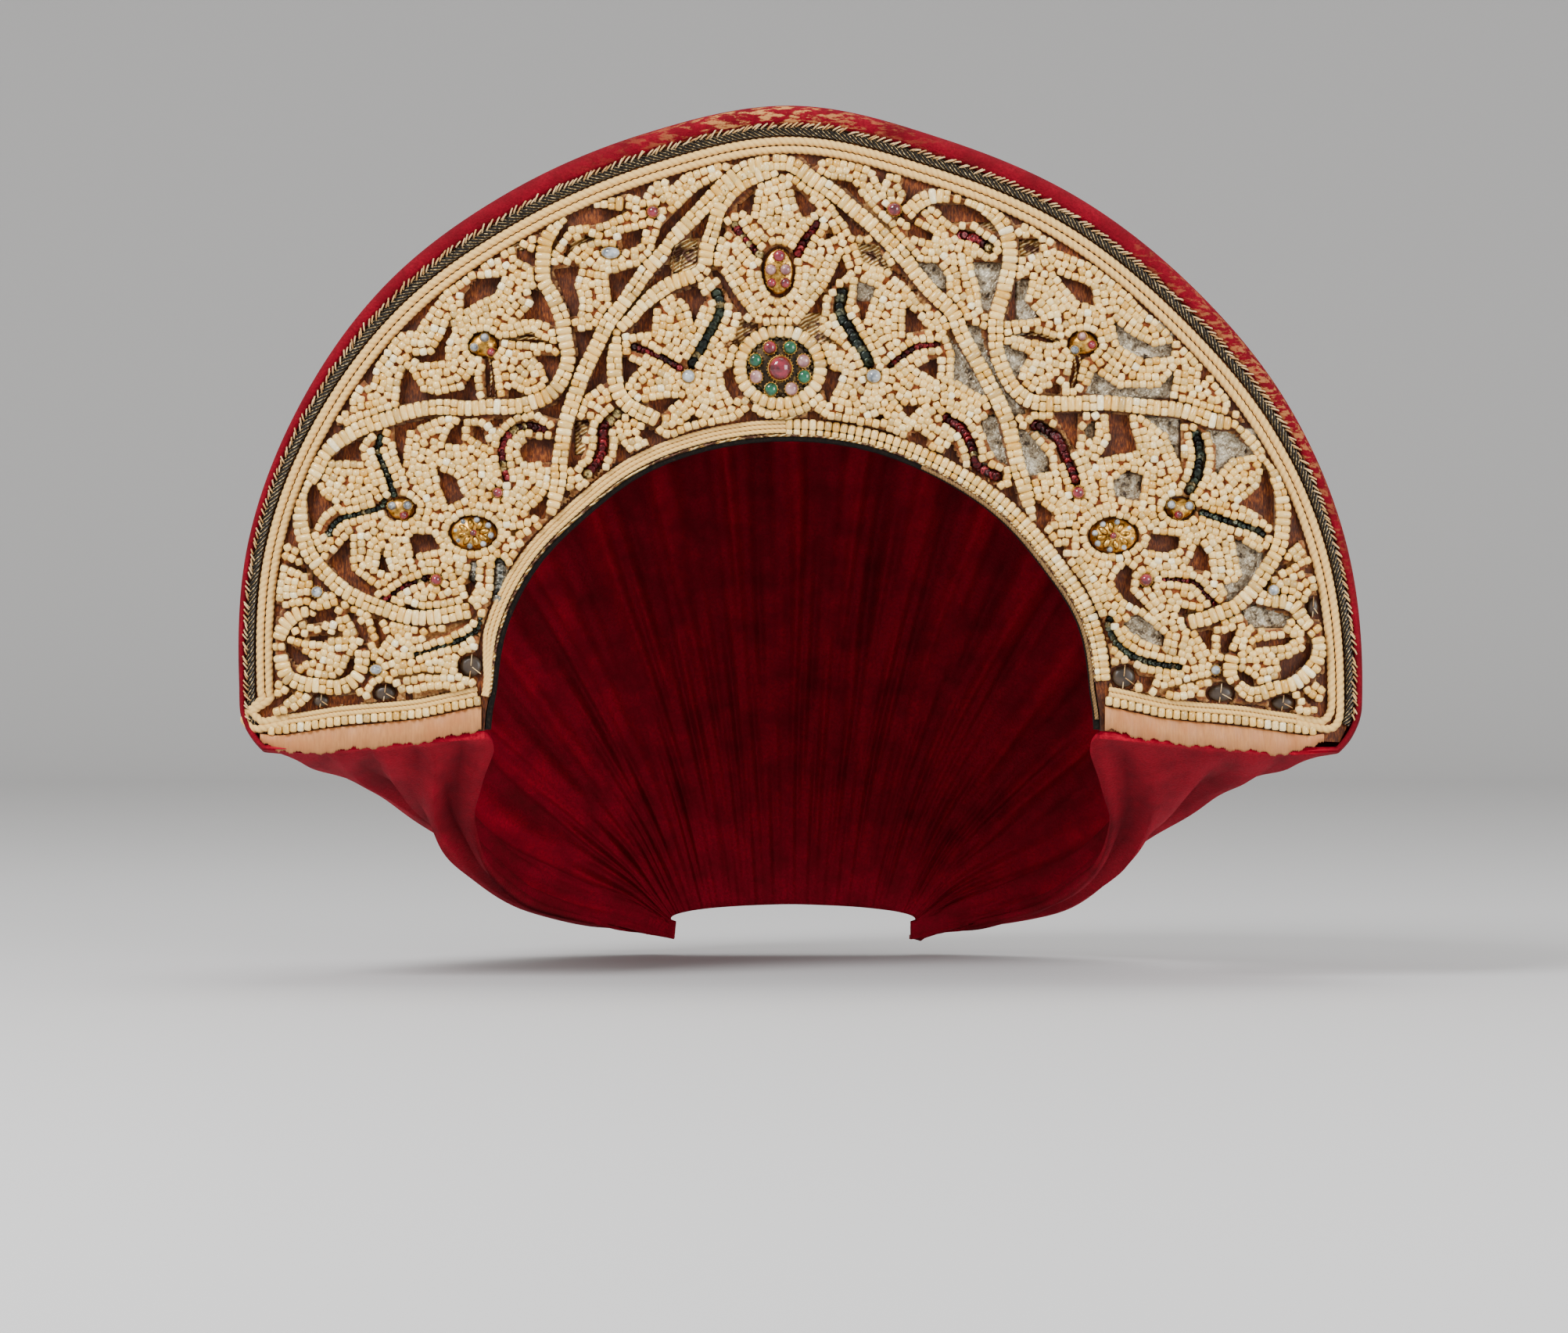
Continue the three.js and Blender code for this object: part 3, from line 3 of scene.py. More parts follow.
import bpy
import numpy as np
from bpy.props import FloatProperty, FloatVectorProperty, PointerProperty
from bpy.types import Operator, Panel, PropertyGroup
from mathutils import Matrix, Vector


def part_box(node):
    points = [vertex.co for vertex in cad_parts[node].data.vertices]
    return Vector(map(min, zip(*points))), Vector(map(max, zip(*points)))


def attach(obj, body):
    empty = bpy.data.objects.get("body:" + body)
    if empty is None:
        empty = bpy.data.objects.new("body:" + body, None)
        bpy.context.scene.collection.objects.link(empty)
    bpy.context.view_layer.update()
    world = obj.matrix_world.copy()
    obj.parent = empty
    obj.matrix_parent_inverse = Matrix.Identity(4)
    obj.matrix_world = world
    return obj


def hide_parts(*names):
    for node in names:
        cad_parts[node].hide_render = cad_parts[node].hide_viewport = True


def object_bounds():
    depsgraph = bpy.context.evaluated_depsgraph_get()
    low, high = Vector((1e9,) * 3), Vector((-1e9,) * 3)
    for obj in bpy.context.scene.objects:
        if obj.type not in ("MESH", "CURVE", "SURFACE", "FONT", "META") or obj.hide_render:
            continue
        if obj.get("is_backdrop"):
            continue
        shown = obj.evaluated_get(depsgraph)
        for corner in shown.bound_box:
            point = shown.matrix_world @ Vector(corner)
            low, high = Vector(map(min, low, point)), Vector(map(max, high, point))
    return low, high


bl_info = {
    "name": "Kokoshnik headdress",
    "version": (1, 0, 0),
    "blender": (4, 5, 0),
    "location": "View3D > Sidebar > Headdress",
    "description": "Beadwork, cords, stones and velvet of a crescent headdress",
    "category": "Object",
}

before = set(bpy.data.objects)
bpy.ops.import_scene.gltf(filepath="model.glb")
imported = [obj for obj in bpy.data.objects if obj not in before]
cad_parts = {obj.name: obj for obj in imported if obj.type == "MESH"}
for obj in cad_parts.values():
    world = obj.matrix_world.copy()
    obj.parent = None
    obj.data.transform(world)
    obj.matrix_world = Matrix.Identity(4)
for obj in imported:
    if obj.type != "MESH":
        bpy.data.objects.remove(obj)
CAD_LOW, CAD_HIGH = (list(corner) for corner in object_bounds())

# The same lengths in millimetres that the solids have
HALF_WIDTH = 150.0
RISE = 149.0
OPENING_HALF_WIDTH = 79.0
OPENING_RISE = 65.8
SPRING_Z = -86.1
FRONT_Y = -72.0
BOW_RADIUS = 800.0
RIM_END_ANGLE = 96.7
OPENING_END_ANGLE = 100.2
FIT_GAP = 0.3
BRAID_WIDTH = 2.3
BRAID_GAP = 0.45
CORD_WIDTH = 2.0
OPENING_BORDER_WIDTH = 4.2
RIBBON_WIDTH = 6.2
CAP_GATHERS = 15
GATHER_DEPTH = 3.2
CREASES = 14
# Row of the velvet where it leaves the board's edge
FOLD_ROW = 4.4
# Bead rows that follow an opening: distance of the first from it, and their number
FIRST_ROW = 0.95
ROW_COUNT = 5
# Corners of the padding this near to an opening are pulled to its edge
HEM_BAND = 0.45

RIM_ANGLE = [-90, -75, -60, -45, -30, -15, 0, 15, 30, 45, 60, 75, 90]
RIM_REACH = [0.974, 0.992, 1, 1.007, 1.003, 1.007, 1.022, 1, 0.997, 0.996, 1.005, 1.009, 1.005]
OPENING_ANGLE = [-100, -90, -75, -60, -45, -30, -15, 0, 15, 30, 45, 60, 75, 90, 100]
OPENING_REACH = [
    1.02, 0.984, 0.98, 0.975, 0.967, 0.985, 0.988, 0.985, 0.98, 0.967, 0.963, 0.96, 0.984, 0.99, 1.02
]
VELVET_FRONT_ALONG = [-100, -70, -50, -30, 0, 30, 50, 70, 100]
VELVET_FRONT_WIDTH = [1.6, 2, 3.4, 4.8, 4.8, 4.6, 4.6, 3, 1.6]
CAP_DEPTH = 172.0
# Sections of the cap: depth, arch, ridge, corner, foot across and foot up, in shares
CAP_ROWS = [
    (0.08, 1, 1.017, -0.12, 1.006, -0.107),
    (0.262, 0.95, 0.974, -0.134, 1.063, -0.181),
    (0.465, 0.85, 0.88, -0.154, 1.114, -0.268),
    (0.669, 0.72, 0.712, -0.221, 1.076, -0.368),
    (0.843, 0.58, 0.47, -0.342, 0.924, -0.436),
    (0.959, 0.44, 0.162, -0.402, 0.71, -0.469),
    (1.006, 0.32, -0.147, -0.436, 0.56, -0.483),
    (1, 0.24, -0.429, -0.462, 0.44, -0.489),
]
LIP_SHARE = [1, 0.8, 0.35, 0, -0.08]
LIP_Y = [-1, -2.4, -2.9, -1.2, 2.5]

# Gaps in the beadwork where the silk ground shows, as [across, up] in percent of the half width
GAPS = [
    # lower left corner
    [[-92.6, 23.3], [-91.9, 21.5], [-90.3, 20], [-93, 19.2]],
    [[-93.5, 14.9], [-89.3, 14.6], [-90.9, 12.3], [-93.5, 12.5]],
    [[-93.6, 10], [-92, 9.7], [-92.7, 6.2], [-93.6, 6.1]],
    [[-93.5, 4.4], [-91.5, 3.7], [-90, 1.6], [-91.5, 0.4], [-93.2, -0.6]],
    [[-91.5, -3], [-90.4, -1.9], [-87.4, -0.4], [-87.7, -1.3], [-91, -3.7]],
    [[-88.4, -4.6], [-86.2, -3.1], [-83.8, -1.5], [-80, -1.6], [-76.5, -1.1], [-74.2, -2.4], [-79.5, -3],
     [-84, -4.2]],
    [[-85.6, 12.1], [-83.8, 13.5], [-79, 14.8], [-80, 13.9], [-80, 12], [-82.7, 11.6], [-84.9, 11.3]],
    [[-88.9, 8.1], [-87.1, 6.6], [-84, 5.2], [-85.7, 4.5], [-86.7, 3.7], [-88.2, 5.5], [-89, 6.8]],
    [[-87.5, 9.4], [-85, 9], [-80, 9.4], [-78.1, 9], [-82, 8.7], [-82.6, 8.1], [-84.5, 8.1], [-87.5, 8.8]],
    [[-76.6, 5.1], [-76.5, 3.8], [-78.3, 1.8], [-80.2, 1.2], [-78.2, 3.5], [-77.9, 5]],
    [[-78.2, 13.5], [-77.4, 13.4], [-75.8, 11.2], [-74.5, 9.9], [-74.4, 7.7], [-75.8, 9], [-76.9, 11.2]],
    [[-73.8, 12.4], [-72.8, 12.1], [-70.9, 9], [-72.4, 6.8], [-72.4, 8.8]],
    [[-84.2, 20.7], [-82.7, 18.9], [-81, 17.5], [-82.2, 16.7], [-84.3, 17]],
    [[-91, 24.3], [-89.6, 23.1], [-84.6, 20.3], [-85.8, 20.2], [-89.6, 22.1], [-90.9, 22.9]],
    [[-88.2, 34.7], [-87.9, 29.2], [-86.5, 24.4], [-91.1, 27.1], [-89.6, 31.4]],
    [[-84.6, 35.9], [-83.7, 35.8], [-82.2, 33.5], [-80.1, 32.4], [-82.4, 30.9], [-84.3, 27.3], [-85.4, 33.5]],
    [[-80.3, 41.1], [-78.4, 42.7], [-74.6, 44.2], [-76, 42.6], [-75.3, 39.8], [-81.5, 40.3]],
    [[-77.4, 27.2], [-77.4, 20.8], [-73, 17.8], [-73.1, 15.9], [-77, 17.8], [-79.5, 19.8], [-81.6, 22.5],
     [-79.7, 24.4]],
    [[-71.2, 25], [-72, 24.6], [-72.7, 20.8], [-70.4, 20.2], [-71.4, 22.6]],
    # left side
    [[-73.1, 60.3], [-71.4, 59.1], [-73.1, 56.7], [-73.9, 53.1], [-76.6, 55.8], [-74.1, 58.9]],
    [[-78.6, 52.9], [-77.4, 51.3], [-77.4, 48.6], [-80.3, 49.2]],
    [[-82.2, 47.2], [-78.2, 45.9], [-81.7, 43.8], [-85.5, 40.3], [-83.9, 44.1]],
    [[-60, 64.8], [-59.3, 62.7], [-60.5, 60.8], [-60.7, 57.5], [-64.8, 57.2], [-66.9, 58.5], [-62.9, 59],
     [-61.2, 62]],
    [[-67.7, 56.3], [-66.6, 55.5], [-65, 52.4], [-62.4, 51.6], [-57.6, 52.7], [-55.5, 55.8], [-55.2, 50.5],
     [-61.2, 51],
    [-69.1, 50], [-68.8, 53.4]],
    [[-70.6, 63.1], [-66, 67.7], [-62.3, 71.4], [-59.2, 73.9], [-58.7, 72.9], [-61.3, 69.5], [-64.8, 64.7],
     [-66, 62.8]],
    [[-57.6, 66.5], [-57.4, 69.5], [-55, 72.1], [-50.6, 72.4], [-52.2, 69.2], [-55.9, 67.5]],
    [[-56.7, 76.1], [-53.6, 78.2], [-51, 79.3], [-51.1, 75.8], [-56, 74.7]],
    [[-48.1, 77.9], [-44.7, 76.6], [-44.8, 74], [-48.2, 75.6]],
    [[-47.7, 81.7], [-44.3, 83.5], [-43.6, 81.5], [-43.8, 80.1], [-47.1, 81]],
    [[-45.8, 70.5], [-43.5, 69.5], [-41.1, 63.5], [-44.9, 64.9], [-48.3, 64.5], [-45.3, 67.6]],
    [[-41.9, 73.7], [-37.1, 74.3], [-38, 71.1], [-37.1, 67.4], [-37.5, 65.6], [-38.5, 65.4], [-40.3, 69.7]],
    [[-51.2, 61.4], [-47.4, 62], [-46, 62.4], [-42.2, 60.5], [-48, 60.9]],
    [[-45.5, 58.5], [-40.1, 58.5], [-42.4, 53.2], [-43.5, 56.6]],
    [[-53.5, 58], [-52.4, 57.8], [-51.5, 51.4], [-53.4, 51.1], [-53.8, 55.9]],
    [[-49.2, 53], [-46.3, 51.5], [-49.9, 50.6]],
    [[-45, 48.6], [-41, 50], [-38, 55.3], [-40.8, 47.3]],
    [[-38, 62.8], [-34.2, 63], [-36.6, 58.2], [-38, 55.3], [-37.4, 58.9]],
    [[-69.8, 46.2], [-66.5, 46.9], [-60.7, 48], [-67.2, 45.3], [-68.2, 38.8], [-69.5, 41.7]],
    [[-60, 45.5], [-57.4, 47.4], [-57.8, 42.9], [-60.9, 43]],
    [[-55.7, 46.1], [-54.7, 46.1], [-52.9, 42.3], [-55.7, 44]],
    [[-53.1, 47.1], [-50.2, 47.5], [-52.2, 45.7]],
    [[-47.7, 42.2], [-45.4, 44], [-41.5, 43.8], [-42.1, 39.7], [-47.2, 39.7]],
    [[-46.3, 31], [-43.7, 33.2], [-42.5, 34.9], [-43.3, 29.4]],
    [[-39.9, 34.8], [-38.3, 34.7], [-39.4, 33.4], [-40.2, 31.2]],
    [[-67.1, 26.6], [-66, 27.2], [-63, 27], [-61.6, 24.5], [-65.3, 23.8], [-66.4, 22.7]],
    [[-62.3, 38.7], [-58.8, 36.9], [-57.4, 33.5], [-60.1, 31.9], [-61.4, 34.8]],
    [[-57.3, 18.3], [-55, 18.3], [-56.8, 15.8]],
    [[-47.6, 24.8], [-45.3, 26.6], [-46.7, 22.5]],
    [[-49, 27.7], [-46.3, 28.4], [-48.9, 26.8]],
    [[-68.9, 14.3], [-67.7, 14.9], [-65, 14], [-60.2, 14.2], [-65, 13.6]],
    [[-64.5, 9.3], [-61.1, 10], [-57, 12.1], [-60, 10.2], [-64.2, 8.6]],
    [[-53.6, 14.9], [-51.2, 13.1], [-51.4, 12.6], [-53.6, 14.2]],
    [[-51.6, 10.8], [-52, 8], [-53, 5.6], [-55.2, 6], [-58.6, 4.6], [-55, 6.6], [-53.2, 6.4], [-52.6, 8.5]],
    [[-69.6, 2.1], [-64.2, 2.9], [-58.9, 2.2], [-64.2, 2.4], [-69.6, 1.6]],
    [[-68.6, -1.3], [-63.5, -0.3], [-60.7, -0.1], [-63.5, -0.8], [-68.6, -1.9]],
    [[-37.9, 47.1], [-35.2, 47.3], [-36.6, 43.5], [-36.1, 42], [-37.9, 38.9], [-39.4, 38.5], [-38.6, 43.5]],
    [[-30.4, 43.8], [-28.4, 41.2], [-31.1, 38.5]],
    # left of the crest
    [[-29.8, 58.3], [-26.2, 56.5], [-28.1, 55.1], [-29.3, 52.6]],
    [[-24.2, 67.2], [-24.5, 62.6], [-28.3, 62.1], [-25.9, 66]],
    [[-20.4, 69.2], [-16.4, 70.7], [-15.1, 68.6], [-17.1, 64.1], [-18.3, 67.4]],
    [[-14, 75], [-13.2, 73.5], [-11.8, 72.1], [-9.2, 68], [-7.3, 65.7], [-8.9, 65.4], [-12.5, 71.3],
     [-14.1, 73]],
    [[-12.1, 60.3], [-10, 61.3], [-9.3, 64.6], [-5.7, 64.1], [-9.7, 60.3]],
    [[-12.1, 55.4], [-10.7, 56.2], [-9, 52.3], [-10.2, 50.2], [-11.9, 53.3]],
    [[-25.9, 50.2], [-23.5, 50.8], [-19.5, 51.1], [-22.8, 48.1]],
    [[-26.9, 44.5], [-25.7, 45.8], [-22.1, 43.9], [-24.5, 42.8]],
    [[-19, 46.7], [-17.3, 48.1], [-15.4, 47.1]],
    [[-10.2, 46.9], [-7.3, 49.1], [-5.2, 47.6], [-7.5, 47.3]],
    [[-29.5, 65.5], [-25.3, 70.6], [-21.1, 75.3], [-21.1, 72.7], [-25.2, 69.9], [-29.2, 65]],
    [[-30.6, 62.6], [-33.9, 57.5], [-36.6, 51.1], [-32.3, 53.9], [-32.3, 59.4]],
    [[-32.1, 72.7], [-26.5, 74.2], [-31.4, 66.9], [-31.9, 70]],
    [[-32.6, 88.5], [-25.3, 91.3], [-24.9, 88], [-26.1, 85.8], [-30, 87.9]],
    [[-40.7, 80.5], [-37.8, 83.6], [-33.8, 84.6], [-29, 83.6], [-33, 81.7], [-39, 81], [-41.8, 76.7]],
    [[-39.3, 77.9], [-35.9, 79.6], [-33.8, 78.9], [-37.8, 77.6], [-40, 75]],
    [[-30, 79.8], [-25.9, 81], [-26.4, 77.9], [-29.5, 77]],
    [[-22.1, 92.3], [-17.3, 93.7], [-6.6, 95.1], [-9.9, 91.9], [-14.2, 92.8], [-17.8, 91.6], [-21.3, 87.9]],
    [[-13, 89.3], [-16.6, 87.5], [-22.9, 81.2], [-24.6, 75.7], [-21.4, 80.2], [-16.6, 85.2], [-14.4, 87.6]],
    [[-14, 84.2], [-15.4, 79.2], [-18.2, 79]],
    [[-21, 77.7], [-16.6, 78.6], [-16.5, 75.2], [-17.3, 73.5], [-20.5, 73]],
    # crest
    [[-10, 84.2], [-6.3, 87.4], [-7, 82.8]],
    [[-12, 82.6], [-11.6, 79.7], [-12.9, 79]],
    [[0, 87.6], [1.3, 87.3], [4.4, 84], [1.7, 82.6]],
    [[0.1, 94.7], [5.6, 94.5], [8.9, 93.8], [5.4, 92.8], [3.8, 91.6]],
    [[6.8, 81.1], [7.3, 79.2], [5.6, 78.5]],
    # right of the crest
    [[9.2, 94], [14, 92.7], [17.3, 92.2], [15.5, 88.2], [14.4, 90.5], [11.6, 92.6]],
    [[6.8, 89.3], [10.4, 89], [13.2, 84.7], [16.9, 81], [17.1, 80.1], [13.8, 83.6], [9.2, 88]],
    [[5.1, 86.9], [7.8, 84.7], [10.1, 82.3], [13, 79.5], [10.6, 79.5], [8.5, 83]],
    [[11.1, 78.4], [14.7, 77.5], [17.1, 73.4], [14, 74.1], [12.3, 74.8]],
    [[8.7, 76.1], [9.7, 73], [6.8, 70.7], [5.2, 68.1], [5.2, 66.2], [4.6, 62.9], [8.8, 59.8], [5.2, 61],
     [1.1, 64.1],
    [3.1, 66.5], [6.6, 71.4]],
    [[11.4, 71.5], [14.7, 70.3], [12.4, 64.1], [11.2, 67.9]],
    [[19.8, 67.2], [23.8, 63.3], [19.6, 62.2]],
    [[17.1, 73.9], [20.4, 71.3], [23.1, 67.7], [23.1, 66.9], [20.4, 70.4], [17.3, 72.7]],
    [[21.6, 74.8], [25, 74.8], [26.9, 72.2], [27, 68.6], [25.7, 70]],
    [[20.9, 90.9], [25.9, 90], [28.3, 88.8], [22.6, 87.7], [20.2, 85.8], [18.9, 88.2]],
    [[24.4, 84.8], [29.7, 85.1], [33.1, 83.6], [36, 80.1], [31.6, 82], [27.8, 81.7]],
    [[20.4, 82], [24.6, 79.8], [24.4, 78.4], [20.2, 79.6]],
    [[31.4, 75.5], [36.7, 74.7], [34.5, 66.5], [33.1, 66.7], [32.6, 70]],
    [[27.1, 62.3], [29.4, 59.1], [34.2, 50.9], [28, 54.3], [28.4, 58]],
    [[21.4, 56.2], [25.5, 58.1], [25.2, 54.3]],
    [[17.8, 51], [20, 49.3], [23.3, 50.2], [20.2, 47.6]],
    [[6.2, 56.2], [8.7, 55.2], [6.4, 50], [5.4, 52.4]],
    [[2.4, 47.9], [3.8, 48.8], [5.7, 47.4]],
    [[13, 47.3], [15.7, 48.1], [16.4, 46.9]],
    [[20.2, 43.9], [21.9, 45.1], [23.9, 43.8], [22.7, 41.4]],
    [[26.2, 40.5], [27.7, 43], [29.8, 38.7]],
    # right side
    [[36.2, 85.5], [40, 83.9], [43.3, 82], [39, 81.5]],
    [[39.6, 79.2], [43.1, 79.1], [43.2, 76.5], [39.9, 75.9]],
    [[46.2, 78.4], [50, 78.4], [52.9, 75.9], [52.8, 74.5], [46.3, 77]],
    [[39, 71.5], [41.6, 72.4], [40.7, 68.1], [43.3, 65], [37.4, 64.5]],
    [[45.9, 72.9], [50.5, 71.5], [52.3, 70.4], [53, 67.4], [49.8, 68.1]],
    [[38.1, 62.1], [42, 62.6], [47.3, 61.2], [44.8, 60.6]],
    [[36.6, 60.5], [41.3, 58.7], [39, 54.1]],
    [[30.1, 63.9], [32.6, 63.7], [34, 58.7], [37.4, 51.6], [41.1, 48.4], [38.8, 47.7], [34.9, 55.5]],
    [[43.6, 52.2], [46.6, 53.6], [46.9, 51.7]],
    [[49.1, 58.5], [50.9, 58.5], [49.6, 53], [48.4, 53.2]],
    [[45.7, 48.4], [50, 48.4], [49.8, 41.5]],
    [[54.8, 74.3], [59.7, 70.6], [66.7, 64.8], [62.6, 65.6], [56.2, 72], [54.8, 73.1]],
    [[56.2, 64.8], [59, 62.5], [63.3, 60.1], [66.7, 61.1], [66.5, 58.4], [61.4, 57.9], [57.1, 60.5]],
    [[51.4, 52], [52.8, 55.7], [56.9, 52.9], [64.5, 52.9], [67.1, 56.3], [66.2, 50.5]],
    [[71.9, 59.8], [74.3, 57], [71.4, 53.4]],
    [[76.7, 53.2], [80, 49.1], [76.7, 48.9]],
    [[81.4, 47.5], [83.8, 42.9], [77.8, 46.5]],
    [[55.1, 48.4], [58.7, 48.1], [60.5, 41.7], [53.6, 40.4], [55.6, 43.5]],
    [[51, 45.5], [53.2, 47.2], [52.7, 42.8]],
    [[56, 36.4], [58.5, 38.3], [61.4, 37.6], [60.8, 32.8], [56.4, 33.9]],
    [[60.8, 48.1], [68.1, 47.4], [68.3, 38.6], [65.6, 44.8]],
    [[72.4, 45.7], [77.1, 45], [81.7, 41.2], [77, 40.5], [74.4, 37.4], [74.4, 42.9]],
    [[82.9, 40.2], [84.7, 34.4], [84.7, 28], [82.6, 30.5], [78.2, 32.4], [82.1, 35.5]],
    [[86.3, 39.4], [88.6, 35.5], [91.3, 28.2], [86.9, 24.1], [87.7, 32]],
    [[77.5, 26.5], [83, 23.4], [80.3, 18.8], [76.7, 15.1], [75.5, 18.1], [79, 19.2]],
    [[71.2, 25.7], [73, 23.4], [73.6, 20.2], [69.2, 21.5]],
    [[62.9, 27.3], [67.9, 26.6], [67.7, 24.7], [65.8, 23.7], [62.1, 24.3]],
    [[92.9, 23.8], [93.7, 20.4], [89.9, 20.3]],
    [[91, 24.5], [91.4, 23.8], [85, 20.1], [85.3, 21.4], [89, 22.5]],
    [[89.9, 15.1], [94.9, 16], [95.1, 12.3], [92.2, 12.1]],
    [[94.8, 9.1], [95.9, 9.3], [96.1, 6.6], [94.8, 6.4]],
    [[91.8, 1.1], [96.5, 4.7], [95.9, -1.9]],
    [[89.3, -1.4], [90.2, -1], [94.4, -4.2], [94.6, -5], [92.1, -3.5]],
    [[78.9, 13.2], [80.9, 14.6], [87.7, 12.5], [86.4, 10.6], [81.1, 10.5]],
    [[71, 9.7], [73.8, 10.4], [73.5, 5.7]],
    [[75.3, 9.3], [78.1, 10.6], [76.1, 5.7], [75.2, 6.8]],
    [[91, 9.1], [91.4, 7], [91, 4.9], [86.2, 1.1], [85.3, 4.7], [89.8, 6.4]],
    [[80.5, 7], [81.8, 8.3], [89.3, 9.1], [86.6, 7.6]],
    [[77.9, 2.6], [78.4, 3.3], [80.9, 1.7], [81.3, 0], [78.8, 1.3]],
    [[77.5, -2.8], [83.6, -3.4], [83.6, -4.2], [79.2, -3.6]],
    [[56, 18.7], [58.2, 21.8], [59.6, 21], [59.2, 17], [63.6, 12.4], [57.8, 15.8]],
    [[57.8, 11.2], [60.4, 13], [65.3, 9.2], [65, 7.1], [60.4, 9]],
    [[60.4, 2.1], [63.6, 1.8], [62, -1.5]],
    [[54.5, 5.5], [56.2, 3.9], [54.6, 4.4]],
    [[64.4, -0.4], [74.9, 2.6], [74.9, 2], [68.7, 0.6], [64.4, -1]],
    [[67.5, -2.2], [70.1, -1.7], [72.5, -3.1]],
    [[67.9, 14.2], [72.5, 13.4], [67.5, 12.9]],
    [[42.2, 33], [45.7, 30.7], [43.4, 26.8]],
    [[45.7, 27.9], [48.9, 28.4], [49.1, 27.7]],
    [[45.4, 25], [47.7, 25], [47.2, 22]],
    [[49.3, 19.9], [51.4, 16.9], [53, 12.4], [50.9, 16.6]],
    [[39.2, 45.5], [40.7, 45.5], [44.7, 40.9], [45.4, 38], [41.2, 37.3], [40.1, 42.2]],
    [[36.1, 34.7], [38.7, 35.6], [40.4, 29.2], [37.9, 32.6]],
    [[32.8, 46.8], [35.4, 48.4], [37.7, 39.1], [35.2, 40.9]],
]

# Sequin strings: kind, width of their channel in percent, and the middle line as [across, up]
CHANNELS = [
    ("green", 1.1, [[-81.4, 27.1], [-79.9, 29.5], [-77, 30.5], [-72.7, 31.6], [-71.5, 33]]),
    ("green", 1.2, [[-72.1, 44.1], [-72.7, 42], [-71.5, 38.9], [-69.8, 34]]),
    ("red", 0.9, [[-71.2, 15.7], [-69.5, 17], [-67, 18.3], [-63.6, 19.6]]),
    ("red", 1.4, [[-43.5, 45.6], [-46.4, 46.1], [-48.7, 45.4], [-50.5, 43], [-50.6, 39.5], [-49.9, 36.9]]),
    ("green", 0.8, [[-65.9, 5.9], [-61.8, 7.1], [-57.4, 8.8], [-54.9, 10.7], [-54.7, 12.3]]),
    ("grey", 1.8, [[-51.2, 22], [-51.4, 18], [-51.8, 15.6]]),
    ("grey", 1.3, [[-55.7, 21.5], [-56, 19.2]]),
    ("red", 2, [[-30.6, 48.1], [-32.9, 45.8], [-33.1, 42.5], [-34.2, 39.4], [-35.9, 37.8]]),
    ("red", 1.2, [[-27.4, 60], [-24, 58.6], [-19.8, 56.3]]),
    ("green", 1.7, [[-13.2, 69.3], [-12.5, 66.5], [-14.5, 62.4], [-17.4, 57.1]]),
    ("red", 1.4, [[-10, 81.4], [-7.2, 77.6], [-5.6, 76]]),
    ("red", 1.6, [[4.2, 81.4], [1.8, 78], [1, 76.3]]),
    ("green", 2, [[8.8, 69.4], [8.3, 66.5], [9.9, 63.2], [12.3, 59.3], [13.3, 57.1]]),
    ("red", 1.2, [[25, 60.3], [21.5, 59.9], [18.8, 58], [17.2, 56.7]]),
    ("red", 1.8, [[29.5, 79.7], [32, 79], [34.3, 77.4]]),
    ("red", 1.8, [[26.9, 47.5], [29.8, 45.3], [31.4, 42.2], [32.4, 39.2], [35.9, 37.2]]),
    ("red", 1.9, [[42.5, 46.3], [46.3, 44], [48.2, 39.9], [49.6, 36.6]]),
    ("green", 2, [[70.8, 44.5], [71.6, 41.5], [71, 37.6], [69.6, 35]]),
    ("green", 1.3, [[72, 30.9], [75.7, 29.7], [80.8, 28.2], [82.6, 27.2]]),
    ("green", 1.3, [[55.6, 11.9], [55.4, 10.2], [57.8, 6.8], [62.2, 4.6], [67.9, 3.6]]),
    ("red", 0.9, [[65.1, 19.1], [70.1, 18.7], [72.7, 16.2], [74.1, 15]]),
]

# Thread-wrapped stems that scroll through the beadwork, as middle lines in percent
STEMS = [
    [[-30, 86], [-37, 86.5], [-42, 82], [-44, 76], [-43.3, 70], [-40.5, 64], [-39.5, 58], [-41, 53],
     [-46, 50], [-55, 49.5], [-64, 49.3], [-72, 47], [-80, 44], [-85.5, 38], [-86.8, 30], [-85, 24],
     [-80, 18.5], [-74, 15.5], [-64, 12.8], [-57, 13.5]],
    [[-41.2, 31], [-40.3, 40], [-39.5, 48], [-38, 53], [-35.5, 58], [-30, 68], [-22, 79], [-17, 84.5],
     [-12, 88.5], [-3.5, 93.5], [4, 89], [13, 82], [21, 74], [29, 65], [35, 55], [38, 49], [40.5, 36],
     [41.5, 30]],
    [[-24, 47.5], [-29, 50], [-31.8, 56], [-31, 61], [-25, 69], [-19, 72.3], [-15.5, 74], [-14.8, 79],
     [-13, 84], [-9, 88.5], [-3.5, 91]],
    [[20, 84], [26, 87.5], [31, 87], [36, 83], [38, 77], [37, 70], [35.5, 64], [37, 57], [39.5, 52],
     [44, 50], [58, 50.3], [66, 49.5], [74, 47], [80, 44.5], [85, 39], [86.2, 32], [85.5, 25], [82, 20],
     [77, 14.5], [70, 12.3]],
    [[-80.5, 12.5], [-87, 12.5], [-90.5, 10], [-91.3, 7], [-90, 4], [-88, 1.5], [-82, 0], [-77, 2],
     [-75.5, 6]],
    [[80, 17], [88, 15], [93, 11.5], [93.6, 7], [91, 3], [87, 0.2], [80, -1.5], [76.5, 1], [76, 5]],
]

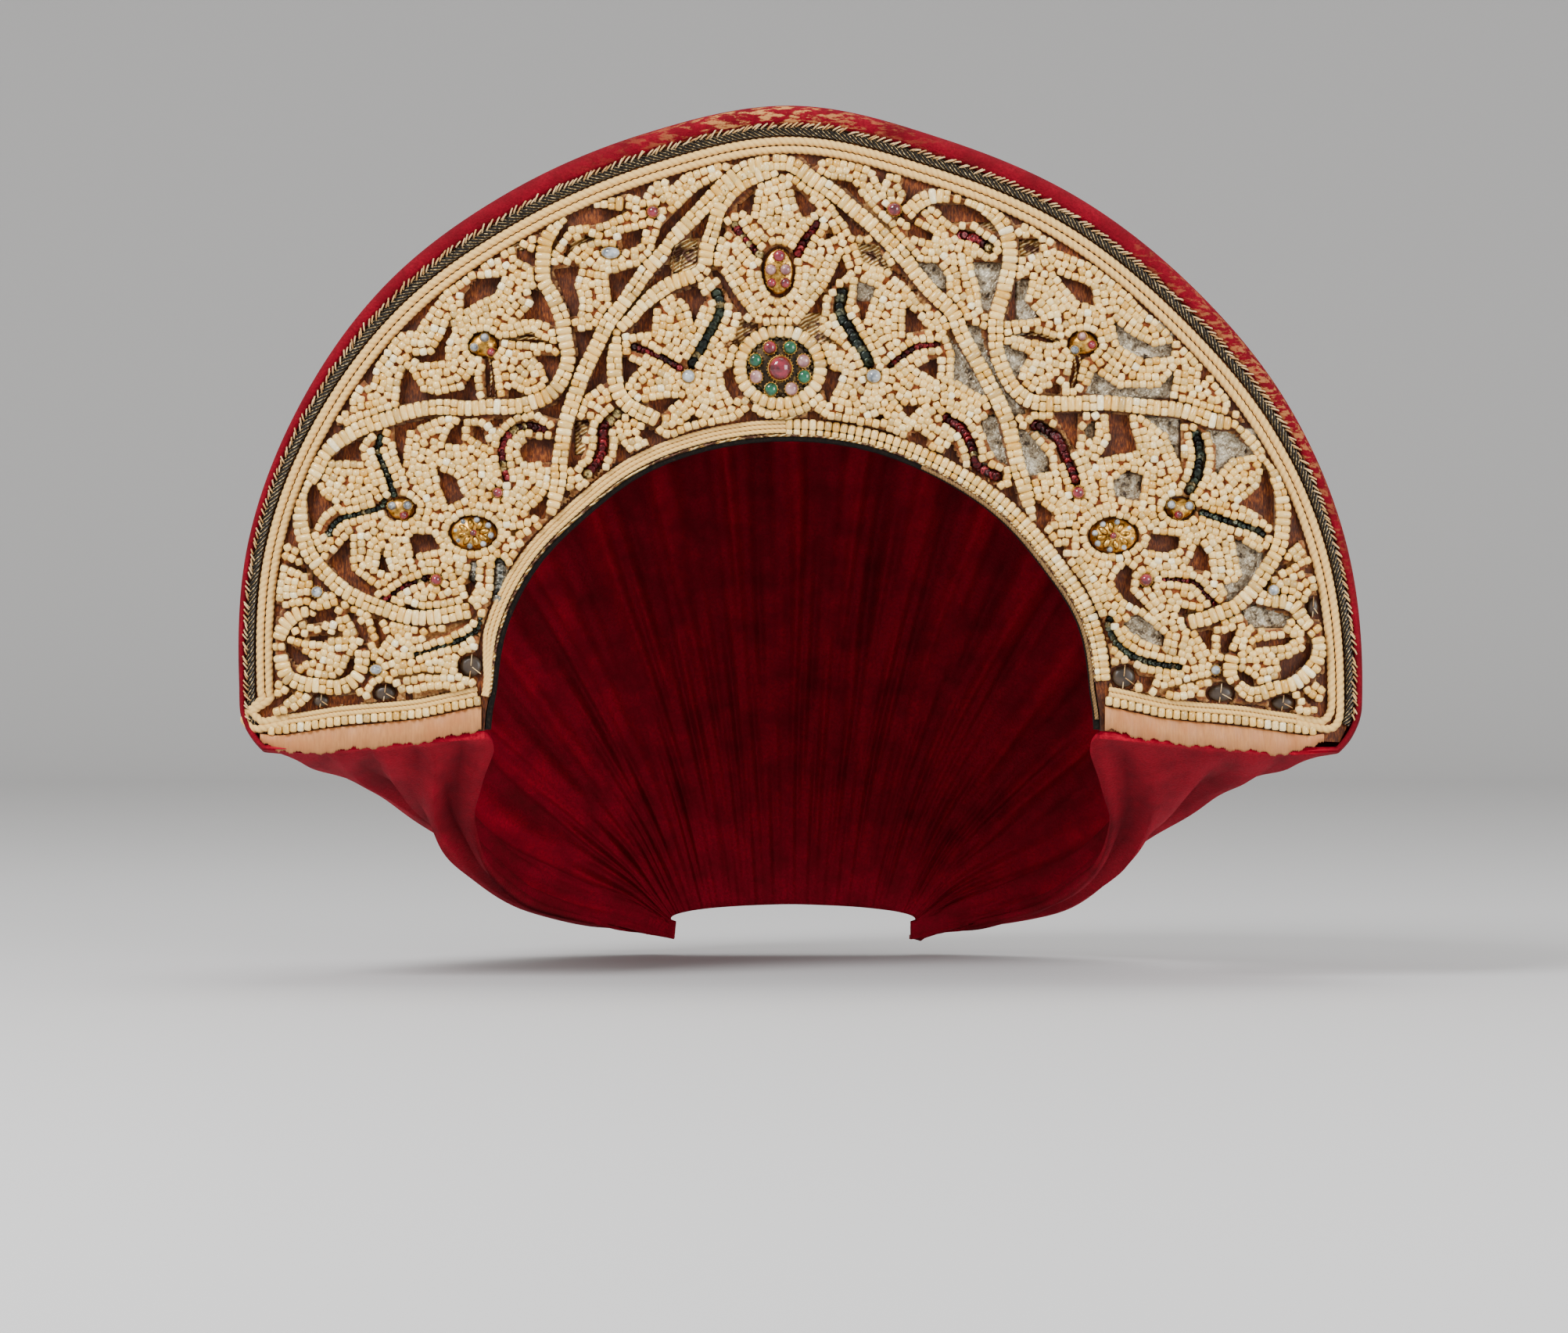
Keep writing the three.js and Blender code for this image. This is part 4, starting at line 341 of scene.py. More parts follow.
# Patches on the ground in percent: kind, left, right, low, high
PATCHES = [
    ("foil", 31, 37, 66, 75), ("foil", 21.6, 27, 70, 75), ("foil", 39, 43, 64, 72),
    ("foil", 36.6, 41, 54, 60.5),
    ("foil", 27, 34, 51, 62), ("foil", 30, 41, 48, 64), ("foil", 56, 67, 58, 65), ("foil", 51, 67, 51, 56),
    ("foil", 51, 53, 43, 47), ("foil", 56, 61.4, 33, 38), ("foil", 61, 68, 39, 48), ("foil", 72, 82, 37, 46),
    ("foil", 75.5, 83, 15, 26), ("foil", 79, 88, 10.5, 14.6), ("foil", 58, 65, 7, 13),
    ("foil", 33, 38, 39, 48),
    ("foil", 39, 45, 37, 45.5), ("foil", 11, 15, 68, 72), ("foil", -52.6, -49.6, 16, 22.5),
    ("foil", -57, -55, 19, 22),
    ("gold", -38, -35, 41, 47), ("gold", -39, -34, 76, 79.5), ("gold", -12, -5.7, 60, 65),
    ("gold", 1, 9, 60, 66),
    ("gold", -21, -16.3, 73, 79), ("gold", 11, 17, 73, 78.4), ("gold", -49.5, -47, 77, 79.5),
    ("gold", 39.6, 45.5, 76, 79),
    ("gold", 24, 36, 80, 82),
]

TREFOILS = [
    ("trefoil_upper_left", [("grey", -53.8, 61.7), ("grey", -55.6, 60), ("pink", -52.6, 59.1)]),
    ("trefoil_upper_right", [("white", 50.7, 61.9), ("pink", 52.4, 60.4), ("grey", 49.4, 59.5)]),
    ("trefoil_lower_left", [("grey", -70.1, 32.1), ("grey", -67.4, 32.2), ("pink", -68, 30.4)]),
    ("trefoil_lower_right", [("grey", 66.4, 32.3), ("grey", 69.6, 32.1), ("pink", 67.7, 30.5)]),
]
# Colour of the glass of each set stone
STONE_COLOURS = {
    "pink": [
        "medallion_stone_middle", "medallion_stone_1", "crest_stone_top", "crest_stone_lower_left",
        "crest_stone_lower_right", "stone_crest_left", "stone_arm_left", "stone_leaf_left",
        "stone_crest_right", "stone_arm_right", "stone_leaf_right",
    ],
    "green": [
        "medallion_stone_2", "medallion_stone_4", "medallion_stone_6", "medallion_stone_8",
    ],
    "white": [
        "medallion_stone_3", "medallion_stone_5", "medallion_stone_7", "crest_stone_upper_left",
        "crest_stone_upper_right",
    ],
    "grey": [
        "stone_oval_left", "stone_heart_left", "stone_side_left", "stone_foot_left", "stone_heart_right",
        "stone_side_right", "stone_foot_right",
    ],
}
BORDER_TOP = [[55.3, 0.3], [60, -0.7], [65, -1.8], [70, -2.4], [75, -2.8], [80, -3.3], [85, -4.1], [91.6, -5]]
RIBBON_TOP = [[54.6, -3.3], [60, -4.4], [65, -5.4], [70, -6], [75, -6.5], [80, -7], [85, -7.7], [90.5, -8.45]]
RIBBON_END = [[93.6, -8.2]]
# The rim cords turn round each lower corner onto the bottom border, in millimetres across and up
CORNER_CORDS = {
    "outer": [[144.6, -93.6], [143.4, -96.2], [141, -97], [137, -96.2], [133, -95.4]],
    "inner": [[142.2, -92.2], [141.3, -94], [139.6, -95], [137, -94.7], [133, -93.9]],
}
# Thin cords: middle line in percent, radius and height over the board in millimetres
DETAIL_CORDS = [
    ([[-6.4, 49.8], [-4.4, 48.2], [-1.6, 47.4], [1.4, 48], [3.2, 49.3]], 0.55, 2.6),
    ([[-7.2, 50.6], [-4.8, 48.9], [-1.6, 48.3], [1.8, 48.8], [4, 50.2]], 0.4, 2.9),
    ([[-51, 60.9], [-46.5, 61.6], [-42, 61.2]], 0.45, 1.6),
    ([[-51, 61.9], [-46.5, 62.5], [-42, 62]], 0.35, 1.6),
    ([[-52.9, 51.2], [-52.6, 54.6], [-52.9, 58]], 0.4, 1.6),
    ([[-52, 51.2], [-51.8, 54.6], [-52, 58]], 0.35, 1.6),
    ([[38, 61], [42.5, 62.2], [47, 60.9]], 0.45, 1.6), ([[38, 61.9], [42.5, 63], [47, 61.8]], 0.35, 1.6),
    ([[48.8, 52.6], [49.6, 55.6], [49.2, 58.5]], 0.4, 1.6),
    ([[50, 52.6], [50.6, 55.6], [50.2, 58.5]], 0.35, 1.6),
    ([[-21.2, 73.6], [-20.4, 77.6], [-17.4, 79]], 0.4, 1.1),
    ([[-19.8, 73.4], [-19, 76.6], [-16.4, 77.6]], 0.35, 1.1),
    ([[17, 73.6], [16, 77], [12.4, 78.4]], 0.4, 1.1), ([[15.6, 73.2], [14.8, 75.8], [11.6, 77]], 0.35, 1.1),
    ([[-93.6, 11.2], [-92.9, 12], [-92.2, 11.2], [-92.9, 10.4], [-93.6, 11.2]], 0.3, 1.0),
    ([[-93.7, 5], [-93, 5.8], [-92.3, 5], [-93, 4.2], [-93.7, 5]], 0.3, 1.0),
]


# Curves of the front, in millimetres

def along(places, values, at):
    """Catmull-Rom curve through values at places, read at any place."""
    places = np.asarray(places, float)
    values = np.asarray(values, float)
    at = np.clip(np.asarray(at, float), places[0], places[-1])
    i = np.clip(np.searchsorted(places, at, side="left") - 1, 0, len(places) - 2)
    f = (at - places[i]) / (places[i + 1] - places[i])
    if values.ndim > 1:
        f = f.reshape(f.shape + (1,) * (values.ndim - 1))
    before, a = values[np.maximum(i - 1, 0)], values[i]
    b, after = values[i + 1], values[np.minimum(i + 2, len(places) - 1)]
    return a + 0.5 * f * (
        b - before + f * (2 * before - 5 * a + 4 * b - after + f * (3 * (a - b) + after - before))
    )


def rim_point(t):
    """Outer edge at t from -100 to 100: a half ellipse whose reach changes with the angle."""
    t = np.asarray(t, float)
    angle = t / 100 * RIM_END_ANGLE
    tuck = 0.034 * np.maximum(0, (np.abs(t) - 95) / 5) ** 2
    reach = along(RIM_ANGLE, RIM_REACH, angle) - tuck
    turn = np.radians(angle)
    return np.stack([HALF_WIDTH * reach * np.sin(turn), SPRING_Z + RISE * reach * np.cos(turn)], -1)


def opening_point(t):
    """Edge of the face arch at t from -100 to 100, made as the outer edge is."""
    angle = np.asarray(t, float) / 100 * OPENING_END_ANGLE
    reach = along(OPENING_ANGLE, OPENING_REACH, angle)
    turn = np.radians(angle)
    return np.stack(
        [OPENING_HALF_WIDTH * reach * np.sin(turn), SPRING_Z + OPENING_RISE * reach * np.cos(turn)], -1
    )


def inset(edge, t, distance, side):
    """A point a distance off an edge: the edge point moved square to its direction."""
    t = np.asarray(t, float)
    run = edge(np.clip(t + 0.5, -100, 100)) - edge(np.clip(t - 0.5, -100, 100))
    run /= np.linalg.norm(run, axis=-1, keepdims=True)
    away = np.stack([run[..., 1], -run[..., 0]], -1)
    return edge(t) + side * np.asarray(distance, float)[..., None] * away


def rim_inset(t, distance):
    """A point a distance inside the outer edge."""
    return inset(rim_point, t, distance, 1)


def opening_inset(t, distance):
    """A point a distance outside the edge of the face arch."""
    return inset(opening_point, t, distance, -1)


def velvet_front(t):
    """Width of the velvet that is folded onto the face, at a place of the rim."""
    return along(VELVET_FRONT_ALONG, VELVET_FRONT_WIDTH, t)


def field_inset(t):
    """Distance from the outer edge to the beadwork: the velvet, the braid, two cords and their gaps."""
    return velvet_front(t) + BRAID_WIDTH + 2 * CORD_WIDTH + 6 * FIT_GAP


def bow(x):
    """How far the front bends back: a circle of large radius seen as x squared over twice the radius."""
    return x * x / (2 * BOW_RADIUS)


def place(points):
    """Percent of the half width to millimetres across and up."""
    points = np.asarray(points, float)
    return points / 100 * [HALF_WIDTH, RISE] + [0, SPRING_Z]


def on_front(xz, rise):
    """Points on the front at a height over the board: the plane of the front plus its bow."""
    xz = np.asarray(xz, float)
    return np.stack([xz[..., 0], FRONT_Y + bow(xz[..., 0]) - rise, xz[..., 1]], -1)


def lengths_along(line):
    """Length from the first point of a line to each of its points."""
    return np.concatenate([[0], np.cumsum(np.linalg.norm(np.diff(line, axis=0), axis=1))])


def smooth_line(points, step):
    """Catmull-Rom curve through points, cut again into equal steps along its length."""
    points = np.asarray(points, float)
    fine = along(np.arange(len(points)), points, np.linspace(0, len(points) - 1, 60 * len(points)))
    length = lengths_along(fine)
    at = np.linspace(0, length[-1], max(2, int(round(length[-1] / step)) + 1))
    return np.stack([np.interp(at, length, fine[:, k]) for k in range(fine.shape[1])], -1)


def directions(line):
    """Unit direction at each point of a line, from its neighbours."""
    run = np.gradient(line, axis=0)
    return run / np.maximum(np.linalg.norm(run, axis=1, keepdims=True), 1e-9)


# Meshes

# Axes of the front: across, up and out of the board
EAST, NORTH, FRONT = np.array([1.0, 0, 0]), np.array([0, 0, 1.0]), np.array([0, -1.0, 0])


def make_piece(name, corners, faces, finish, nodes=(), uv=None, tint=None, shares=None):
    """One object from corners in millimetres and arrays of quads and triangles; it rides on the frame."""
    mesh = bpy.data.meshes.new(name)
    corners = np.asarray(corners, np.float64) / 1000
    loops = np.concatenate([np.asarray(f, np.int32).ravel() for f in faces])
    sizes = np.concatenate([np.full(len(f), np.asarray(f).shape[1], np.int32) for f in faces])
    mesh.vertices.add(len(corners))
    mesh.vertices.foreach_set("co", np.ascontiguousarray(corners).ravel())
    mesh.loops.add(len(loops))
    mesh.loops.foreach_set("vertex_index", loops)
    mesh.polygons.add(len(sizes))
    mesh.polygons.foreach_set("loop_start", np.concatenate([[0], np.cumsum(sizes)[:-1]]).astype(np.int32))
    mesh.polygons.foreach_set("use_smooth", np.full(len(sizes), True))
    if uv is not None:
        layer = mesh.uv_layers.new(name="weave")
        layer.data.foreach_set("uv", np.asarray(uv, np.float32)[loops].ravel())
    if tint is not None:
        colours = mesh.color_attributes.new(name="tint", type="FLOAT_COLOR", domain="POINT")
        full = np.concatenate([tint, np.ones((len(tint), 1))], 1).astype(np.float32)
        colours.data.foreach_set("color", full.ravel())
    for key, values in (shares or {}).items():
        share = mesh.attributes.new(name=key, type="FLOAT", domain="POINT")
        share.data.foreach_set("value", values.astype(np.float32))
    mesh.update(calc_edges=True)
    mesh.validate()
    mesh.materials.append(finish)
    piece = bpy.data.objects.new(name, mesh)
    bpy.context.scene.collection.objects.link(piece)
    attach(piece, "root")
    if nodes:
        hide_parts(*nodes)
    return piece


def circle(count, start=0.0):
    """Points of the unit circle at equal steps of the turn."""
    turn = 2 * np.pi * np.arange(count) / count + start
    return np.stack([np.cos(turn), np.sin(turn)], 1)


def turned_rows(rows, sides):
    """Corners of rows of radius and height, each carried round z."""
    rows = np.asarray(rows, float)
    x, y = rows[:, :1] * circle(sides)[:, 0], rows[:, :1] * circle(sides)[:, 1]
    return np.stack([x, y, np.repeat(rows[:, 1:], sides, 1)], -1).reshape(-1, 3)


def tube_faces(rings, sides):
    """Quads between rings of corners, and a fan of triangles on each end to the two corners after them."""
    i, j = np.meshgrid(np.arange(rings - 1), np.arange(sides), indexing="ij")
    k = (j + 1) % sides
    quads = np.stack([i * sides + j, i * sides + k, (i + 1) * sides + k, (i + 1) * sides + j], -1)
    j = np.arange(sides)
    k = (j + 1) % sides
    end, low, high = (rings - 1) * sides, np.full(sides, rings * sides), np.full(sides, rings * sides + 1)
    tris = np.concatenate([np.stack([low, k, j], -1), np.stack([high, end + j, end + k], -1)])
    return quads.reshape(-1, 4), tris


def turned_shape(profile, sides):
    """Closed surface of revolution round z from rows of radius and height; first and last row are poles."""
    poles = [[0, 0, profile[0][1]], [0, 0, profile[-1][1]]]
    return np.concatenate([turned_rows(profile[1:-1], sides), poles]), *tube_faces(len(profile) - 2, sides)


def ring_shape(profile, sides):
    """Closed ring: a loop of radius and height rows carried once round z."""
    i, j = np.meshgrid(np.arange(len(profile)), np.arange(sides), indexing="ij")
    k = (j + 1) % sides
    n = (i + 1) % len(profile)
    quads = np.stack([i * sides + j, i * sides + k, n * sides + k, n * sides + j], -1).reshape(-1, 4)
    return turned_rows(profile, sides), quads, np.zeros((0, 3), int)


def copies(faces, count, corners):
    """Faces of a number of copies, each with so many corners."""
    return (faces[None] + (np.arange(count) * corners)[:, None, None]).reshape(-1, faces.shape[1])


def stamp(shape, centres, right, up, out, tints=None):
    """Copies of one shape: every corner is the centre plus the three axes scaled by the corner's place."""
    corners, quads, tris = shape
    placed = centres[:, None, :] + np.einsum("vk,nkc->nvc", corners, np.stack([right, up, out], 1))
    tint = None if tints is None else np.repeat(tints, len(corners), 0)
    count, size = len(centres), len(corners)
    return placed.reshape(-1, 3), copies(quads, count, size), copies(tris, count, size), tint


def seat(shape, xz, rise, across, up, out):
    """Copies of a shape on the front at one height over the board, sized across, up and outward."""
    xz = np.atleast_2d(xz)
    each = np.ones((len(xz), 1))
    return stamp(shape, on_front(xz, rise), EAST * across * each, NORTH * up * each, FRONT * out * each)


def join(*parts):
    """Several groups of corners, quads, triangles and tints as one; no tints where the groups have none."""
    start = np.cumsum([0] + [len(part[0]) for part in parts])
    corners = np.concatenate([part[0] for part in parts])
    quads = np.concatenate([part[1] + first for part, first in zip(parts, start)])
    tris = np.concatenate([part[2] + first for part, first in zip(parts, start)])
    return corners, quads, tris, None if parts[0][3] is None else np.concatenate([part[3] for part in parts])


def swept(line, side, out, profile):
    """A closed tube: corner = line + profile across * side + profile out * out, with a fan at both ends."""
    corners = line[:, None] + profile[..., :1] * side[:, None] + profile[..., 1:] * out[:, None]
    quads, tris = tube_faces(len(line), profile.shape[-2])
    ends = [corners[0].mean(0), corners[-1].mean(0)]
    return np.concatenate([corners.reshape(-1, 3), ends]), quads, tris


def closed_sheet(rows, columns, turned=False):
    """Faces of a grid of corners, of the same grid behind it and of the wall round both, all turned if
    asked."""
    number = np.arange(rows * columns).reshape(rows, columns)
    a, b, c, d = number[:-1, :-1], number[1:, :-1], number[1:, 1:], number[:-1, 1:]
    face = np.stack([a, b, c, d], -1).reshape(-1, 4)
    loop = np.concatenate([number[0, :-1], number[:-1, -1], number[-1, :0:-1], number[:0:-1, 0]])
    after = np.roll(loop, -1)
    behind = rows * columns
    wall = np.stack([loop, after, after + behind, loop + behind], -1)
    faces = np.concatenate([face, face[:, ::-1] + behind, wall])
    return faces[:, ::-1] if turned else faces


def frames_on_front(line):
    """Side and outward axis of each point of a line lying on the front."""
    out = np.tile([0.0, -1.0, 0.0], (len(line), 1))
    out[:, 0] = line[:, 0] / BOW_RADIUS
    out /= np.linalg.norm(out, axis=1, keepdims=True)
    side = np.cross(out, directions(line))
    side /= np.linalg.norm(side, axis=1, keepdims=True)
    return side, out


def twisted_cord(line, radius, lay, sides, phase=0.0):
    """A cord of two strands: a profile with a lobe for each, whose lobes turn once for every lay length."""
    side, out = frames_on_front(line)
    turn = 2 * np.pi * np.arange(sides) / sides
    twist = 2 * np.pi * lengths_along(line)[:, None] / lay + phase
    lobe = np.abs(np.sin(turn[None] - twist))
    reach = radius * (0.78 + 0.22 * lobe)
    profile = np.stack([reach * np.cos(turn), reach * np.sin(turn)], -1)
    # Painted shade: the tint darkens the grooves between the strands, where the lobes are low.
    shade = np.concatenate([(0.25 + 0.75 * np.sqrt(lobe)).ravel(), [1, 1]])
    return *swept(line, side, out, profile), np.repeat(shade[:, None], 3, 1)


# Finishes

COORDINATES, UV_MAP, ATTRIBUTE = "ShaderNodeTexCoord", "ShaderNodeUVMap", "ShaderNodeAttribute"
MAPPING, NOISE = "ShaderNodeMapping", "ShaderNodeTexNoise"
WAVE, CELLS = "ShaderNodeTexWave", "ShaderNodeTexVoronoi"
RAMP, MIX, MATH, BUMP = "ShaderNodeValToRGB", "ShaderNodeMix", "ShaderNodeMath", "ShaderNodeBump"
# A Mix node for colours has its factor at socket 0 and its colours at 6 and 7
COLOURS = {"data_type": "RGBA", "out": 2}
TIMES = {"data_type": "RGBA", "out": 2, "blend_type": "MULTIPLY"}
TINT = {"attribute_name": "tint", "attribute_type": "GEOMETRY"}


def linear(colour, share=1.0):
    """An sRGB hex colour such as #A01028, or three sRGB shares, as linear red, green, blue and alpha."""
    if isinstance(colour, str):
        colour = [int(colour[i:i + 2], 16) / 255 for i in (1, 3, 5)]
    parts = [c / 12.92 if c <= 0.04045 else ((c + 0.055) / 1.055) ** 2.4 for c in colour]
    return (*(share * part for part in parts), 1.0)


def add_node(tree, kind, inputs=None, stops=(), out=0, **settings):
    """A node with its settings. Each input is a value or the socket to link to it. The stops are the places
    and hex colours of a colour ramp. Gives back the output that is asked for by name or number."""
    node = tree.nodes.new(kind)
    for key, value in settings.items():
        setattr(node, key, value)
    for key, value in (inputs or {}).items():
        if isinstance(value, bpy.types.NodeSocket):
            tree.links.new(value, node.inputs[key])
        else:
            node.inputs[key].default_value = value
    for number, (at, colour) in enumerate(stops):
        if number >= len(node.color_ramp.elements):
            node.color_ramp.elements.new(at)
        node.color_ramp.elements[number].position = at
        node.color_ramp.elements[number].color = linear(colour)
    return node.outputs[out] if node.outputs else node


def new_finish(name, **values):
    """An empty material with one Principled shader and the values of its sockets."""
    finish = bpy.data.materials.new(name)
    finish.use_nodes = True
    tree = finish.node_tree
    tree.nodes.clear()
    surface = add_node(tree, "ShaderNodeBsdfPrincipled", {k.replace("_", " "): v for k, v in values.items()})
    add_node(tree, "ShaderNodeOutputMaterial", {"Surface": surface})
    return finish, tree, surface.node


def dress(tree, shader, colour, height=None, depth=0.0003, strength=0.6):
    """Links the colour of a finish, and a pattern's height as relief with its real depth in metres."""
    tree.links.new(colour, shader.inputs["Base Color"])
    if height is not None:
        relief = add_node(tree, BUMP, {"Height": height, "Strength": strength, "Distance": depth})
        tree.links.new(relief, shader.inputs["Normal"])


def milky_glass():
    """Opal glass seed beads, drawn and tumbled: cloudy cream with a soft shine; the tint gives each bead its
    own tone."""
    finish, tree, shader = new_finish(
        "opal glass", Roughness=0.26, IOR=1.5, Subsurface_Weight=0.22, Subsurface_Scale=0.0012,
        Coat_Weight=0.5, Coat_Roughness=0.08,
    )
    shader.inputs["Subsurface Radius"].default_value = (1.0, 0.8, 0.5)
    place_of = add_node(tree, COORDINATES, out="Object")
    tone = add_node(tree, ATTRIBUTE, **TINT)
    clouds = add_node(tree, NOISE, {"Vector": place_of, "Scale": 900, "Detail": 2, "Roughness": 0.55})
    milk = add_node(tree, RAMP, {0: clouds}, [(0.3, "#EBDCB2"), (0.7, "#FFFCEE")])
    cloudy = add_node(tree, MIX, {0: 1.0, 6: tone, 7: milk}, **TIMES)
    colour = add_node(tree, MIX, {0: 0.75, 6: tone, 7: cloudy}, **COLOURS)
    grain = add_node(tree, NOISE, {"Vector": place_of, "Scale": 1500, "Detail": 2, "Roughness": 0.55})
    dress(tree, shader, colour, grain, 0.00012, 0.5)
    return finish


def cotton_thread():
    """Spun cotton thread wound over padding: fine parallel fibres, matt, straw coloured, times the tint's
    painted shade between the beads and along the stems.
    """
    finish, tree, shader = new_finish("cotton thread", Roughness=0.85, Sheen_Weight=0.05)
    place_of = add_node(tree, COORDINATES, out="Object")
    drawn_out = add_node(tree, MAPPING, {"Vector": place_of, "Scale": (1, 0.25, 1)})
    strands = add_node(tree, NOISE, {"Vector": drawn_out, "Scale": 1100, "Detail": 3, "Roughness": 0.55})
    fibres = add_node(tree, RAMP, {0: strands}, [(0.28, "#6A4622"), (0.5, "#B0885A"), (0.72, "#E6CCA4")])
    # The tint paints shade between the beads and along the stems.
    colour = add_node(tree, MIX, {0: 1.0, 6: add_node(tree, ATTRIBUTE, **TINT), 7: fibres}, **TIMES)
    dress(tree, shader, colour, strands, 0.0004)
    return finish


def copper_silk():
    """Old copper-brown silk, plain woven: fine warp lines every 0.5 mm, a soft gloss, and painted shade of
    folds: large patches darkened toward brown black."""
    finish, tree, shader = new_finish("copper silk", Roughness=0.6, Specular_IOR_Level=0.25)
    place_of = add_node(tree, COORDINATES, out="Object")
    upright = add_node(tree, MAPPING, {"Vector": place_of, "Scale": (1, 1, 0.3)})
    lines = add_node(tree, NOISE, {"Vector": upright, "Scale": 2300, "Detail": 2, "Roughness": 0.55})
    # Painted shade of folds: where this large noise is low, the weave is darkened toward brown black.
    fold_shade_noise = add_node(tree, NOISE, {"Vector": place_of, "Scale": 130, "Detail": 3, "Roughness": 0.55})
    weave = add_node(tree, RAMP, {0: lines}, [(0.3, "#3A1808"), (0.5, "#6A300F"), (0.72, "#A25A22")])
    worn = add_node(tree, RAMP, {0: fold_shade_noise}, [(0.4, "#000000"), (0.62, "#FFFFFF")])
    dark = add_node(tree, MIX, {0: 0.7, 6: weave, 7: linear("#2A1006")}, **COLOURS)
    dress(tree, shader, add_node(tree, MIX, {0: worn, 6: dark, 7: weave}, **COLOURS), lines, 0.0003, 0.5)
    return finish


def worn_foil():
    """Beaten silver foil on paper, crumpled and tarnished to black in specks, with a straw backing at its
    edges."""
    finish, tree, shader = new_finish("worn silver foil", Metallic=0.55, Roughness=0.42)
    place_of = add_node(tree, COORDINATES, out="Object")
    crumple = add_node(
        tree, CELLS, {"Vector": place_of, "Scale": 900.0}, out="Distance", feature="DISTANCE_TO_EDGE"
    )
    specks = add_node(tree, NOISE, {"Vector": place_of, "Scale": 420, "Detail": 4, "Roughness": 0.7})
    stops = [(0.36, "#33261A"), (0.44, "#7D6E56"), (0.55, "#A89E88"), (0.7, "#D4CCB8")]
    dress(tree, shader, add_node(tree, RAMP, {0: specks}, stops), crumple, 0.0006, 0.7)
    return finish


def gold_couching():
    """Gold thread couched side by side, worn: lines 0.5 mm apart in old gold over brown silk."""
    finish, tree, shader = new_finish("couched gold thread", Metallic=0.5, Roughness=0.4)
    place_of = add_node(tree, COORDINATES, out="Object")
    turned = add_node(tree, MAPPING, {"Vector": place_of, "Rotation": (0, 0.5, 0)})
    lines = add_node(
        tree, WAVE, {
            "Vector": turned, "Scale": 320.0, "Distortion": 3.0, "Detail": 2.0
        }, out="Fac", bands_direction="Z",
    )
    worn = add_node(tree, NOISE, {"Vector": place_of, "Scale": 420, "Detail": 3, "Roughness": 0.55})
    bare = add_node(tree, RAMP, {0: worn}, [(0.42, "#000000"), (0.58, "#FFFFFF")])
    gold = add_node(tree, RAMP, {0: lines}, [(0.1, "#8A6228"), (0.6, "#C29A52"), (0.9, "#E5CD90")])
    dress(
        tree, shader, add_node(tree, MIX, {0: bare, 6: linear("#43230F"), 7: gold}, **COLOURS), lines,
        0.0004
    )
    return finish


def crimson_velvet(settings):
    """Silk velvet, woven in loops and cut: deep crimson with painted sheen and shade in large patches of the
    pile, painted shade of the gathers from the tint, bald and straw where worn."""
    finish, tree, shader = new_finish(
        "crimson velvet", Roughness=0.85, Sheen_Weight=0.1, Sheen_Roughness=0.35, Specular_IOR_Level=0.12,
    )
    shader.inputs["Sheen Tint"].default_value = linear("#D01838")
    place_of = add_node(tree, COORDINATES, out="Object")
    pile = add_node(tree, NOISE, {"Vector": place_of, "Scale": 1400, "Detail": 3, "Roughness": 0.6})
    nap = add_node(tree, MAPPING, {"Vector": place_of, "Scale": (1, 0.35, 1)})
    # Painted sheen and shade: large patches of the pile made lighter or darker.
    lean = add_node(tree, NOISE, {"Vector": nap, "Scale": 110, "Detail": 4, "Roughness": 0.6})
    lit = add_node(tree, RAMP, {0: lean}, [(0.3, "#000000"), (0.6, "#FFFFFF")])
    deep, base = linear(settings.velvet_colour, 0.45), linear(settings.velvet_colour)
    painted_sheen_and_shade = add_node(tree, MIX, {0: lit, 6: deep, 7: base}, **COLOURS)
    tufts = add_node(tree, RAMP, {0: pile}, [(0.35, "#9A9A9A"), (0.65, "#FFFFFF")])
    tufted = add_node(tree, MIX, {0: tufts, 6: linear(settings.velvet_colour, 0.5), 7: painted_sheen_and_shade}, **COLOURS)
    # The tint paints shade: darker in the gathers, toward the back and over the rim.
    shaded = add_node(tree, MIX, {0: 1.0, 6: tufted, 7: add_node(tree, ATTRIBUTE, **TINT)}, **TIMES)
    bald = add_node(tree, ATTRIBUTE, out="Fac", attribute_name="bald", attribute_type="GEOMETRY")
    wefts = add_node(tree, MAPPING, {"Vector": place_of, "Scale": (0.3, 1, 1)})
    frayed = add_node(tree, NOISE, {"Vector": wefts, "Scale": 760, "Detail": 4, "Roughness": 0.65})
    streaks = add_node(tree, RAMP, {0: frayed}, [(0.5, "#000000"), (0.58, "#FFFFFF")])
    worn = add_node(tree, MATH, {0: bald, 1: streaks}, operation="MULTIPLY")
    dress(
        tree, shader, add_node(tree, MIX, {0: worn, 6: shaded, 7: linear("#B9824C")}, **COLOURS), pile,
        0.0005, 0.8
    )
    return finish


def twisted_cotton(settings):
    """Plied cotton cord: cream on the strands, and painted shade of straw brown in the grooves that the tint
    marks.
    """
    finish, tree, shader = new_finish("plied cotton cord", Roughness=0.8, Sheen_Weight=0.05)
    place_of = add_node(tree, COORDINATES, out="Object")
    fibre = add_node(tree, NOISE, {"Vector": place_of, "Scale": 2200, "Detail": 2, "Roughness": 0.55})
    # Painted shade: darker straw browns for the grooves between the strands, chosen by the tint.
    groove = add_node(tree, MIX, {0: fibre, 6: linear("#A87838"), 7: linear("#C89A5A")}, **COLOURS)
    strand = add_node(tree, MIX, {0: fibre, 6: linear(settings.cord_colour), 7: linear("#E2C07A")}, **COLOURS)
    colour = add_node(tree, MIX, {0: add_node(tree, ATTRIBUTE, **TINT), 6: groove, 7: strand}, **COLOURS)
    dress(tree, shader, colour, fibre, 0.0002, 0.5)
    return finish


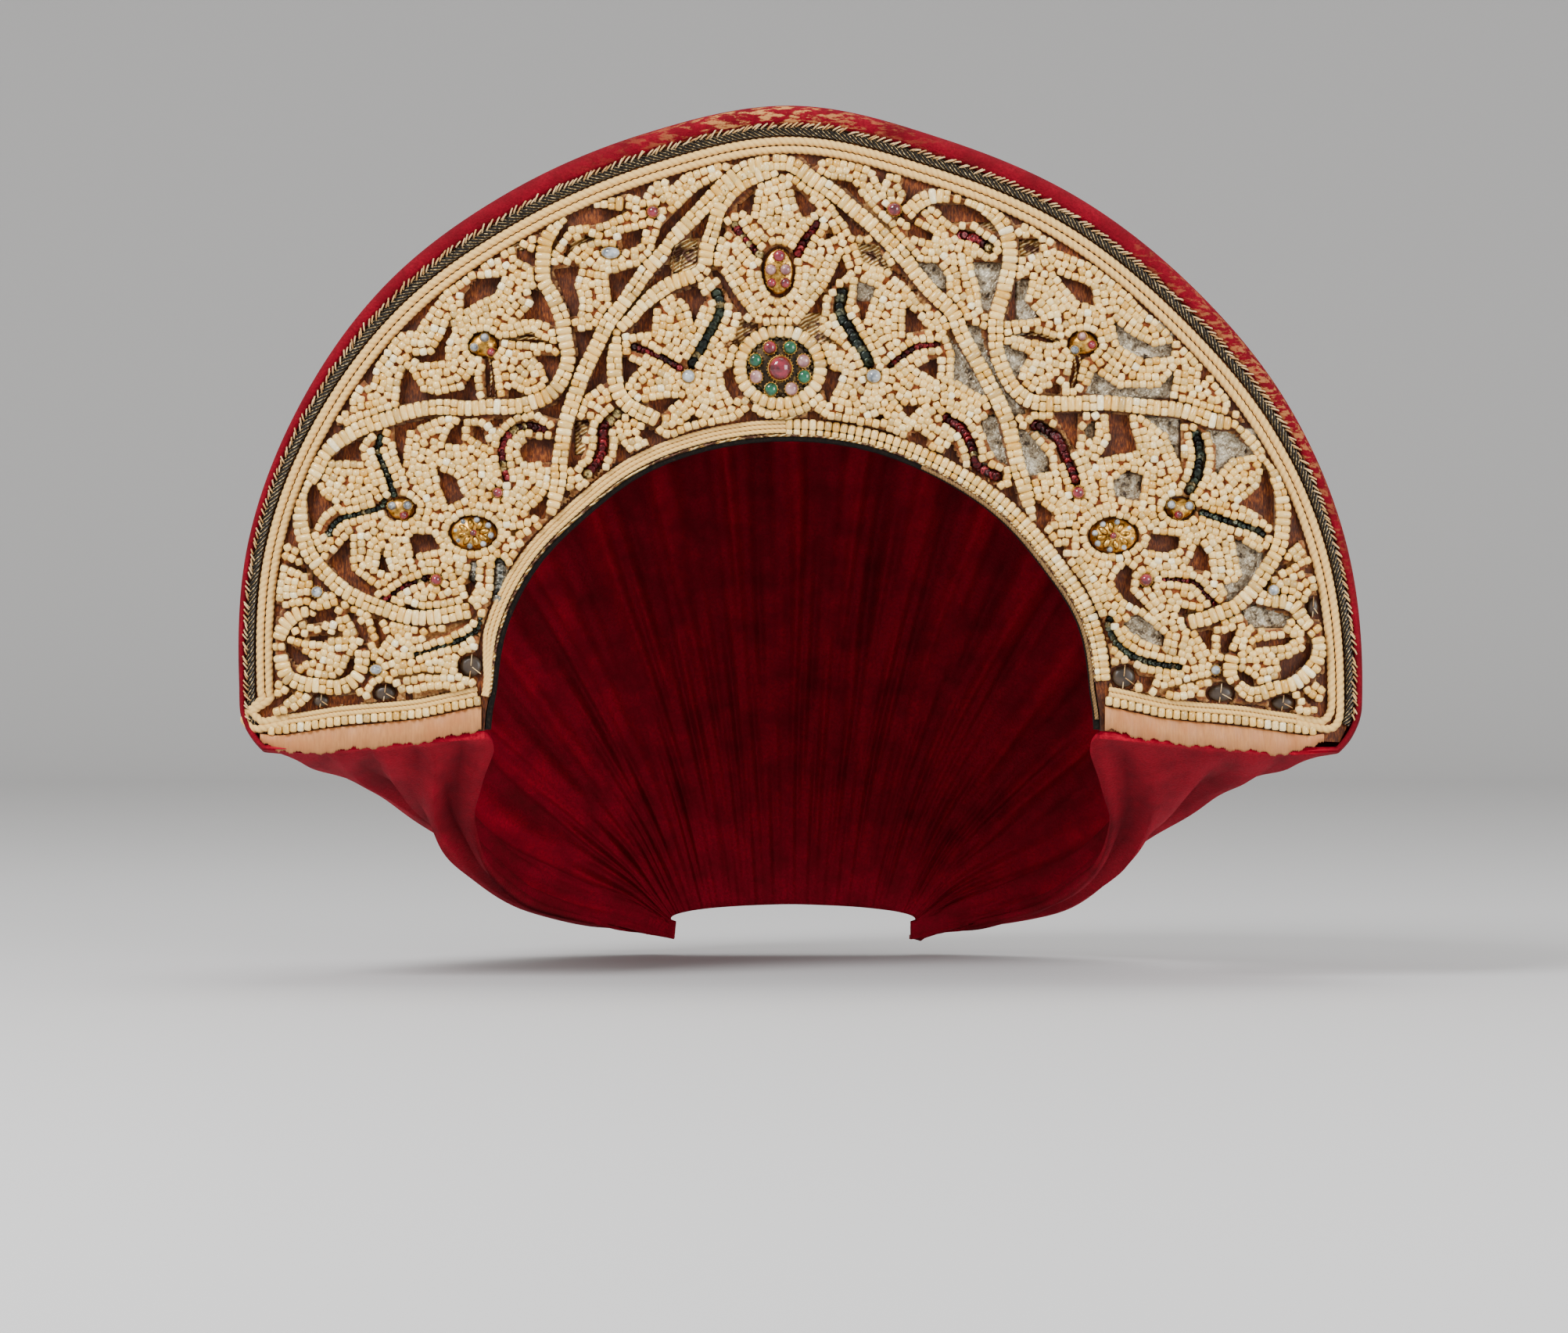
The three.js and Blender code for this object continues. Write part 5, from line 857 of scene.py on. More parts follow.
def metal_braid():
    """Twill braid of blackened metal thread: slanted ribs 0.9 mm apart, near black with straw threads that
    shine."""
    finish, tree, shader = new_finish("blackened metal braid", Metallic=0.35, Roughness=0.45)
    weave = add_node(tree, UV_MAP, uv_map="weave")
    slanted = add_node(tree, MAPPING, {"Vector": weave, "Rotation": (0, 0, 0.9)})
    ribs = add_node(
        tree, WAVE, {"Vector": slanted, "Scale": 0.36, "Distortion": 1.2, "Detail": 1.0}, out="Fac"
    )
    flecks = add_node(tree, NOISE, {"Vector": weave, "Scale": 1.3, "Detail": 2, "Roughness": 0.55})
    pale = add_node(tree, MATH, {0: ribs, 1: flecks}, operation="MULTIPLY")
    stops = [(0.12, "#120E0B"), (0.4, "#2C2419"), (0.5, "#7A6642"), (0.62, "#CDB684")]
    dress(tree, shader, add_node(tree, RAMP, {0: pale}, stops), ribs, 0.0005, 0.8)
    return finish


def ribbed_ribbon(settings):
    """Silk grosgrain ribbon: fine ribs across it every 0.9 mm, peach, faded and worn to brown fibres at the
    hem."""
    finish, tree, shader = new_finish("silk grosgrain", Roughness=0.5, Sheen_Weight=0.08)
    weave = add_node(tree, UV_MAP, uv_map="weave")
    stretched = add_node(tree, MAPPING, {"Vector": weave, "Scale": (1, 0.16, 1)})
    ribs = add_node(tree, NOISE, {"Vector": stretched, "Scale": 1.6, "Detail": 2, "Roughness": 0.55})
    stains = add_node(tree, NOISE, {"Vector": weave, "Scale": 0.13, "Detail": 3, "Roughness": 0.55})
    groove, base = linear(settings.ribbon_colour, 0.55), linear(settings.ribbon_colour)
    silk = add_node(tree, MIX, {0: 0.35, 6: base, 7: linear("#E2A868")}, **COLOURS)
    ribbed = add_node(tree, MIX, {0: ribs, 6: groove, 7: silk}, **COLOURS)
    spots = add_node(tree, RAMP, {0: stains}, [(0.45, "#000000"), (0.7, "#FFFFFF")])
    stained = add_node(tree, MIX, {0: spots, 6: ribbed, 7: linear("#B06A34")}, **COLOURS)
    colour = add_node(tree, MIX, {0: 1.0, 6: stained, 7: add_node(tree, ATTRIBUTE, **TINT)}, **TIMES)
    dress(tree, shader, colour, ribs, 0.0003, 0.5)
    return finish


def speckled(name, scale, detail, stops, depth=None, tinted=False, **values):
    """A finish whose colour follows one grain of the given scale: the ramp from its hollows to its high
    points, times the tint where the pieces have one, and the same grain as relief where a depth is given."""
    finish, tree, shader = new_finish(name, **values)
    place_of = add_node(tree, COORDINATES, out="Object")
    grain = add_node(tree, NOISE, {"Vector": place_of, "Scale": scale, "Detail": detail, "Roughness": 0.55})
    colour = add_node(tree, RAMP, {0: grain}, stops)
    if tinted:
        colour = add_node(tree, MIX, {0: 1.0, 6: colour, 7: add_node(tree, ATTRIBUTE, **TINT)}, **TIMES)
    dress(tree, shader, colour, grain if depth else None, depth or 0)
    return finish


def gilt_metal():
    """Gilt brass, cast and chased: warm yellow with darker hollows and fine hammer marks."""
    stops = [(0.3, "#5A3A12"), (0.5, "#B98A3C"), (0.75, "#EBC878")]
    return speckled("gilt brass", 800, 3, stops, 0.0002, Metallic=1.0, Roughness=0.34)


def dark_bronze():
    """Patinated bronze: near black brown, bare and golden only on its high points."""
    stops = [(0.35, "#15100A"), (0.6, "#3A2C18"), (0.8, "#8C6E38")]
    return speckled("patinated bronze", 900, 3, stops, 0.0002, Metallic=0.75, Roughness=0.45)


def cut_glass(name, deep, pale):
    """Coloured glass paste, pressed and polished over foil: clear colour that darkens toward the rim,
    glossy."""
    gloss = {
        "Roughness": 0.06, "IOR": 1.52, "Coat_Weight": 0.6, "Coat_Roughness": 0.03,
        "Transmission_Weight": 0.15
    }
    return speckled(name, 420, 2, [(0.35, deep), (0.65, pale)], **gloss)


def sequin_metal():
    """Stamped sequins of thin metal, some still bright and most tarnished; the tint gives each its tone."""
    stops = [(0.35, "#4A4A4A"), (0.6, "#FFFFFF")]
    return speckled("tarnished sequins", 1300, 2, stops, tinted=True, Metallic=0.6, Roughness=0.3)


def dark_disc():
    """Thin plates of dark polished mica: brown black with cloudy layers and a dull gloss."""
    stops = [(0.3, "#241A12"), (0.6, "#3E3024"), (0.8, "#5A4938")]
    return speckled("dark mica", 350, 3, stops, Roughness=0.36, Specular_IOR_Level=0.5)


def black_lining():
    """Black cotton tape, plain woven: matt, with fibres worn to brown along its edge."""
    stops = [(0.4, "#080605"), (0.65, "#17110C"), (0.85, "#3A2A18")]
    return speckled("black cotton tape", 1500, 2, stops, 0.0002, Roughness=0.9, Specular_IOR_Level=0.15)


def brown_gimp():
    """Gimp of brown silk over a core: dull chestnut, with painted shade in its grooves from the cord's tint.
    """
    return speckled(
        "brown silk gimp", 1800, 2, [(0.3, "#4A3014"), (0.7, "#96703A")], tinted=True, Roughness=0.7
    )


def pale_thread():
    """Silk sewing thread, straw coloured and worn."""
    stops = [(0.3, "#B98F58"), (0.7, "#E2C48C")]
    return speckled("straw silk thread", 1800, 2, stops, tinted=True, Roughness=0.55, Sheen_Weight=0.2)


FINISHES = {}


def finish_of(name):
    """The material of a name, made once for all pieces."""
    settings = bpy.context.scene.headdress
    makers = {
        "beads": milky_glass, "padding": cotton_thread, "board": copper_silk,
        "foil": worn_foil, "gold": gold_couching,
        "velvet": lambda: crimson_velvet(
            settings
        ), "cord": lambda: twisted_cotton(settings), "braid": metal_braid,
        "ribbon": lambda: ribbed_ribbon(
            settings
        ), "gilt": gilt_metal, "bronze": dark_bronze, "sequins": sequin_metal,
        "glass_pink": lambda: cut_glass("pink glass paste", "#4A0816", "#9A2038"),
        "glass_green": lambda: cut_glass("green glass paste", "#002A1A", "#026C48"),
        "glass_white": lambda: cut_glass("pearl glass paste", "#7E4C52", "#C29690"),
        "glass_grey": lambda: cut_glass("grey glass paste", "#585F66", "#C2C8CC"),
        "disc": dark_disc, "gimp": brown_gimp, "lining": black_lining, "thread": pale_thread,
    }
    if name not in FINISHES:
        FINISHES[name] = makers[name]()
    return FINISHES[name]


def wear(nodes, name):
    """Gives CAD nodes a finish by their material slots; their meshes stay as they are."""
    for node in nodes:
        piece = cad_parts[node]
        for slot in piece.material_slots:
            slot.material = finish_of(name)


# Distance field of the beadwork, on a grid over the front

GRID_STEP = 0.4
GRID_LOW = np.array([-152.0, -104.0])
GRID_SIZE = (761, 436)
# The field is cut off at this distance, and carved this far round each shape
FAR = 9.0
MARGIN = 8


def carve(field, low, high, distance_at):
    """Lowers the field to a signed distance inside a window of the grid."""
    first = np.clip(((np.asarray(low) - MARGIN - GRID_LOW) / GRID_STEP).astype(int), 0, GRID_SIZE)
    last = np.clip(((np.asarray(high) + MARGIN - GRID_LOW) / GRID_STEP).astype(int) + 1, 0, GRID_SIZE)
    near = (slice(first[0], last[0]), slice(first[1], last[1]))
    x, z = np.meshgrid(
        GRID_LOW[0] + GRID_STEP * np.arange(
            first[0], last[0]
        ), GRID_LOW[1] + GRID_STEP * np.arange(first[1], last[1]),
        indexing="ij",
    )
    field[near] = np.minimum(field[near], distance_at(x, z))


def to_segments(x, z, a, b, half=0.0):
    """Distance from each point to the nearest of the segments from a to b, less each segment's half width."""
    run = b - a
    px, pz = x[..., None] - a[:, 0], z[..., None] - a[:, 1]
    share = np.clip((px * run[:, 0] + pz * run[:, 1]) / np.maximum((run ** 2).sum(1), 1e-9), 0, 1)
    return (np.hypot(px - share * run[:, 0], pz - share * run[:, 1]) - half).min(-1)


def carve_outline(field, outline):
    """A closed outline: the distance to its edge, negative inside, where an upward ray crosses it an odd
    count."""
    outline = np.asarray(outline, float)
    a, b = outline, np.roll(outline, -1, 0)
    rise = np.where(b[:, 1] == a[:, 1], 1e-9, b[:, 1] - a[:, 1])

    def distance_at(x, z):
        """Signed distance of points to the outline."""
        above = (a[:, 1] > z[..., None]) != (b[:, 1] > z[..., None])
        left = x[..., None] < a[:, 0] + (z[..., None] - a[:, 1]) * (b[:, 0] - a[:, 0]) / rise
        inside = (above & left).sum(-1) % 2 == 1
        return to_segments(x, z, a, b) * np.where(inside, -1, 1)

    carve(field, outline.min(0), outline.max(0), distance_at)


def carve_line(field, line, half):
    """A band along a line: the distance to the line less half the width of the band."""
    half = np.broadcast_to(half, (len(line),))
    for first in range(0, len(line) - 1, 8):
        part, wide = line[first:first + 9], half[first:first + 9]

        def distance_at(x, z, part=part, wide=wide):
            """Distance of points to this part of the line."""
            return to_segments(x, z, part[:-1], part[1:], (wide[:-1] + wide[1:]) / 2)

        carve(field, part.min(0), part.max(0), distance_at)


def carve_oval(field, centre, half):
    """An oval seat: the distance from the centre in shares of the oval, less one, times its smaller half."""
    def distance_at(x, z):
        """Signed distance of points to the oval."""
        away = np.hypot((x - centre[0]) / half[0], (z - centre[1]) / half[1])
        return (away - 1) * min(half)

    carve(field, centre - half, centre + half, distance_at)


def field_outline():
    """Edge of the beadwork: inside the rim cords, over the bottom borders and outside the opening border."""
    t = np.linspace(-100, 100, 160)
    outer = rim_inset(t * 0.964, field_inset(t * 0.964))
    outer = outer[outer[:, 1] > place([0, -3])[1]]
    inner = opening_inset(t * 0.962, 1.2 + OPENING_BORDER_WIDTH + 0.6)[::-1]
    inner = inner[inner[:, 1] > place([0, 1.5])[1]]
    right = [end_point(1, row) for row in BORDER_TOP[::-1]]
    left = [end_point(-1, row) for row in BORDER_TOP]
    return np.concatenate([outer, right, inner, left])


def end_point(side, row):
    """A place along the bottom borders: the first row keeps its distance from the opening."""
    first, last = BORDER_TOP[0][0], BORDER_TOP[-1][0]
    start = abs(opening_point(side * 90.0)[0]) + (first - 52) * 1.5
    end = last / 100 * HALF_WIDTH
    x = side * (start + (end - start) * (row[0] - first) / (last - first))
    return np.array([x, place([0, row[1]])[1]])


def oval_of(*nodes):
    """Middle and half sizes, across and up, of CAD nodes, and their nearest and farthest height over the
    board."""
    corners = np.array([[list(corner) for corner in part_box(node)] for node in nodes]) * 1000
    low, high = corners[:, 0].min(0), corners[:, 1].max(0)
    middle = (low + high) / 2
    board = FRONT_Y + bow(middle[0])
    return middle[[0, 2]], (high - low)[[0, 2]] / 2, board - high[1], board - low[1]


def make_fields():
    """The distance from every opening and seat, the distance from the stems, and the stems."""
    inside = np.full(GRID_SIZE, 1e3)
    carve_outline(inside, field_outline())
    base = np.minimum(FAR, -inside)
    for outline in GAPS:
        carve_outline(base, place(outline))
    for _, width, points in CHANNELS:
        carve_line(base, smooth_line(place(points), 1.5), width * 0.75)
    seats = [("medallion_bead_ring", 0.4), ("crest_setting", 0.5)]
    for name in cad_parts:
        if name.startswith(("oval_flower", "disc_", "trefoil", "stone_")):
            seats.append((name, 0.7 if name.startswith("disc") else 0.2))
    for name, room in seats:
        middle, half, _, _ = oval_of(name)
        carve_oval(base, middle, half + room)
    stem_edge = np.full(GRID_SIZE, FAR)
    stems = [fitted_stem(base, smooth_line(place(points), 1.9)) for points in STEMS]
    for line, half in stems:
        carve_line(stem_edge, line, np.maximum(half, 0.3) + 0.15)
    return base, stem_edge, stems


def fitted_stem(base, line):
    """A stem moved sideways to the middle of the bed that it runs on, and half its width there. Each point
    moves to the place across the line with the most room, up to 2 mm, less 0.12 mm for each millimetre of
    the move."""
    run = directions(line)
    side = np.stack([-run[:, 1], run[:, 0]], 1)
    offsets = np.linspace(-3.2, 3.2, 33)
    room = np.stack([read_grid(base, line + side * offset) for offset in offsets], 1)
    score = np.minimum(room, 2.0) - 0.12 * np.abs(offsets)
    best = offsets[score.argmax(1)]
    best = np.convolve(np.pad(best, 2, mode="edge"), [0.1, 0.2, 0.4, 0.2, 0.1], "valid")
    moved = line + side * best[:, None]
    half = np.clip(read_grid(base, moved) + 0.25, 0, 2.1)
    half = np.convolve(np.pad(half, 1, mode="edge"), [0.25, 0.5, 0.25], "valid")
    return moved, half


def read_grid(grid, points):
    """A grid read between its points, by the shares of each cell."""
    at = np.clip((np.asarray(points) - GRID_LOW) / GRID_STEP, 0, np.array(GRID_SIZE) - 1.001)
    cell = at.astype(int)
    fx, fz = (at - cell).T
    i, j = cell.T
    low = grid[i, j] * (1 - fx) + grid[i + 1, j] * fx
    high = grid[i, j + 1] * (1 - fx) + grid[i + 1, j + 1] * fx
    return low * (1 - fz) + high * fz


class Spots:
    """Places taken so far, kept in cells of two millimetres so that near ones are found at once."""

    def __init__(self):
        """No place is taken yet."""
        self.cells = {}

    def free(self, x, z, reach):
        """Whether no taken place is nearer than the reach."""
        i, j = int(x // 2), int(z // 2)
        for a in (i - 1, i, i + 1):
            for b in (j - 1, j, j + 1):
                for px, pz in self.cells.get((a, b), ()):
                    if (px - x) ** 2 + (pz - z) ** 2 < reach * reach:
                        return False
        return True

    def take(self, x, z):
        """Adds a place."""
        self.cells.setdefault((int(x // 2), int(z // 2)), []).append((x, z))


def bead_rows(full, pitch, spacing):
    """Beads in rows that follow the openings: a row keeps one distance, and free places are filled last."""
    slope_x, slope_z = np.gradient(full, GRID_STEP)
    spots = Spots()
    beads = []

    def nearest(x, z):
        """The field and its slope at the grid point nearest to a place."""
        i = min(max(int(round((x - GRID_LOW[0]) / GRID_STEP)), 0), GRID_SIZE[0] - 1)
        j = min(max(int(round((z - GRID_LOW[1]) / GRID_STEP)), 0), GRID_SIZE[1] - 1)
        return full[i, j], slope_x[i, j], slope_z[i, j]

    def on_level(x, z, level):
        """A place moved along the slope onto one distance, and the field there."""
        for _ in range(3):
            depth, gx, gz = nearest(x, z)
            steep = max(gx * gx + gz * gz, 0.15)
            x -= (depth - level) * gx / steep
            z -= (depth - level) * gz / steep
        return x, z, nearest(x, z)

    for level in [FIRST_ROW + spacing * k for k in range(ROW_COUNT)]:
        starts = np.argwhere(np.abs(full - level) < GRID_STEP * 0.6)
        for i, j in starts[::3]:
            x, z, (depth, gx, gz) = on_level(GRID_LOW[0] + i * GRID_STEP, GRID_LOW[1] + j * GRID_STEP, level)
            if abs(depth - level) > 0.3 or not spots.free(x, z, pitch * 0.9):
                continue
            spots.take(x, z)
            beads.append((x, z, -gz, gx))
            for way in (1, -1):
                px, pz, sx, sz = x, z, -gz * way, gx * way
                for _ in range(LONGEST_ROW):
                    size = math.hypot(sx, sz) or 1.0
                    qx, qz, (depth, hx, hz) = on_level(px + sx / size * pitch, pz + sz / size * pitch, level)
                    step = math.hypot(qx - px, qz - pz)
                    if abs(depth - level) > 0.35 or step < 0.7 * pitch or step > 1.4 * pitch:
                        break
                    if not spots.free(qx, qz, pitch * 0.86):
                        break
                    spots.take(qx, qz)
                    beads.append((qx, qz, -hz, hx))
                    if -hz * sx + hx * sz < 0:
                        hx, hz = -hx, -hz
                    px, pz, sx, sz = qx, qz, -hz, hx
    for reach, deep in ((1.85, 0.9), (1.55, 0.85)):
        order = np.argwhere(full > deep)
        order = order[np.argsort(-full[order[:, 0], order[:, 1]], kind="stable")]
        for i, j in order:
            x, z = GRID_LOW[0] + i * GRID_STEP, GRID_LOW[1] + j * GRID_STEP
            if spots.free(x, z, reach):
                spots.take(x, z)
                beads.append((x, z, -slope_z[i, j] + 1e-4, slope_x[i, j]))
    return np.array(beads)


def padding_height(depth):
    """Height of the padding over the board: steep at an opening, then flat like a stuffed bed."""
    depth = np.asarray(depth)
    share = np.clip(depth / 1.3, 0, 1)
    swell = np.sqrt(np.clip(1 - (1 - share) ** 2, 0, 1))
    return 0.35 + 2.35 * swell + 0.5 * np.clip((depth - 1.3) / 3, 0, 1)


# Random tones

def tones(count, seed, choices):
    """One sRGB tone for each piece, drawn by weight and shaded a little, as linear shares."""
    rng = np.random.default_rng(seed)
    weights = np.array([weight for weight, _ in choices], float)
    table = np.array([linear(colour)[:3] for _, colour in choices])
    picked = table[rng.choice(len(choices), count, p=weights / weights.sum())]
    return picked * rng.uniform(0.88, 1.06, (count, 1))


BEAD_TONES = [
    (34, "#F4D088"), (24, "#ECC576"), (14, "#FADDA2"), (12, "#DDBB74"), (7, "#DAAC54"), (3, "#FFF0CC"),
    (5, "#CAA968"),
]
RED_TONES = [(4, "#5A1018"), (3, "#8A2028"), (2, "#3A0A10"), (1, "#B04048"), (1, "#C8B070")]
GREEN_TONES = [(4, "#26302A"), (3, "#3E4A3C"), (2, "#141A16"), (1, "#6A6E58"), (1, "#8A7A50")]
GREY_TONES = [(4, "#8A8A80"), (3, "#B4B2A4"), (2, "#4A4A44"), (1, "#D8D4C4")]

BARREL = [[0, -0.95], [0.7, -0.94], [1, -0.64], [1, 0.64], [0.7, 0.94], [0, 0.95]]
DOME = [[0, 0], [1, 0], [1, 0.2], [0.93, 0.5], [0.76, 0.76], [0.48, 0.93], [0, 1]]
GRAIN = [[0, -1], [0.7, -0.7], [1, 0], [0.7, 0.7], [0, 1]]
BEADS_IN_PIECE = 2300
LONGEST_ROW = 400


def front_axes(xz, run):
    """Run, side and outward axis on the front for points with a direction in its plane."""
    run = np.asarray(run, float)
    run = run / np.maximum(np.linalg.norm(run, axis=1, keepdims=True), 1e-6)
    lean = xz[:, 0] / BOW_RADIUS
    ahead = np.stack([run[:, 0], run[:, 0] * lean, run[:, 1]], 1)
    ahead /= np.linalg.norm(ahead, axis=1, keepdims=True)
    out = np.stack([lean, -np.ones(len(xz)), np.zeros(len(xz))], 1)
    out /= np.linalg.norm(out, axis=1, keepdims=True)
    side = np.cross(out, ahead)
    return ahead, side / np.linalg.norm(side, axis=1, keepdims=True), out


def barrels(xz, run, rise, length, width, height, tint, sides=10):
    """Glass beads on the front: barrels whose holes run along the row."""
    xz = np.asarray(xz, float)
    count = len(xz)
    ahead, side, out = front_axes(xz, run)
    length, width, height = (
        np.broadcast_to(np.asarray(value, float), (count,))[:, None] / 2 for value in (length, width, height)
    )
    return stamp(
        turned_shape(BARREL, sides), on_front(xz, rise), side * width, out * height, ahead * length, tint
    )


def add_group(name, group, finish, nodes=()):
    """One piece from a group of corners, quads, triangles and tints, with the finish of the given name."""
    corners, quads, tris, tint = group
    return make_piece(name, corners, [quads, tris], finish_of(finish), nodes, tint=tint)


# Pieces

def build_padding(base, stem_edge):
    """Stuffed bed under the beads: a square net over the field, its height a rounded step of the distance
    from an opening less a groove along the stems, its rim pulled to the opening's edge and closed by a
    wall and underside."""
    step = 2
    depth = base[::step, ::step]
    groove = np.exp(-(stem_edge[::step, ::step] / 0.5) ** 2)
    slope = np.stack(np.gradient(base, GRID_STEP), -1)[::step, ::step]
    i, j = np.meshgrid(np.arange(depth.shape[0]), np.arange(depth.shape[1]), indexing="ij")
    xz = GRID_LOW + GRID_STEP * step * np.stack([i, j], -1)
    kept = depth > -0.35
    cells = kept[:-1, :-1] & kept[1:, :-1] & kept[1:, 1:] & kept[:-1, 1:]
    size = np.maximum((slope ** 2).sum(-1, keepdims=True), 0.3)
    moved = xz - np.where(np.abs(depth[..., None]) < HEM_BAND, depth[..., None] * slope / size, 0)
    rng = np.random.default_rng(11)
    height = padding_height(np.where(np.abs(depth) < HEM_BAND, 0, depth)) + rng.normal(0, 0.03, depth.shape)
    height = np.where(np.abs(depth) < HEM_BAND, 0.5, np.maximum(height - 1.3 * groove, 0.5))
    top = on_front(moved, height)
    bottom = on_front(moved, 0.28)
    number = i * depth.shape[1] + j
    a, b = number[:-1, :-1][cells], number[1:, :-1][cells]
    c, d = number[1:, 1:][cells], number[:-1, 1:][cells]
    under = depth.size
    quads = [np.stack([a, b, c, d], -1), np.stack([a, d, c, b], -1) + under]
    edges = np.concatenate([np.stack(pair, -1) for pair in ((a, b), (b, c), (c, d), (d, a))])
    keys = edges[:, 0].astype(np.int64) * depth.size + edges[:, 1]
    back = edges[:, 1].astype(np.int64) * depth.size + edges[:, 0]
    rim = edges[~np.isin(keys, back)]
    quads.append(np.stack([rim[:, 1], rim[:, 0], rim[:, 0] + under, rim[:, 1] + under], -1))
    quads = np.concatenate(quads)
    used, again = np.unique(quads, return_inverse=True)
    corners = np.concatenate([top.reshape(-1, 3), bottom.reshape(-1, 3)])[used]
    # Painted shade: the bed goes from pale cream at the openings to brown deeper under the beads, and darker
    # still in the grooves along the stems.
    near = np.clip(np.tile(depth.ravel(), 2)[used] / 0.8, 0, 1)[:, None]
    shade = np.array(linear("#FFEAC0")[:3]) * (1 - near) + np.array(linear("#A8662A")[:3]) * near
    shade = shade * (1 - 0.75 * np.tile(groove.ravel(), 2)[used][:, None])
    group = (corners, again.reshape(-1, 4), np.zeros((0, 3), int), shade)
    add_group("padding_bed", group, "padding", nodes=["openwork_relief"])


def build_bead_field(full, settings):
    """Rows of glass barrels over the padding: each bead stands on the bed's height at its place."""
    pitch = settings.bead_pitch * 1000
    rows = bead_rows(full, pitch, pitch * 0.94)
    xz, run = rows[:, :2], rows[:, 2:]
    rng = np.random.default_rng(5)
    count = len(xz)
    depth = read_grid(full, xz)
    run = run / np.maximum(np.linalg.norm(run, axis=1, keepdims=True), 1e-6) + rng.normal(0, 0.09, (count, 2))
    xz = xz + rng.normal(0, 0.05, (count, 2))
    rise = padding_height(depth) + 0.5 + rng.normal(0, 0.12, count)
    group = barrels(
        xz, run, rise, pitch * 1.03 + rng.normal(
            0, 0.07, count
        ), pitch * 1.12 + rng.normal(0, 0.09, count), 2.15,
        tones(count, 6, BEAD_TONES),
    )
    corners, quads, tris, tint = group
    vc, qc, tc = len(corners) // count, len(quads) // count, len(tris) // count
    pieces = math.ceil(count / BEADS_IN_PIECE)
    each = math.ceil(count / pieces)
    for number in range(pieces):
        first, last = number * each, min(count, (number + 1) * each)
        part = (
            corners[first * vc:last * vc], quads[first * qc:last * qc] - first * vc,
            tris[first * tc:last * tc] - first * vc, tint[first * vc:last * vc],
        )
        add_group(f"bead_field_{number + 1}", part, "beads")


def build_stems(base, stems):
    """Scrolling stems: beads laid across the path, one wide or two side by side, as long as the openings
    leave room."""
    spots = Spots()
    rng = np.random.default_rng(8)
    single, pairs = [], []
    for line, room in stems:
        for (x, z), (rx, rz), half in zip(line, directions(line), room):
            if half < 0.45 or not spots.free(x, z, 1.55):
                continue
            spots.take(x, z)
            if half < 1.2 or rng.random() < 0.5:
                single.append((x, z, -rz, rx, half))
            else:
                cut = half * rng.uniform(-0.25, 0.25)
                for low, high in ((-half, cut), (cut, half)):
                    middle = (low + high) / 2
                    pairs.append((x - rz * middle, z + rx * middle, -rz, rx, (high - low) / 2))
    rows = np.array(single + pairs)
    count = len(rows)
    base_rise = padding_height(np.minimum(read_grid(base, rows[:, :2]), 2.0)) + 0.75
    group = barrels(
        rows[:, :2] + rng.normal(
            0, 0.04, (count, 2)
        ), rows[:, 2:4] + rng.normal(0, 0.05, (count, 2)), base_rise,
        np.maximum(rows[:, 4] * 2, 1.5), 2.1, 2.1, tones(count, 9, BEAD_TONES),
    )
    add_group("stem_beads", group, "beads")


def opening_border_width(t):
    """Width of the border of the face arch: full, but narrower before -78."""
    return OPENING_BORDER_WIDTH * np.clip(1 + (t + 78) * 0.06, 0.43, 1)


def build_opening_border():
    """Edge of the face arch: plied cords on the wearer's right, upright beads over small beads on the left,
    and a fine gold cord along the whole edge."""
    t = np.linspace(-92.2, -1.2, 420)
    cords = []
    for share in (0.24, 0.52, 0.8):
        line = on_front(opening_inset(t, 1.5 + opening_border_width(t) * share), 1.3)
        cords.append(twisted_cord(line, 0.62, 2.6, 10, share * 9))
    add_group("opening_cords", join(*cords), "cord", ["opening_bead_border"])
    t = np.arange(-0.6, 89, 100 / (math.pi * OPENING_HALF_WIDTH * OPENING_END_ANGLE / 180) * 2.0)
    rng = np.random.default_rng(21)
    upper = opening_inset(t, 1.5 + 2.75)
    lower = opening_inset(t, 1.5 + 0.75)
    across = directions(upper)
    across = np.stack([-across[:, 1], across[:, 0]], 1)
    count = len(t)
    leaning = across + rng.normal(0, 0.05, (count, 2))
    length = 2.75 + rng.normal(0, 0.15, count)
    parts = [
        barrels(upper, leaning, 1.5, length, 1.95, 1.9, tones(count, 22, BEAD_TONES)),
        barrels(
            lower, across + rng.normal(0, 0.07, (count, 2)), 1.25, 1.55, 1.8, 1.6, tones(
                count, 23, BEAD_TONES
            ),
        ),
    ]
    add_group("opening_beads", join(*parts), "beads")
    line = on_front(opening_inset(np.linspace(-92, 88.6, 760), 1.35), 1.35)
    add_group("opening_gold_cord", twisted_cord(line, 0.4, 1.3, 8), "gold")


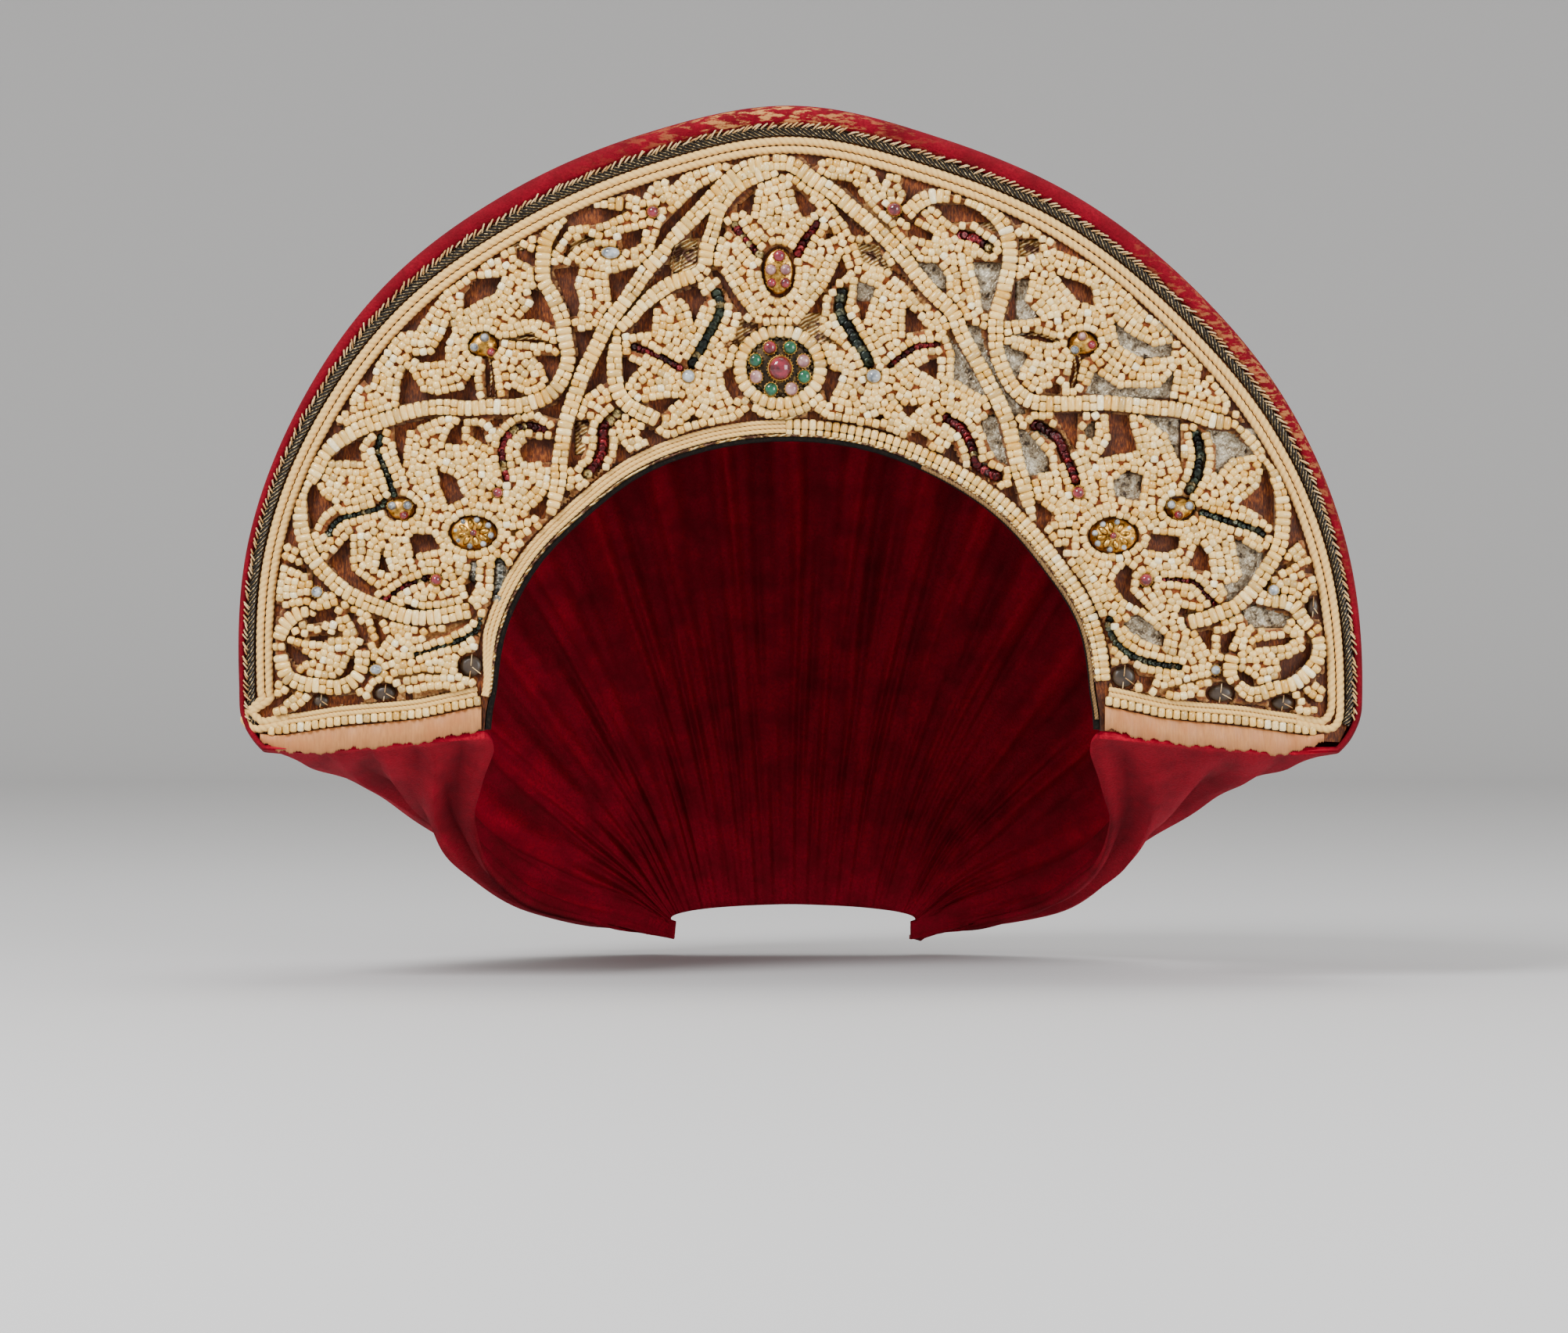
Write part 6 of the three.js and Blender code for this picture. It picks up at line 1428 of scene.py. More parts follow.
def build_rim(settings):
    """Trims round the rim: a twill braid with a flat rounded section, then two plied cords and the hem
    stitches."""
    t = np.linspace(-97.6, 97.6, 700)
    line = on_front(rim_inset(t, velvet_front(t) + BRAID_GAP + BRAID_WIDTH / 2), 0.3)
    side, out = frames_on_front(line)
    half = BRAID_WIDTH / 2
    profile = np.array([
        [-half, 0], [half, 0], [half * 1.02, 0.7], [half * 0.8, 1.25], [half * 0.3, 1.5], [-half * 0.3, 1.5],
        [-half * 0.8, 1.25], [-half * 1.02, 0.7],
    ])
    corners, quads, tris = swept(line, side, out, profile)
    length = lengths_along(line)
    across = np.tile(np.arange(len(profile)) * 0.7, len(t))
    uv = np.stack([np.repeat(length, len(profile)), across], 1)
    uv = np.concatenate([uv, [[0, 0], [length[-1], 0]]])
    make_piece("rim_braid", corners, [quads, tris], finish_of("braid"), ["edge_braid"], uv=uv)
    t = np.linspace(-94.4, 94.4, 220)
    for word, extra, phase in (
        ("outer", BRAID_WIDTH + BRAID_GAP, 0.0), ("inner", BRAID_WIDTH + CORD_WIDTH + 0.75, 1.2),
    ):
        corner = np.array(CORNER_CORDS[word], float)
        xz = rim_inset(t, velvet_front(t) + BRAID_GAP + extra + 1.0)
        line = on_front(smooth_line(np.concatenate([corner[::-1] * [-1, 1], xz, corner]), 0.31), 1.25)
        cord = twisted_cord(line, 1.13, settings.cord_lay * 1000, 12, phase)
        add_group(f"rim_cord_{word}_plied", cord, "cord", nodes=[f"rim_cord_{word}"])
    rng = np.random.default_rng(31)
    t = np.arange(-96.8, 96.4, 0.55)
    t = t + rng.normal(0, 0.14, len(t))
    low = rim_inset(t, velvet_front(t) + 0.7 + rng.normal(0, 0.2, len(t)))
    high = rim_inset(t + 0.75, velvet_front(t) - 0.45 + rng.normal(0, 0.3, len(t)))
    add_threads(
        "rim_stitches", low, high, 2.0, np.where(velvet_front(t) > 3, 2.5, 2.2), 0.2, 32, 0.45
    )


def add_threads(name, low, high, low_rise, high_rise, radius, seed, lift):
    """Short stitches from one place to another: five rings of a six sided thread that arches between its
    ends."""
    count = len(low)
    share = np.array([-0.06, 0.2, 0.5, 0.8, 1.06])
    low_rise, high_rise = (np.broadcast_to(rise, (count,))[:, None] for rise in (low_rise, high_rise))
    rise = low_rise * (1 - share) + high_rise * share + lift * np.array([-1.4, 0.75, 1, 0.75, -1.4])
    line = on_front(low[:, None] + (high - low)[:, None] * share[:, None], rise)
    run = (high - low) / np.maximum(np.linalg.norm(high - low, axis=1, keepdims=True), 1e-6)
    side = np.stack([-run[:, 1], np.zeros(count), run[:, 0]], 1)
    ring = side[:, None, None] * circle(6)[:, :1] + FRONT * circle(6)[:, 1:]
    corners = (line[:, :, None] + ring * radius).reshape(count, 30, 3)
    corners = np.concatenate([corners, line[:, :1], line[:, -1:]], 1)
    quads, tris = tube_faces(5, 6)
    tint = np.repeat(tones(count, seed, [(5, "#FFFFFF"), (3, "#F4E4C4"), (2, "#DCC49A")]), 32, 0)
    group = (corners.reshape(-1, 3), copies(quads, count, 32), copies(tris, count, 32), tint)
    return add_group(name, group, "thread")


def build_bottom_borders():
    """Along each side's lower edge: two plied cords, then a row of upright beads."""
    for word, side in (("left", -1), ("right", 1)):
        rows = np.array([end_point(side, row) for row in BORDER_TOP])
        line = smooth_line(rows, 0.35)
        cords = [
            twisted_cord(on_front(line - [0, drop], 1.35), 0.72, 2.2, 10, phase)
            for drop, phase in ((0.75, 0.0), (2.1, 1.0))
        ]
        add_group(f"bottom_cords_{word}", join(*cords), "cord", [f"bottom_bead_border_{word}"])
        line = smooth_line(rows, 2.0)
        count = len(line)
        rng = np.random.default_rng(41 + side)
        upright = np.array([[0.0, 1.0]]) + rng.normal(0, 0.07, (count, 2))
        length = 2.5 + rng.normal(0, 0.12, count)
        tint = tones(count, 42 + side, BEAD_TONES)
        beads = barrels(line - [0, 3.9], upright, 1.5, length, 1.95, 1.9, tint)
        add_group(f"bottom_beads_{word}", beads, "beads")


def build_ribbons():
    """Ribbon along each lower edge: a strip that waves a little, with a frayed hem; both faces and the
    edges."""
    for word, side in (("left", -1), ("right", 1)):
        table = np.array(RIBBON_TOP + RIBBON_END)
        first, last = RIBBON_TOP[0][0], table[-1, 0]
        start = abs(opening_point(side * 90.0)[0]) + (first - 52) * 1.5
        count, rows = 260, 14
        across = np.linspace(first, last, count)
        up = along(table[:, 0], table[:, 1], across)
        narrow = np.interp(across, [80, 85, 90, 93.6], [1, 1, 0.62, 0.3])
        end = last / 100 * HALF_WIDTH
        x = side * (start + (end - start) * (across - first) / (last - first))
        top = np.stack([x, place(np.stack([np.zeros(count), up], 1))[:, 1]], 1)
        share = np.linspace(0, 1, rows)
        rng = np.random.default_rng(51 + side)
        hem = 0.35 * np.sin(x * 0.5) + 0.3 * np.sin(x * 1.7) + 0.28 * rng.normal(0, 0.5, count)
        depth = (RIBBON_WIDTH * narrow)[:, None] * share + hem[:, None] * share ** 6
        xz = np.stack([np.repeat(top[:, :1], rows, 1), top[:, 1:] - depth], -1)
        pull = np.sin(
            x * 1.1 + 0.6 * np.sin(x * 0.37)
        )[:, None] * (1 - share) ** 2 + np.sin(x * 0.8)[:, None] * share
        rise = 0.85 + 0.22 * pull + 0.35 * np.sin(np.pi * share) + 1.1 * np.clip(
            (across - 88) / 5, 0, 1
        )[:, None]
        front = on_front(xz, rise)
        back = on_front(xz, rise - 0.4)
        uv = np.tile(np.stack([np.repeat(np.abs(x)[:, None], rows, 1), depth], -1).reshape(-1, 2), (2, 1))
        fade = np.clip(1 - 0.35 * share ** 3, 0, 1)[None, :, None] * np.ones((count, rows, 3))
        tint = np.tile(fade.reshape(-1, 3), (2, 1))
        corners = np.concatenate([front.reshape(-1, 3), back.reshape(-1, 3)])
        piece = make_piece(
            f"ribbon_{word}_strip", corners, [
                closed_sheet(count, rows, side > 0)
            ], finish_of("ribbon"),
            [f"ribbon_{word}"], uv=uv, tint=tint,
        )


def velvet_middle(u):
    """Middle surface of the velvet, 13 rows from the fold on the face to the nape, for stations u from -130
    to 130: a rim curve drawn smaller toward the nape; past 100 the row runs under to its foot."""
    size = np.abs(u)
    t = np.clip(u, -100, 100)
    under = np.clip((size - 100) / 30, 0, 1)
    side = np.sign(u)
    flat = np.clip(under * 4, 0, 1)
    rows = []
    end = rim_point(100.0)
    foot_front = opening_point(100.0)
    for share, y in zip(LIP_SHARE, LIP_Y):
        xz = rim_inset(t, share * velvet_front(t))
        corner = rim_inset(side * 100, share * velvet_front(100.0) * (1 - flat))
        x = np.where(
            under > 0, corner[:, 0] + (side * (foot_front[0] + 1.5) - corner[:, 0]) * under, xz[:, 0]
        )
        z = np.where(
            under > 0, corner[:, 1] + (foot_front[1] + 1 - corner[:, 1]) * under - 1.6 * flat, xz[:, 1]
        )
        rows.append(np.stack([x, FRONT_Y + y + (max(y, 1.4 - 0.9 * share) - y) * flat + bow(x), z], 1))
    rim = rim_point(t)
    top = rim_point(0.0)[1]
    for depth, share, ridge, corner, foot_x, foot_z in CAP_ROWS:
        ridge, corner, foot = (SPRING_Z + up * RISE for up in (ridge, corner, foot_z))
        x = rim[:, 0] * share
        z = corner + (rim[:, 1] - end[1]) * (ridge - corner) / (top - end[1])
        y = FRONT_Y + depth * CAP_DEPTH + bow(x) * max(0, 1 - depth * 1.9)
        fx = side * foot_x * OPENING_HALF_WIDTH
        rows.append(
            np.stack([x + (fx - x) * under, y, z + (foot - z) * under - 3 * np.sin(np.pi * under)], 1)
        )
    return np.stack(rows, 0)


def build_velvet():
    """Velvet from the fold on the face round the rim and back over the head to the nape: the middle surface
    moved out by gathers that deepen from the rim and by small creases, and the same surface 1.6 mm inside
    it."""
    u = np.concatenate(
        [np.linspace(-130, -100, 16)[:-1], np.linspace(-100, 100, 521), np.linspace(100, 130, 16)[1:]]
    )
    middle = velvet_middle(u)
    v = np.concatenate([np.linspace(0, 4, 21)[:-1], np.linspace(4, 12, 70)])
    surface = along(np.arange(13), middle, v)
    back = np.clip((v - 5) / 7, 0, 1)[:, None]
    swell = np.sin(np.pi * np.minimum(1, back * 1.25))
    fold = GATHER_DEPTH * swell * np.cos(u / 100 * np.pi * CAP_GATHERS)
    rng = np.random.default_rng(61)
    crease = np.zeros((len(v), len(u)))
    for _ in range(CREASES):
        count, slant, start = rng.uniform(18, 70), rng.normal(0, 2.0), rng.uniform(0, 6.28)
        crease += rng.uniform(0.1, 0.3) * np.cos(u / 100 * np.pi * count + v[:, None] * slant + start)
    nap = np.clip((v[:, None] - FOLD_ROW) / 1.2, 0, 1)
    under = np.clip((np.abs(u) - 100) / 30, 0, 1)
    swing = np.clip(
        (v[:, None] - 4.2) / 0.8, 0, 1
    ) * np.clip((12 - v[:, None]) / 5, 0, 1) * np.clip(under * 6, 0, 1)
    pucker = np.cos(under * 30 + 0.5 * v[:, None]) + 0.5 * np.cos(under * 61 + 1.3 * np.sign(u) - v[:, None])
    crease = crease * nap * (0.35 + 0.9 * back) * np.clip((12 - v[:, None]) / 1.2, 0.15, 1)
    fold = (fold + crease) * (1 - 0.75 * under * back) + 1.25 * swing * pucker
    run_u = np.gradient(surface, axis=1)
    run_v = np.gradient(surface, axis=0)
    normal = np.cross(run_u, run_v)
    normal /= np.maximum(np.linalg.norm(normal, axis=-1, keepdims=True), 1e-9)
    wall = np.interp(v, [0, 4, 6], [1.0, 1.1, 1.6])[:, None, None]
    outside = surface + normal * fold[..., None]
    inside = outside - normal * wall
    # Painted shade for the tint: darker in the hollows of the gathers and puckers, toward the back of the
    # cap, and on the front strip over the rim.
    groove = np.clip(0.5 + 0.5 * fold / (GATHER_DEPTH + 0.6), 0, 1)
    groove = groove * (1 - 0.5 * swing * np.clip(0.4 - 0.5 * pucker, 0, 1))
    shade = (0.4 + 0.6 * groove) * (1 - 0.25 * nap * back)
    shade = np.where(v[:, None] < FOLD_ROW, 1.0, shade)
    rim_shade = np.interp(v, [0, FOLD_ROW, 5.5, 8], [0.42, 0.42, 0.6, 1.0])[:, None]
    shade = shade * np.where(under > 0, 1.0, rim_shade)
    across = surface[..., 0] / 1.5
    front = v[:, None] < 3.2
    worn_top = np.exp(-((across + 4) / 16) ** 2) * (surface[..., 2] > 0)
    worn_side = 0.55 * np.exp(-((surface[..., 2] + 10) / 30) ** 2) * (across > 60)
    bald = np.where(front, np.clip(worn_top + worn_side, 0, 1), 0)
    tint = np.tile(np.repeat(shade.reshape(-1, 1), 3, 1), (2, 1))
    corners = np.concatenate([outside.reshape(-1, 3), inside.reshape(-1, 3)])
    piece = make_piece(
        "velvet_gathered", corners, [closed_sheet(len(v), len(u), True)], finish_of("velvet"),
        ["velvet_cap"], tint=tint, shares={"bald": np.tile(bald.ravel(), 2)},
    )


def build_sequins():
    """Strings of overlapping sequins in the channels: cupped discs, each leaning on the next."""
    shape = turned_shape([[0, -0.12], [0.95, -0.1], [1, 0.02], [0.55, 0.22], [0.22, 0.1], [0, 0.1]], 12)
    parts = []
    rng = np.random.default_rng(71)
    for k, (kind, width, points) in enumerate(CHANNELS):
        big = k in (9, 12)
        line = smooth_line(place(points), 1.9 if big else 1.3)
        run = directions(line)
        count = len(line)
        xz = line + rng.normal(0, 0.12 + 0.1 * width, (count, 2)) * 0.5
        ahead, side, out = front_axes(xz, run)
        lean = rng.normal(0.35, 0.15, (count, 1))
        tip = out + ahead * lean + side * rng.normal(0, 0.12, (count, 1))
        tip /= np.linalg.norm(tip, axis=1, keepdims=True)
        right = np.cross(ahead, tip)
        right /= np.linalg.norm(right, axis=1, keepdims=True)
        up = np.cross(tip, right)
        radius = (1.6 if big else np.clip(width * 0.8, 0.8, 1.35)) * rng.uniform(0.88, 1.1, (count, 1))
        choices = {"red": RED_TONES, "green": GREEN_TONES, "grey": GREY_TONES}[kind]
        centres = on_front(xz, 1.5 + rng.normal(0, 0.15, count))
        tint = tones(count, 72 + k, choices)
        parts.append(stamp(shape, centres, right * radius, up * radius, tip * radius, tint))
    add_group("sequin_strings", join(*parts), "sequins")


def dome_piece(node, finish):
    """A polished stone in the place of a CAD stone: an oval dome from its foot to its top."""
    middle, half, foot, top = oval_of(node)
    dome = seat(turned_shape(DOME, 28), middle, foot, half[0] * 1.1, half[1] * 1.1, (top - foot) * 1.15)
    add_group(f"{node}_cabochon", dome, finish, nodes=[node])


def collets(name, nodes, height):
    """Gilt rims round stones: a ring with small grains on it, a little over the stone's foot."""
    ring = ring_shape([[1.02, 0], [1.16, 0], [1.18, 0.5], [1.14, 1], [1.06, 0.9]], 26)
    parts = []
    for node in nodes:
        middle, half, foot, top = oval_of(node)
        parts.append(seat(ring, middle, foot - 0.35, half[0], half[1], (top - foot) * height * 1.3))
        count = max(8, int(2 * math.pi * half.mean() * 1.3 / 0.85))
        grains = middle + circle(count) * half * 1.22
        parts.append(seat(turned_shape(GRAIN, 7), grains, foot + 0.1, 0.2, 0.2, 0.2))
    add_group(name, join(*parts), "gilt")


def build_settings():
    """Medallion, crest panel, oval flowers and trefoils with their stones."""
    plate = turned_shape([[0, 0], [0.9, 0], [0.97, 0.5], [0.93, 0.86], [0.86, 1], [0, 1]], 60)
    middle, half, foot, top = oval_of("medallion_setting")
    parts = [
        seat(plate, middle, foot, half[0], half[1], top - foot),
        seat(turned_shape(GRAIN, 9), middle + circle(30) * (half - 0.45), top - 0.35, 0.75, 0.75, 0.75),
    ]
    add_group("medallion_plate", join(*parts), "bronze", nodes=["medallion_setting"])

    inner = half + 0.3
    middle, half, _, _ = oval_of("medallion_bead_ring")
    size = (half + inner) / 2
    count = int(2 * math.pi * size.mean() / 2.05)
    radial = circle(count, 0.1)
    rng = np.random.default_rng(81)
    group = barrels(
        middle + radial * size, radial / size + rng.normal(
            0, 0.004, (count, 2)
        ), 1.9, (half - inner).mean() + 0.75,
        2.3, 2.7, tones(count, 82, BEAD_TONES), 12,
    )
    add_group("medallion_beads", group, "beads", nodes=["medallion_bead_ring"])

    middle, half, foot, top = oval_of("crest_setting")
    add_group(
        "crest_plate", seat(
            plate, middle, foot, half[0], half[1], top - foot
        ), "gilt", nodes=["crest_setting"],
    )

    stones = sorted(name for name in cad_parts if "stone" in name)
    for node in stones:
        dome_piece(node, f"glass_{stone_colour(node)}")
    for group, height in (("medallion", 0.55), ("crest", 0.55), ("stone", 0.5)):
        collets(f"{group}_collets", [name for name in stones if name.startswith(group)], height)
    build_flowers()


def stone_colour(node):
    """The colour of a stone's slot in the record."""
    for kind, members in STONE_COLOURS.items():
        if node in members:
            return kind
    raise RuntimeError(f"no colour is given for {node}")


def build_flowers():
    """Oval flowers with eight petals and grey seeds, and trefoils with three domes in grained rims."""
    base = turned_shape([[0, 0], [0.95, 0], [1, 0.35], [0.9, 0.6], [0, 0.68]], 40)
    petal = turned_shape([[0, 0], [0.9, 0.1], [1, 0.35], [0.7, 0.8], [0, 1]], 12)
    seed = turned_shape(DOME, 12)
    for name in ("oval_flower_left", "oval_flower_right"):
        middle, half, foot, top = oval_of(name)
        height = top - foot
        ring = circle(8, 0.2)
        radial = np.stack([ring[:, 0], np.zeros(8), ring[:, 1]], 1)
        across = np.cross(np.tile(FRONT, (8, 1)), radial)
        petals = on_front(middle + ring * half * 0.5, foot + height * 0.55)
        parts = [
            seat(base, middle, foot, half[0], half[1], height),
            stamp(petal, petals, radial * 1.5, across * 0.85, np.ones((8, 1)) * FRONT * 1.3),
        ]
        add_group(f"{name}_petals", join(*parts), "gilt", nodes=[name])
        seeds = middle + circle(8, 0.2 + np.pi / 8) * half * 0.78
        add_group(f"{name}_seeds", seat(seed, seeds, foot + height * 0.5, 0.85, 0.85, 1.1), "glass_grey")
        add_group(f"{name}_middle", seat(seed, middle, foot + height * 0.7, 0.95, 0.9, 1.3), "glass_pink")
    plate = turned_shape([[0, 0], [0.9, 0], [1, 0.3], [0.9, 0.55], [0, 0.6]], 30)
    ring = ring_shape([[0.86, 0], [1.2, 0], [1.22, 0.5], [1.05, 1], [0.9, 0.8]], 22)
    grain = turned_shape(GRAIN, 7)
    for node, stones in TREFOILS:
        middle, half, foot, top = oval_of(node)
        parts = [seat(plate, middle, foot, half[0] * 0.92, half[1] * 0.92, top - foot)]
        for _, across, up in stones:
            at = place([across, up])
            parts.append(seat(ring, at, foot + 1.2, 1.25, 1.25, 1.6))
            parts.append(seat(grain, at + circle(12) * 1.5, foot + 1.7, 0.3, 0.3, 0.3))
        add_group(f"{node}_setting", join(*parts), "gilt", nodes=[node])
        for number, (kind, across, up) in enumerate(stones):
            dome = seat(turned_shape(DOME, 22), place([across, up]), foot + 1.6, 1.2, 1.2, top - foot - 1.6)
            add_group(f"{node}_stone_{number + 1}", dome, f"glass_{kind}")


def build_discs():
    """Dark discs, slightly domed, each held by stitches from its rim toward its middle."""
    shape = turned_shape([[0, 0], [0.96, 0], [1, 0.35], [0.94, 0.8], [0.6, 0.96], [0, 1]], 32)
    turn = np.array([1.5, 4.6, 5.6])
    ring = np.stack([np.cos(turn), np.sin(turn)], 1)
    lows, highs, rises = [], [], []
    for node in sorted(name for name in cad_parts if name.startswith("disc_")):
        middle, half, foot, top = oval_of(node)
        group = seat(shape, middle, foot, half[0], half[1], top - foot + 0.6)
        add_group(f"{node}_plate", group, "disc", nodes=[node])
        lows.append(middle + ring * half * 1.1)
        highs.append(middle + ring * half * [[0.1], [0.5], [0.2]])
        rises.append(np.full(3, top + 0.75))
    low, high, rise = np.concatenate(lows), np.concatenate(highs), np.concatenate(rises)
    add_threads("disc_stitches", low, high, rise - 0.1, rise, 0.13, 91, 0.15)


def build_ground():
    """Worn foil and couched gold on the silk ground: crumpled patches 0.4 mm thick, each a bumpy net with
    its rim turned down to the board."""
    for kind in ("foil", "gold"):
        parts = []
        for k, (sort, left, right, low, high) in enumerate(PATCHES):
            if sort != kind:
                continue
            a, b = place([left, low]), place([right, high])
            nx, nz = (max(4, int(side / 0.45)) for side in b - a)
            x, z = np.meshgrid(np.linspace(a[0], b[0], nx), np.linspace(a[1], b[1], nz), indexing="ij")
            rng = np.random.default_rng(100 + k)
            rise = 0.5 + rng.uniform(-0.16, 0.3, x.shape)
            edge = np.minimum(np.minimum(x - a[0], b[0] - x), np.minimum(z - a[1], b[1] - z)) < 0.01
            rise = np.where(edge, 0.02, rise)
            top = on_front(np.stack([x, z], -1), rise)
            bottom = on_front(np.stack([x, z], -1), -0.2)
            corners = np.concatenate([top.reshape(-1, 3), bottom.reshape(-1, 3)])
            parts.append((corners, closed_sheet(nx, nz), np.zeros((0, 3), int), None))
        add_group(f"ground_{kind}", join(*parts), kind)


def build_details():
    """Gold wire under the medallion, thin cords in the hollow slits, and the brown gimp beside the lining."""
    wires = []
    for points, radius, rise in DETAIL_CORDS:
        line = smooth_line(place(points), 0.25)
        wires.append(twisted_cord(on_front(line, rise), radius, 1.1, 8))
    add_group("gold_wires", join(*wires), "gold")
    line = on_front(opening_inset(np.linspace(26, 97, 420), 0.55), 1.5)
    add_group("lining_gimp", twisted_cord(line, 0.55, 1.6, 8), "gimp")


# Stage

# Name, place, side in metres and power of each lamp
LAMPS = [
    ("lamp_key", (-0.75, -1.15, 0.95), 0.55, 13.0), ("lamp_fill", (1.0, -1.1, 0.1), 0.8, 7.0),
    ("lamp_top", (0.1, 0.15, 1.25), 0.8, 2.8),
]
SKY_LIGHT = 0.42
CAMERA_LENS = 131.4
CAMERA_AT = (-0.00215, -1.572, -0.0805)
FLOOR_DROP = 0.0045

def build_stage(settings):
    """Pale floor that bends up into a backdrop, three soft lamps and the camera of the photo."""
    low = CAD_LOW[2] - FLOOR_DROP
    turn = np.linspace(0, math.pi / 2, 17)
    radius, bend, far = 0.8, 2.6, 3.6
    profile = [(-far, low), (bend, low)]
    profile += [(bend + radius * math.sin(a), low + radius * (1 - math.cos(a))) for a in turn[1:]]
    profile += [(bend + radius, low + far)]
    count = len(profile)
    corners = [(side, y, z) for side in (-far, far) for y, z in profile]
    faces = [(k, count + k, count + k + 1, k + 1) for k in range(count - 1)]
    mesh = bpy.data.meshes.new("studio_floor")
    mesh.from_pydata(corners, [], faces)
    mesh.polygons.foreach_set("use_smooth", [True] * len(faces))
    mesh.update()
    finish, _, shader = new_finish("matt grey paper", Roughness=0.95, Specular_IOR_Level=0.1)
    shader.inputs["Base Color"].default_value = linear(settings.backdrop_colour)
    mesh.materials.append(finish)
    floor = bpy.data.objects.new("studio_floor", mesh)
    bpy.context.scene.collection.objects.link(floor)
    floor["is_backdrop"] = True
    for name, where, size, power in LAMPS:
        lamp = bpy.data.lights.new(name, "AREA")
        lamp.shape = "SQUARE"
        lamp.size = size
        lamp.energy = power * settings.light
        holder = bpy.data.objects.new(name, lamp)
        holder.location = where
        aim = Vector((0, -0.03, -0.05)) - Vector(where)
        holder.rotation_euler = aim.to_track_quat("-Z", "Y").to_euler()
        bpy.context.scene.collection.objects.link(holder)
    world = bpy.data.worlds.new("studio")
    world.use_nodes = True
    world.node_tree.nodes["Background"].inputs["Color"].default_value = linear("#F2F0EC")
    world.node_tree.nodes["Background"].inputs["Strength"].default_value = SKY_LIGHT * settings.light
    bpy.context.scene.world = world
    camera = bpy.data.cameras.new("photo_camera")
    camera.lens = CAMERA_LENS
    camera.sensor_width = 36
    holder = bpy.data.objects.new("photo_camera", camera)
    holder.location = CAMERA_AT
    holder.rotation_euler = (math.pi / 2, 0, 0)
    bpy.context.scene.collection.objects.link(holder)
    bpy.context.scene.camera = holder


# Add-on

class HeaddressSettings(PropertyGroup):
    bead_pitch: FloatProperty(
        name="Bead pitch", description="Distance between the middles of two beads in a row", default=0.00195,
        min=0.0015, max=0.003, unit="LENGTH",
    )
    cord_lay: FloatProperty(
        name="Cord lay", description="Length in which a strand of the rim cord turns once", default=0.0034,
        min=0.002, max=0.008, unit="LENGTH",
    )
    velvet_colour: FloatVectorProperty(
        name="Velvet", description="sRGB colour of the velvet pile", default=(0.74, 0.05, 0.18), size=3,
        min=0, max=1, subtype="COLOR_GAMMA",
    )
    cord_colour: FloatVectorProperty(
        name="Cord", description="sRGB colour of the plied cords", default=(
            0.90, 0.71, 0.38
        ), size=3, min=0, max=1,
        subtype="COLOR_GAMMA",
    )
    ribbon_colour: FloatVectorProperty(
        name="Ribbon", description="sRGB colour of the ribbon", default=(
            0.75, 0.46, 0.22
        ), size=3, min=0, max=1,
        subtype="COLOR_GAMMA",
    )
    backdrop_colour: FloatVectorProperty(
        name="Backdrop", description="sRGB colour of the floor and backdrop", default=(
            0.765, 0.765, 0.77
        ), size=3,
        min=0, max=1, subtype="COLOR_GAMMA",
    )
    light: FloatProperty(name="Light", description="Strength of all lamps", default=2.4, min=0.1, max=10)


class HEADDRESS_OT_ground(Operator):
    """Dress the board in silk, foil and couched gold, and line the face arch"""

    bl_idname = "headdress.ground"
    bl_label = "Ground"

    def execute(self, context):
        wear(["front_board"], "board")
        wear(["inner_band"], "lining")
        build_ground()
        return {"FINISHED"}


class HEADDRESS_OT_beadwork(Operator):
    """Stuff the padding and lay the bead rows and stems"""

    bl_idname = "headdress.beadwork"
    bl_label = "Beadwork"

    def execute(self, context):
        base, stem_edge, stems = make_fields()
        build_padding(base, stem_edge)
        build_bead_field(np.minimum(base, stem_edge), context.scene.headdress)
        build_stems(base, stems)
        return {"FINISHED"}


class HEADDRESS_OT_borders(Operator):
    """Lay the opening border, the bottom borders and the ribbons"""

    bl_idname = "headdress.borders"
    bl_label = "Borders"

    def execute(self, context):
        build_opening_border()
        build_details()
        build_bottom_borders()
        build_ribbons()
        return {"FINISHED"}


class HEADDRESS_OT_rim(Operator):
    """Lay the braid, the plied cords and the stitches round the rim"""

    bl_idname = "headdress.rim"
    bl_label = "Rim trims"

    def execute(self, context):
        build_rim(context.scene.headdress)
        return {"FINISHED"}


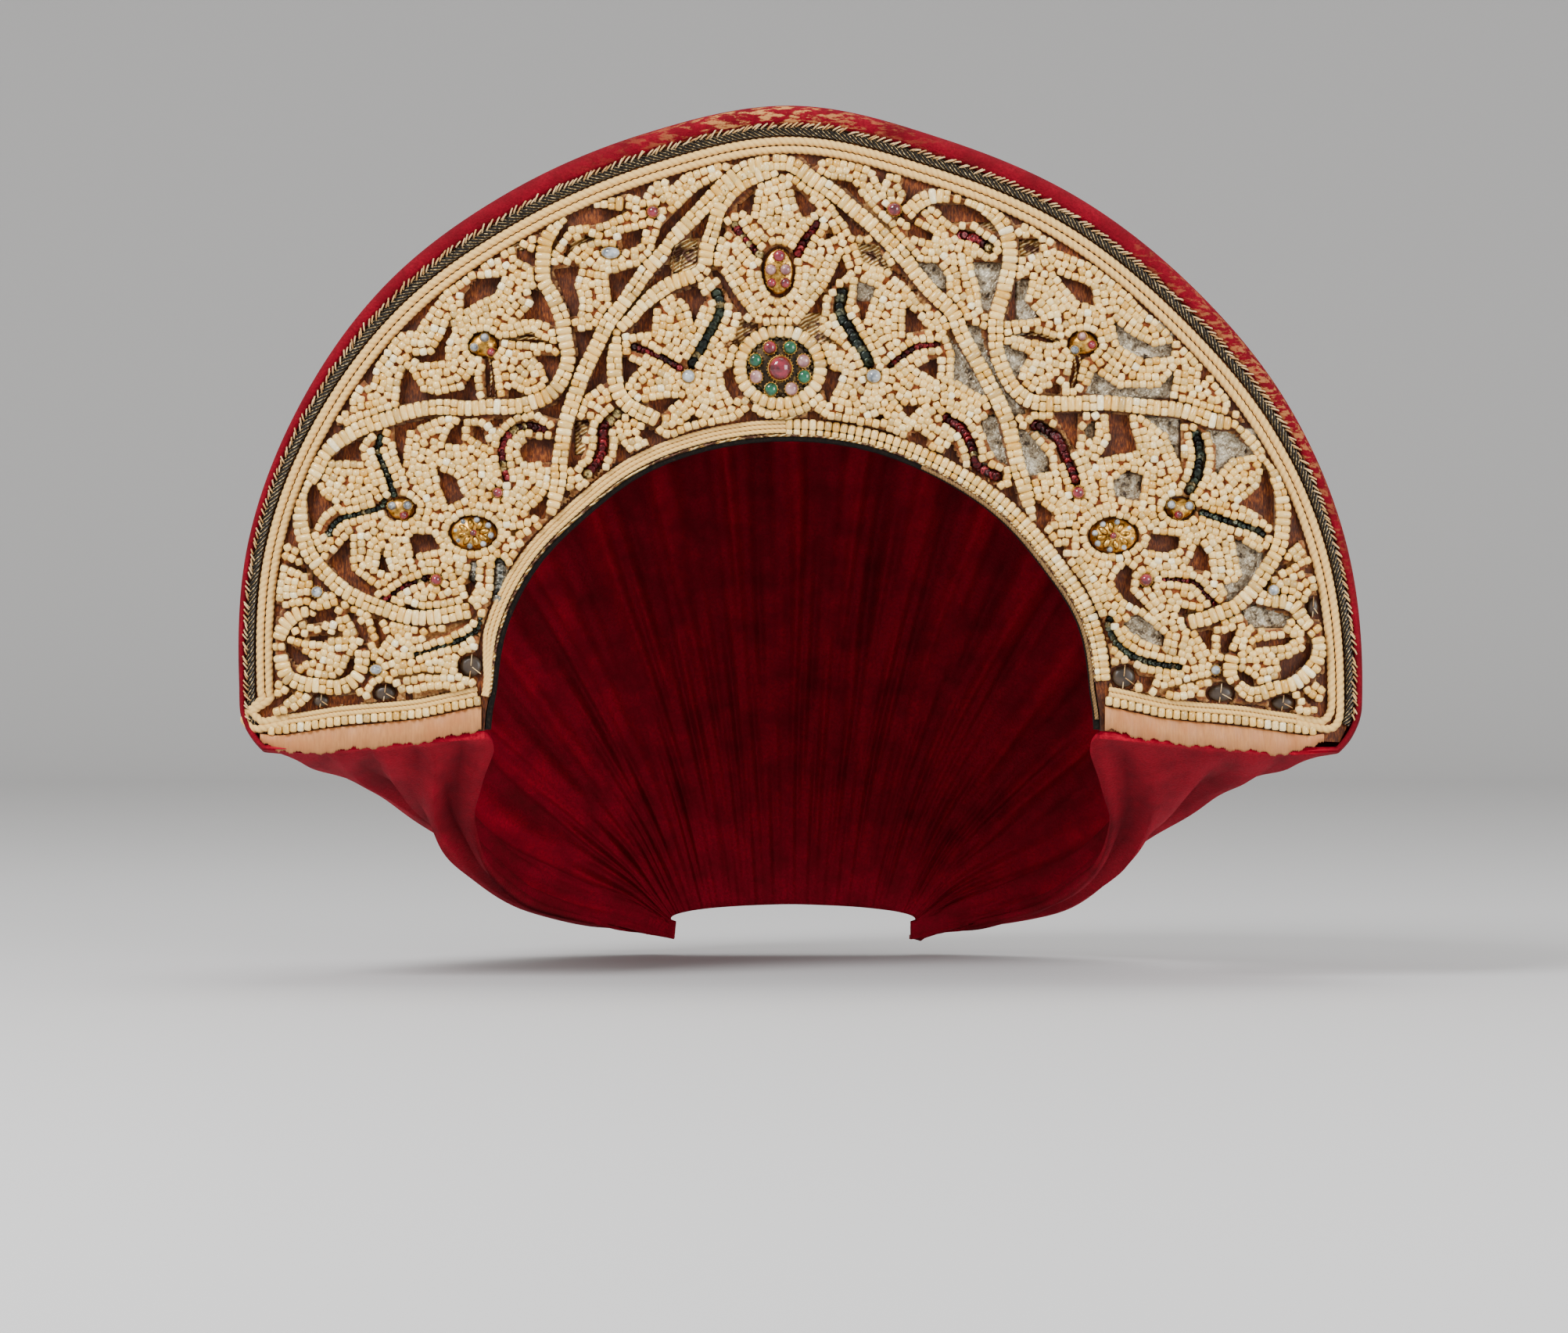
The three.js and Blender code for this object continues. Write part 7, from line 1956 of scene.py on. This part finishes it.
class HEADDRESS_OT_velvet(Operator):
    """Gather the velvet from the rim to the nape"""

    bl_idname = "headdress.velvet"
    bl_label = "Velvet"

    def execute(self, context):
        build_velvet()
        return {"FINISHED"}


class HEADDRESS_OT_stones(Operator):
    """Set the medallion, the crest panel, the flowers, the stones and the discs"""

    bl_idname = "headdress.stones"
    bl_label = "Stones and discs"

    def execute(self, context):
        build_settings()
        build_discs()
        return {"FINISHED"}


class HEADDRESS_OT_sequins(Operator):
    """String the sequins in their channels"""

    bl_idname = "headdress.sequins"
    bl_label = "Sequins"

    def execute(self, context):
        build_sequins()
        return {"FINISHED"}


class HEADDRESS_OT_stage(Operator):
    """Set the floor, the lamps and the camera"""

    bl_idname = "headdress.stage"
    bl_label = "Stage"

    def execute(self, context):
        build_stage(context.scene.headdress)
        return {"FINISHED"}


OPERATORS = [
    HEADDRESS_OT_ground, HEADDRESS_OT_beadwork, HEADDRESS_OT_borders, HEADDRESS_OT_rim, HEADDRESS_OT_velvet,
    HEADDRESS_OT_stones, HEADDRESS_OT_sequins, HEADDRESS_OT_stage,
]


class HEADDRESS_PT_tools(Panel):
    bl_label = "Headdress"
    bl_idname = "HEADDRESS_PT_tools"
    bl_space_type = "VIEW_3D"
    bl_region_type = "UI"
    bl_category = "Headdress"

    def draw(self, context):
        settings = context.scene.headdress
        for name in HeaddressSettings.__annotations__:
            self.layout.prop(settings, name)
        for operator in OPERATORS:
            self.layout.operator(operator.bl_idname)


def register():
    """Adds the settings, the operators and the panel."""
    for kind in [HeaddressSettings, *OPERATORS, HEADDRESS_PT_tools]:
        bpy.utils.register_class(kind)
    bpy.types.Scene.headdress = PointerProperty(type=HeaddressSettings)


def unregister():
    """Takes them out again."""
    del bpy.types.Scene.headdress
    for kind in [HEADDRESS_PT_tools, *reversed(OPERATORS), HeaddressSettings]:
        bpy.utils.unregister_class(kind)


def main():
    """Builds the whole headdress."""
    register()
    for operator in OPERATORS:
        group, name = operator.bl_idname.split(".")
        if getattr(getattr(bpy.ops, group), name)() != {"FINISHED"}:
            raise RuntimeError(f"{operator.bl_label} did not finish")


if __name__ == "__main__":
    main()
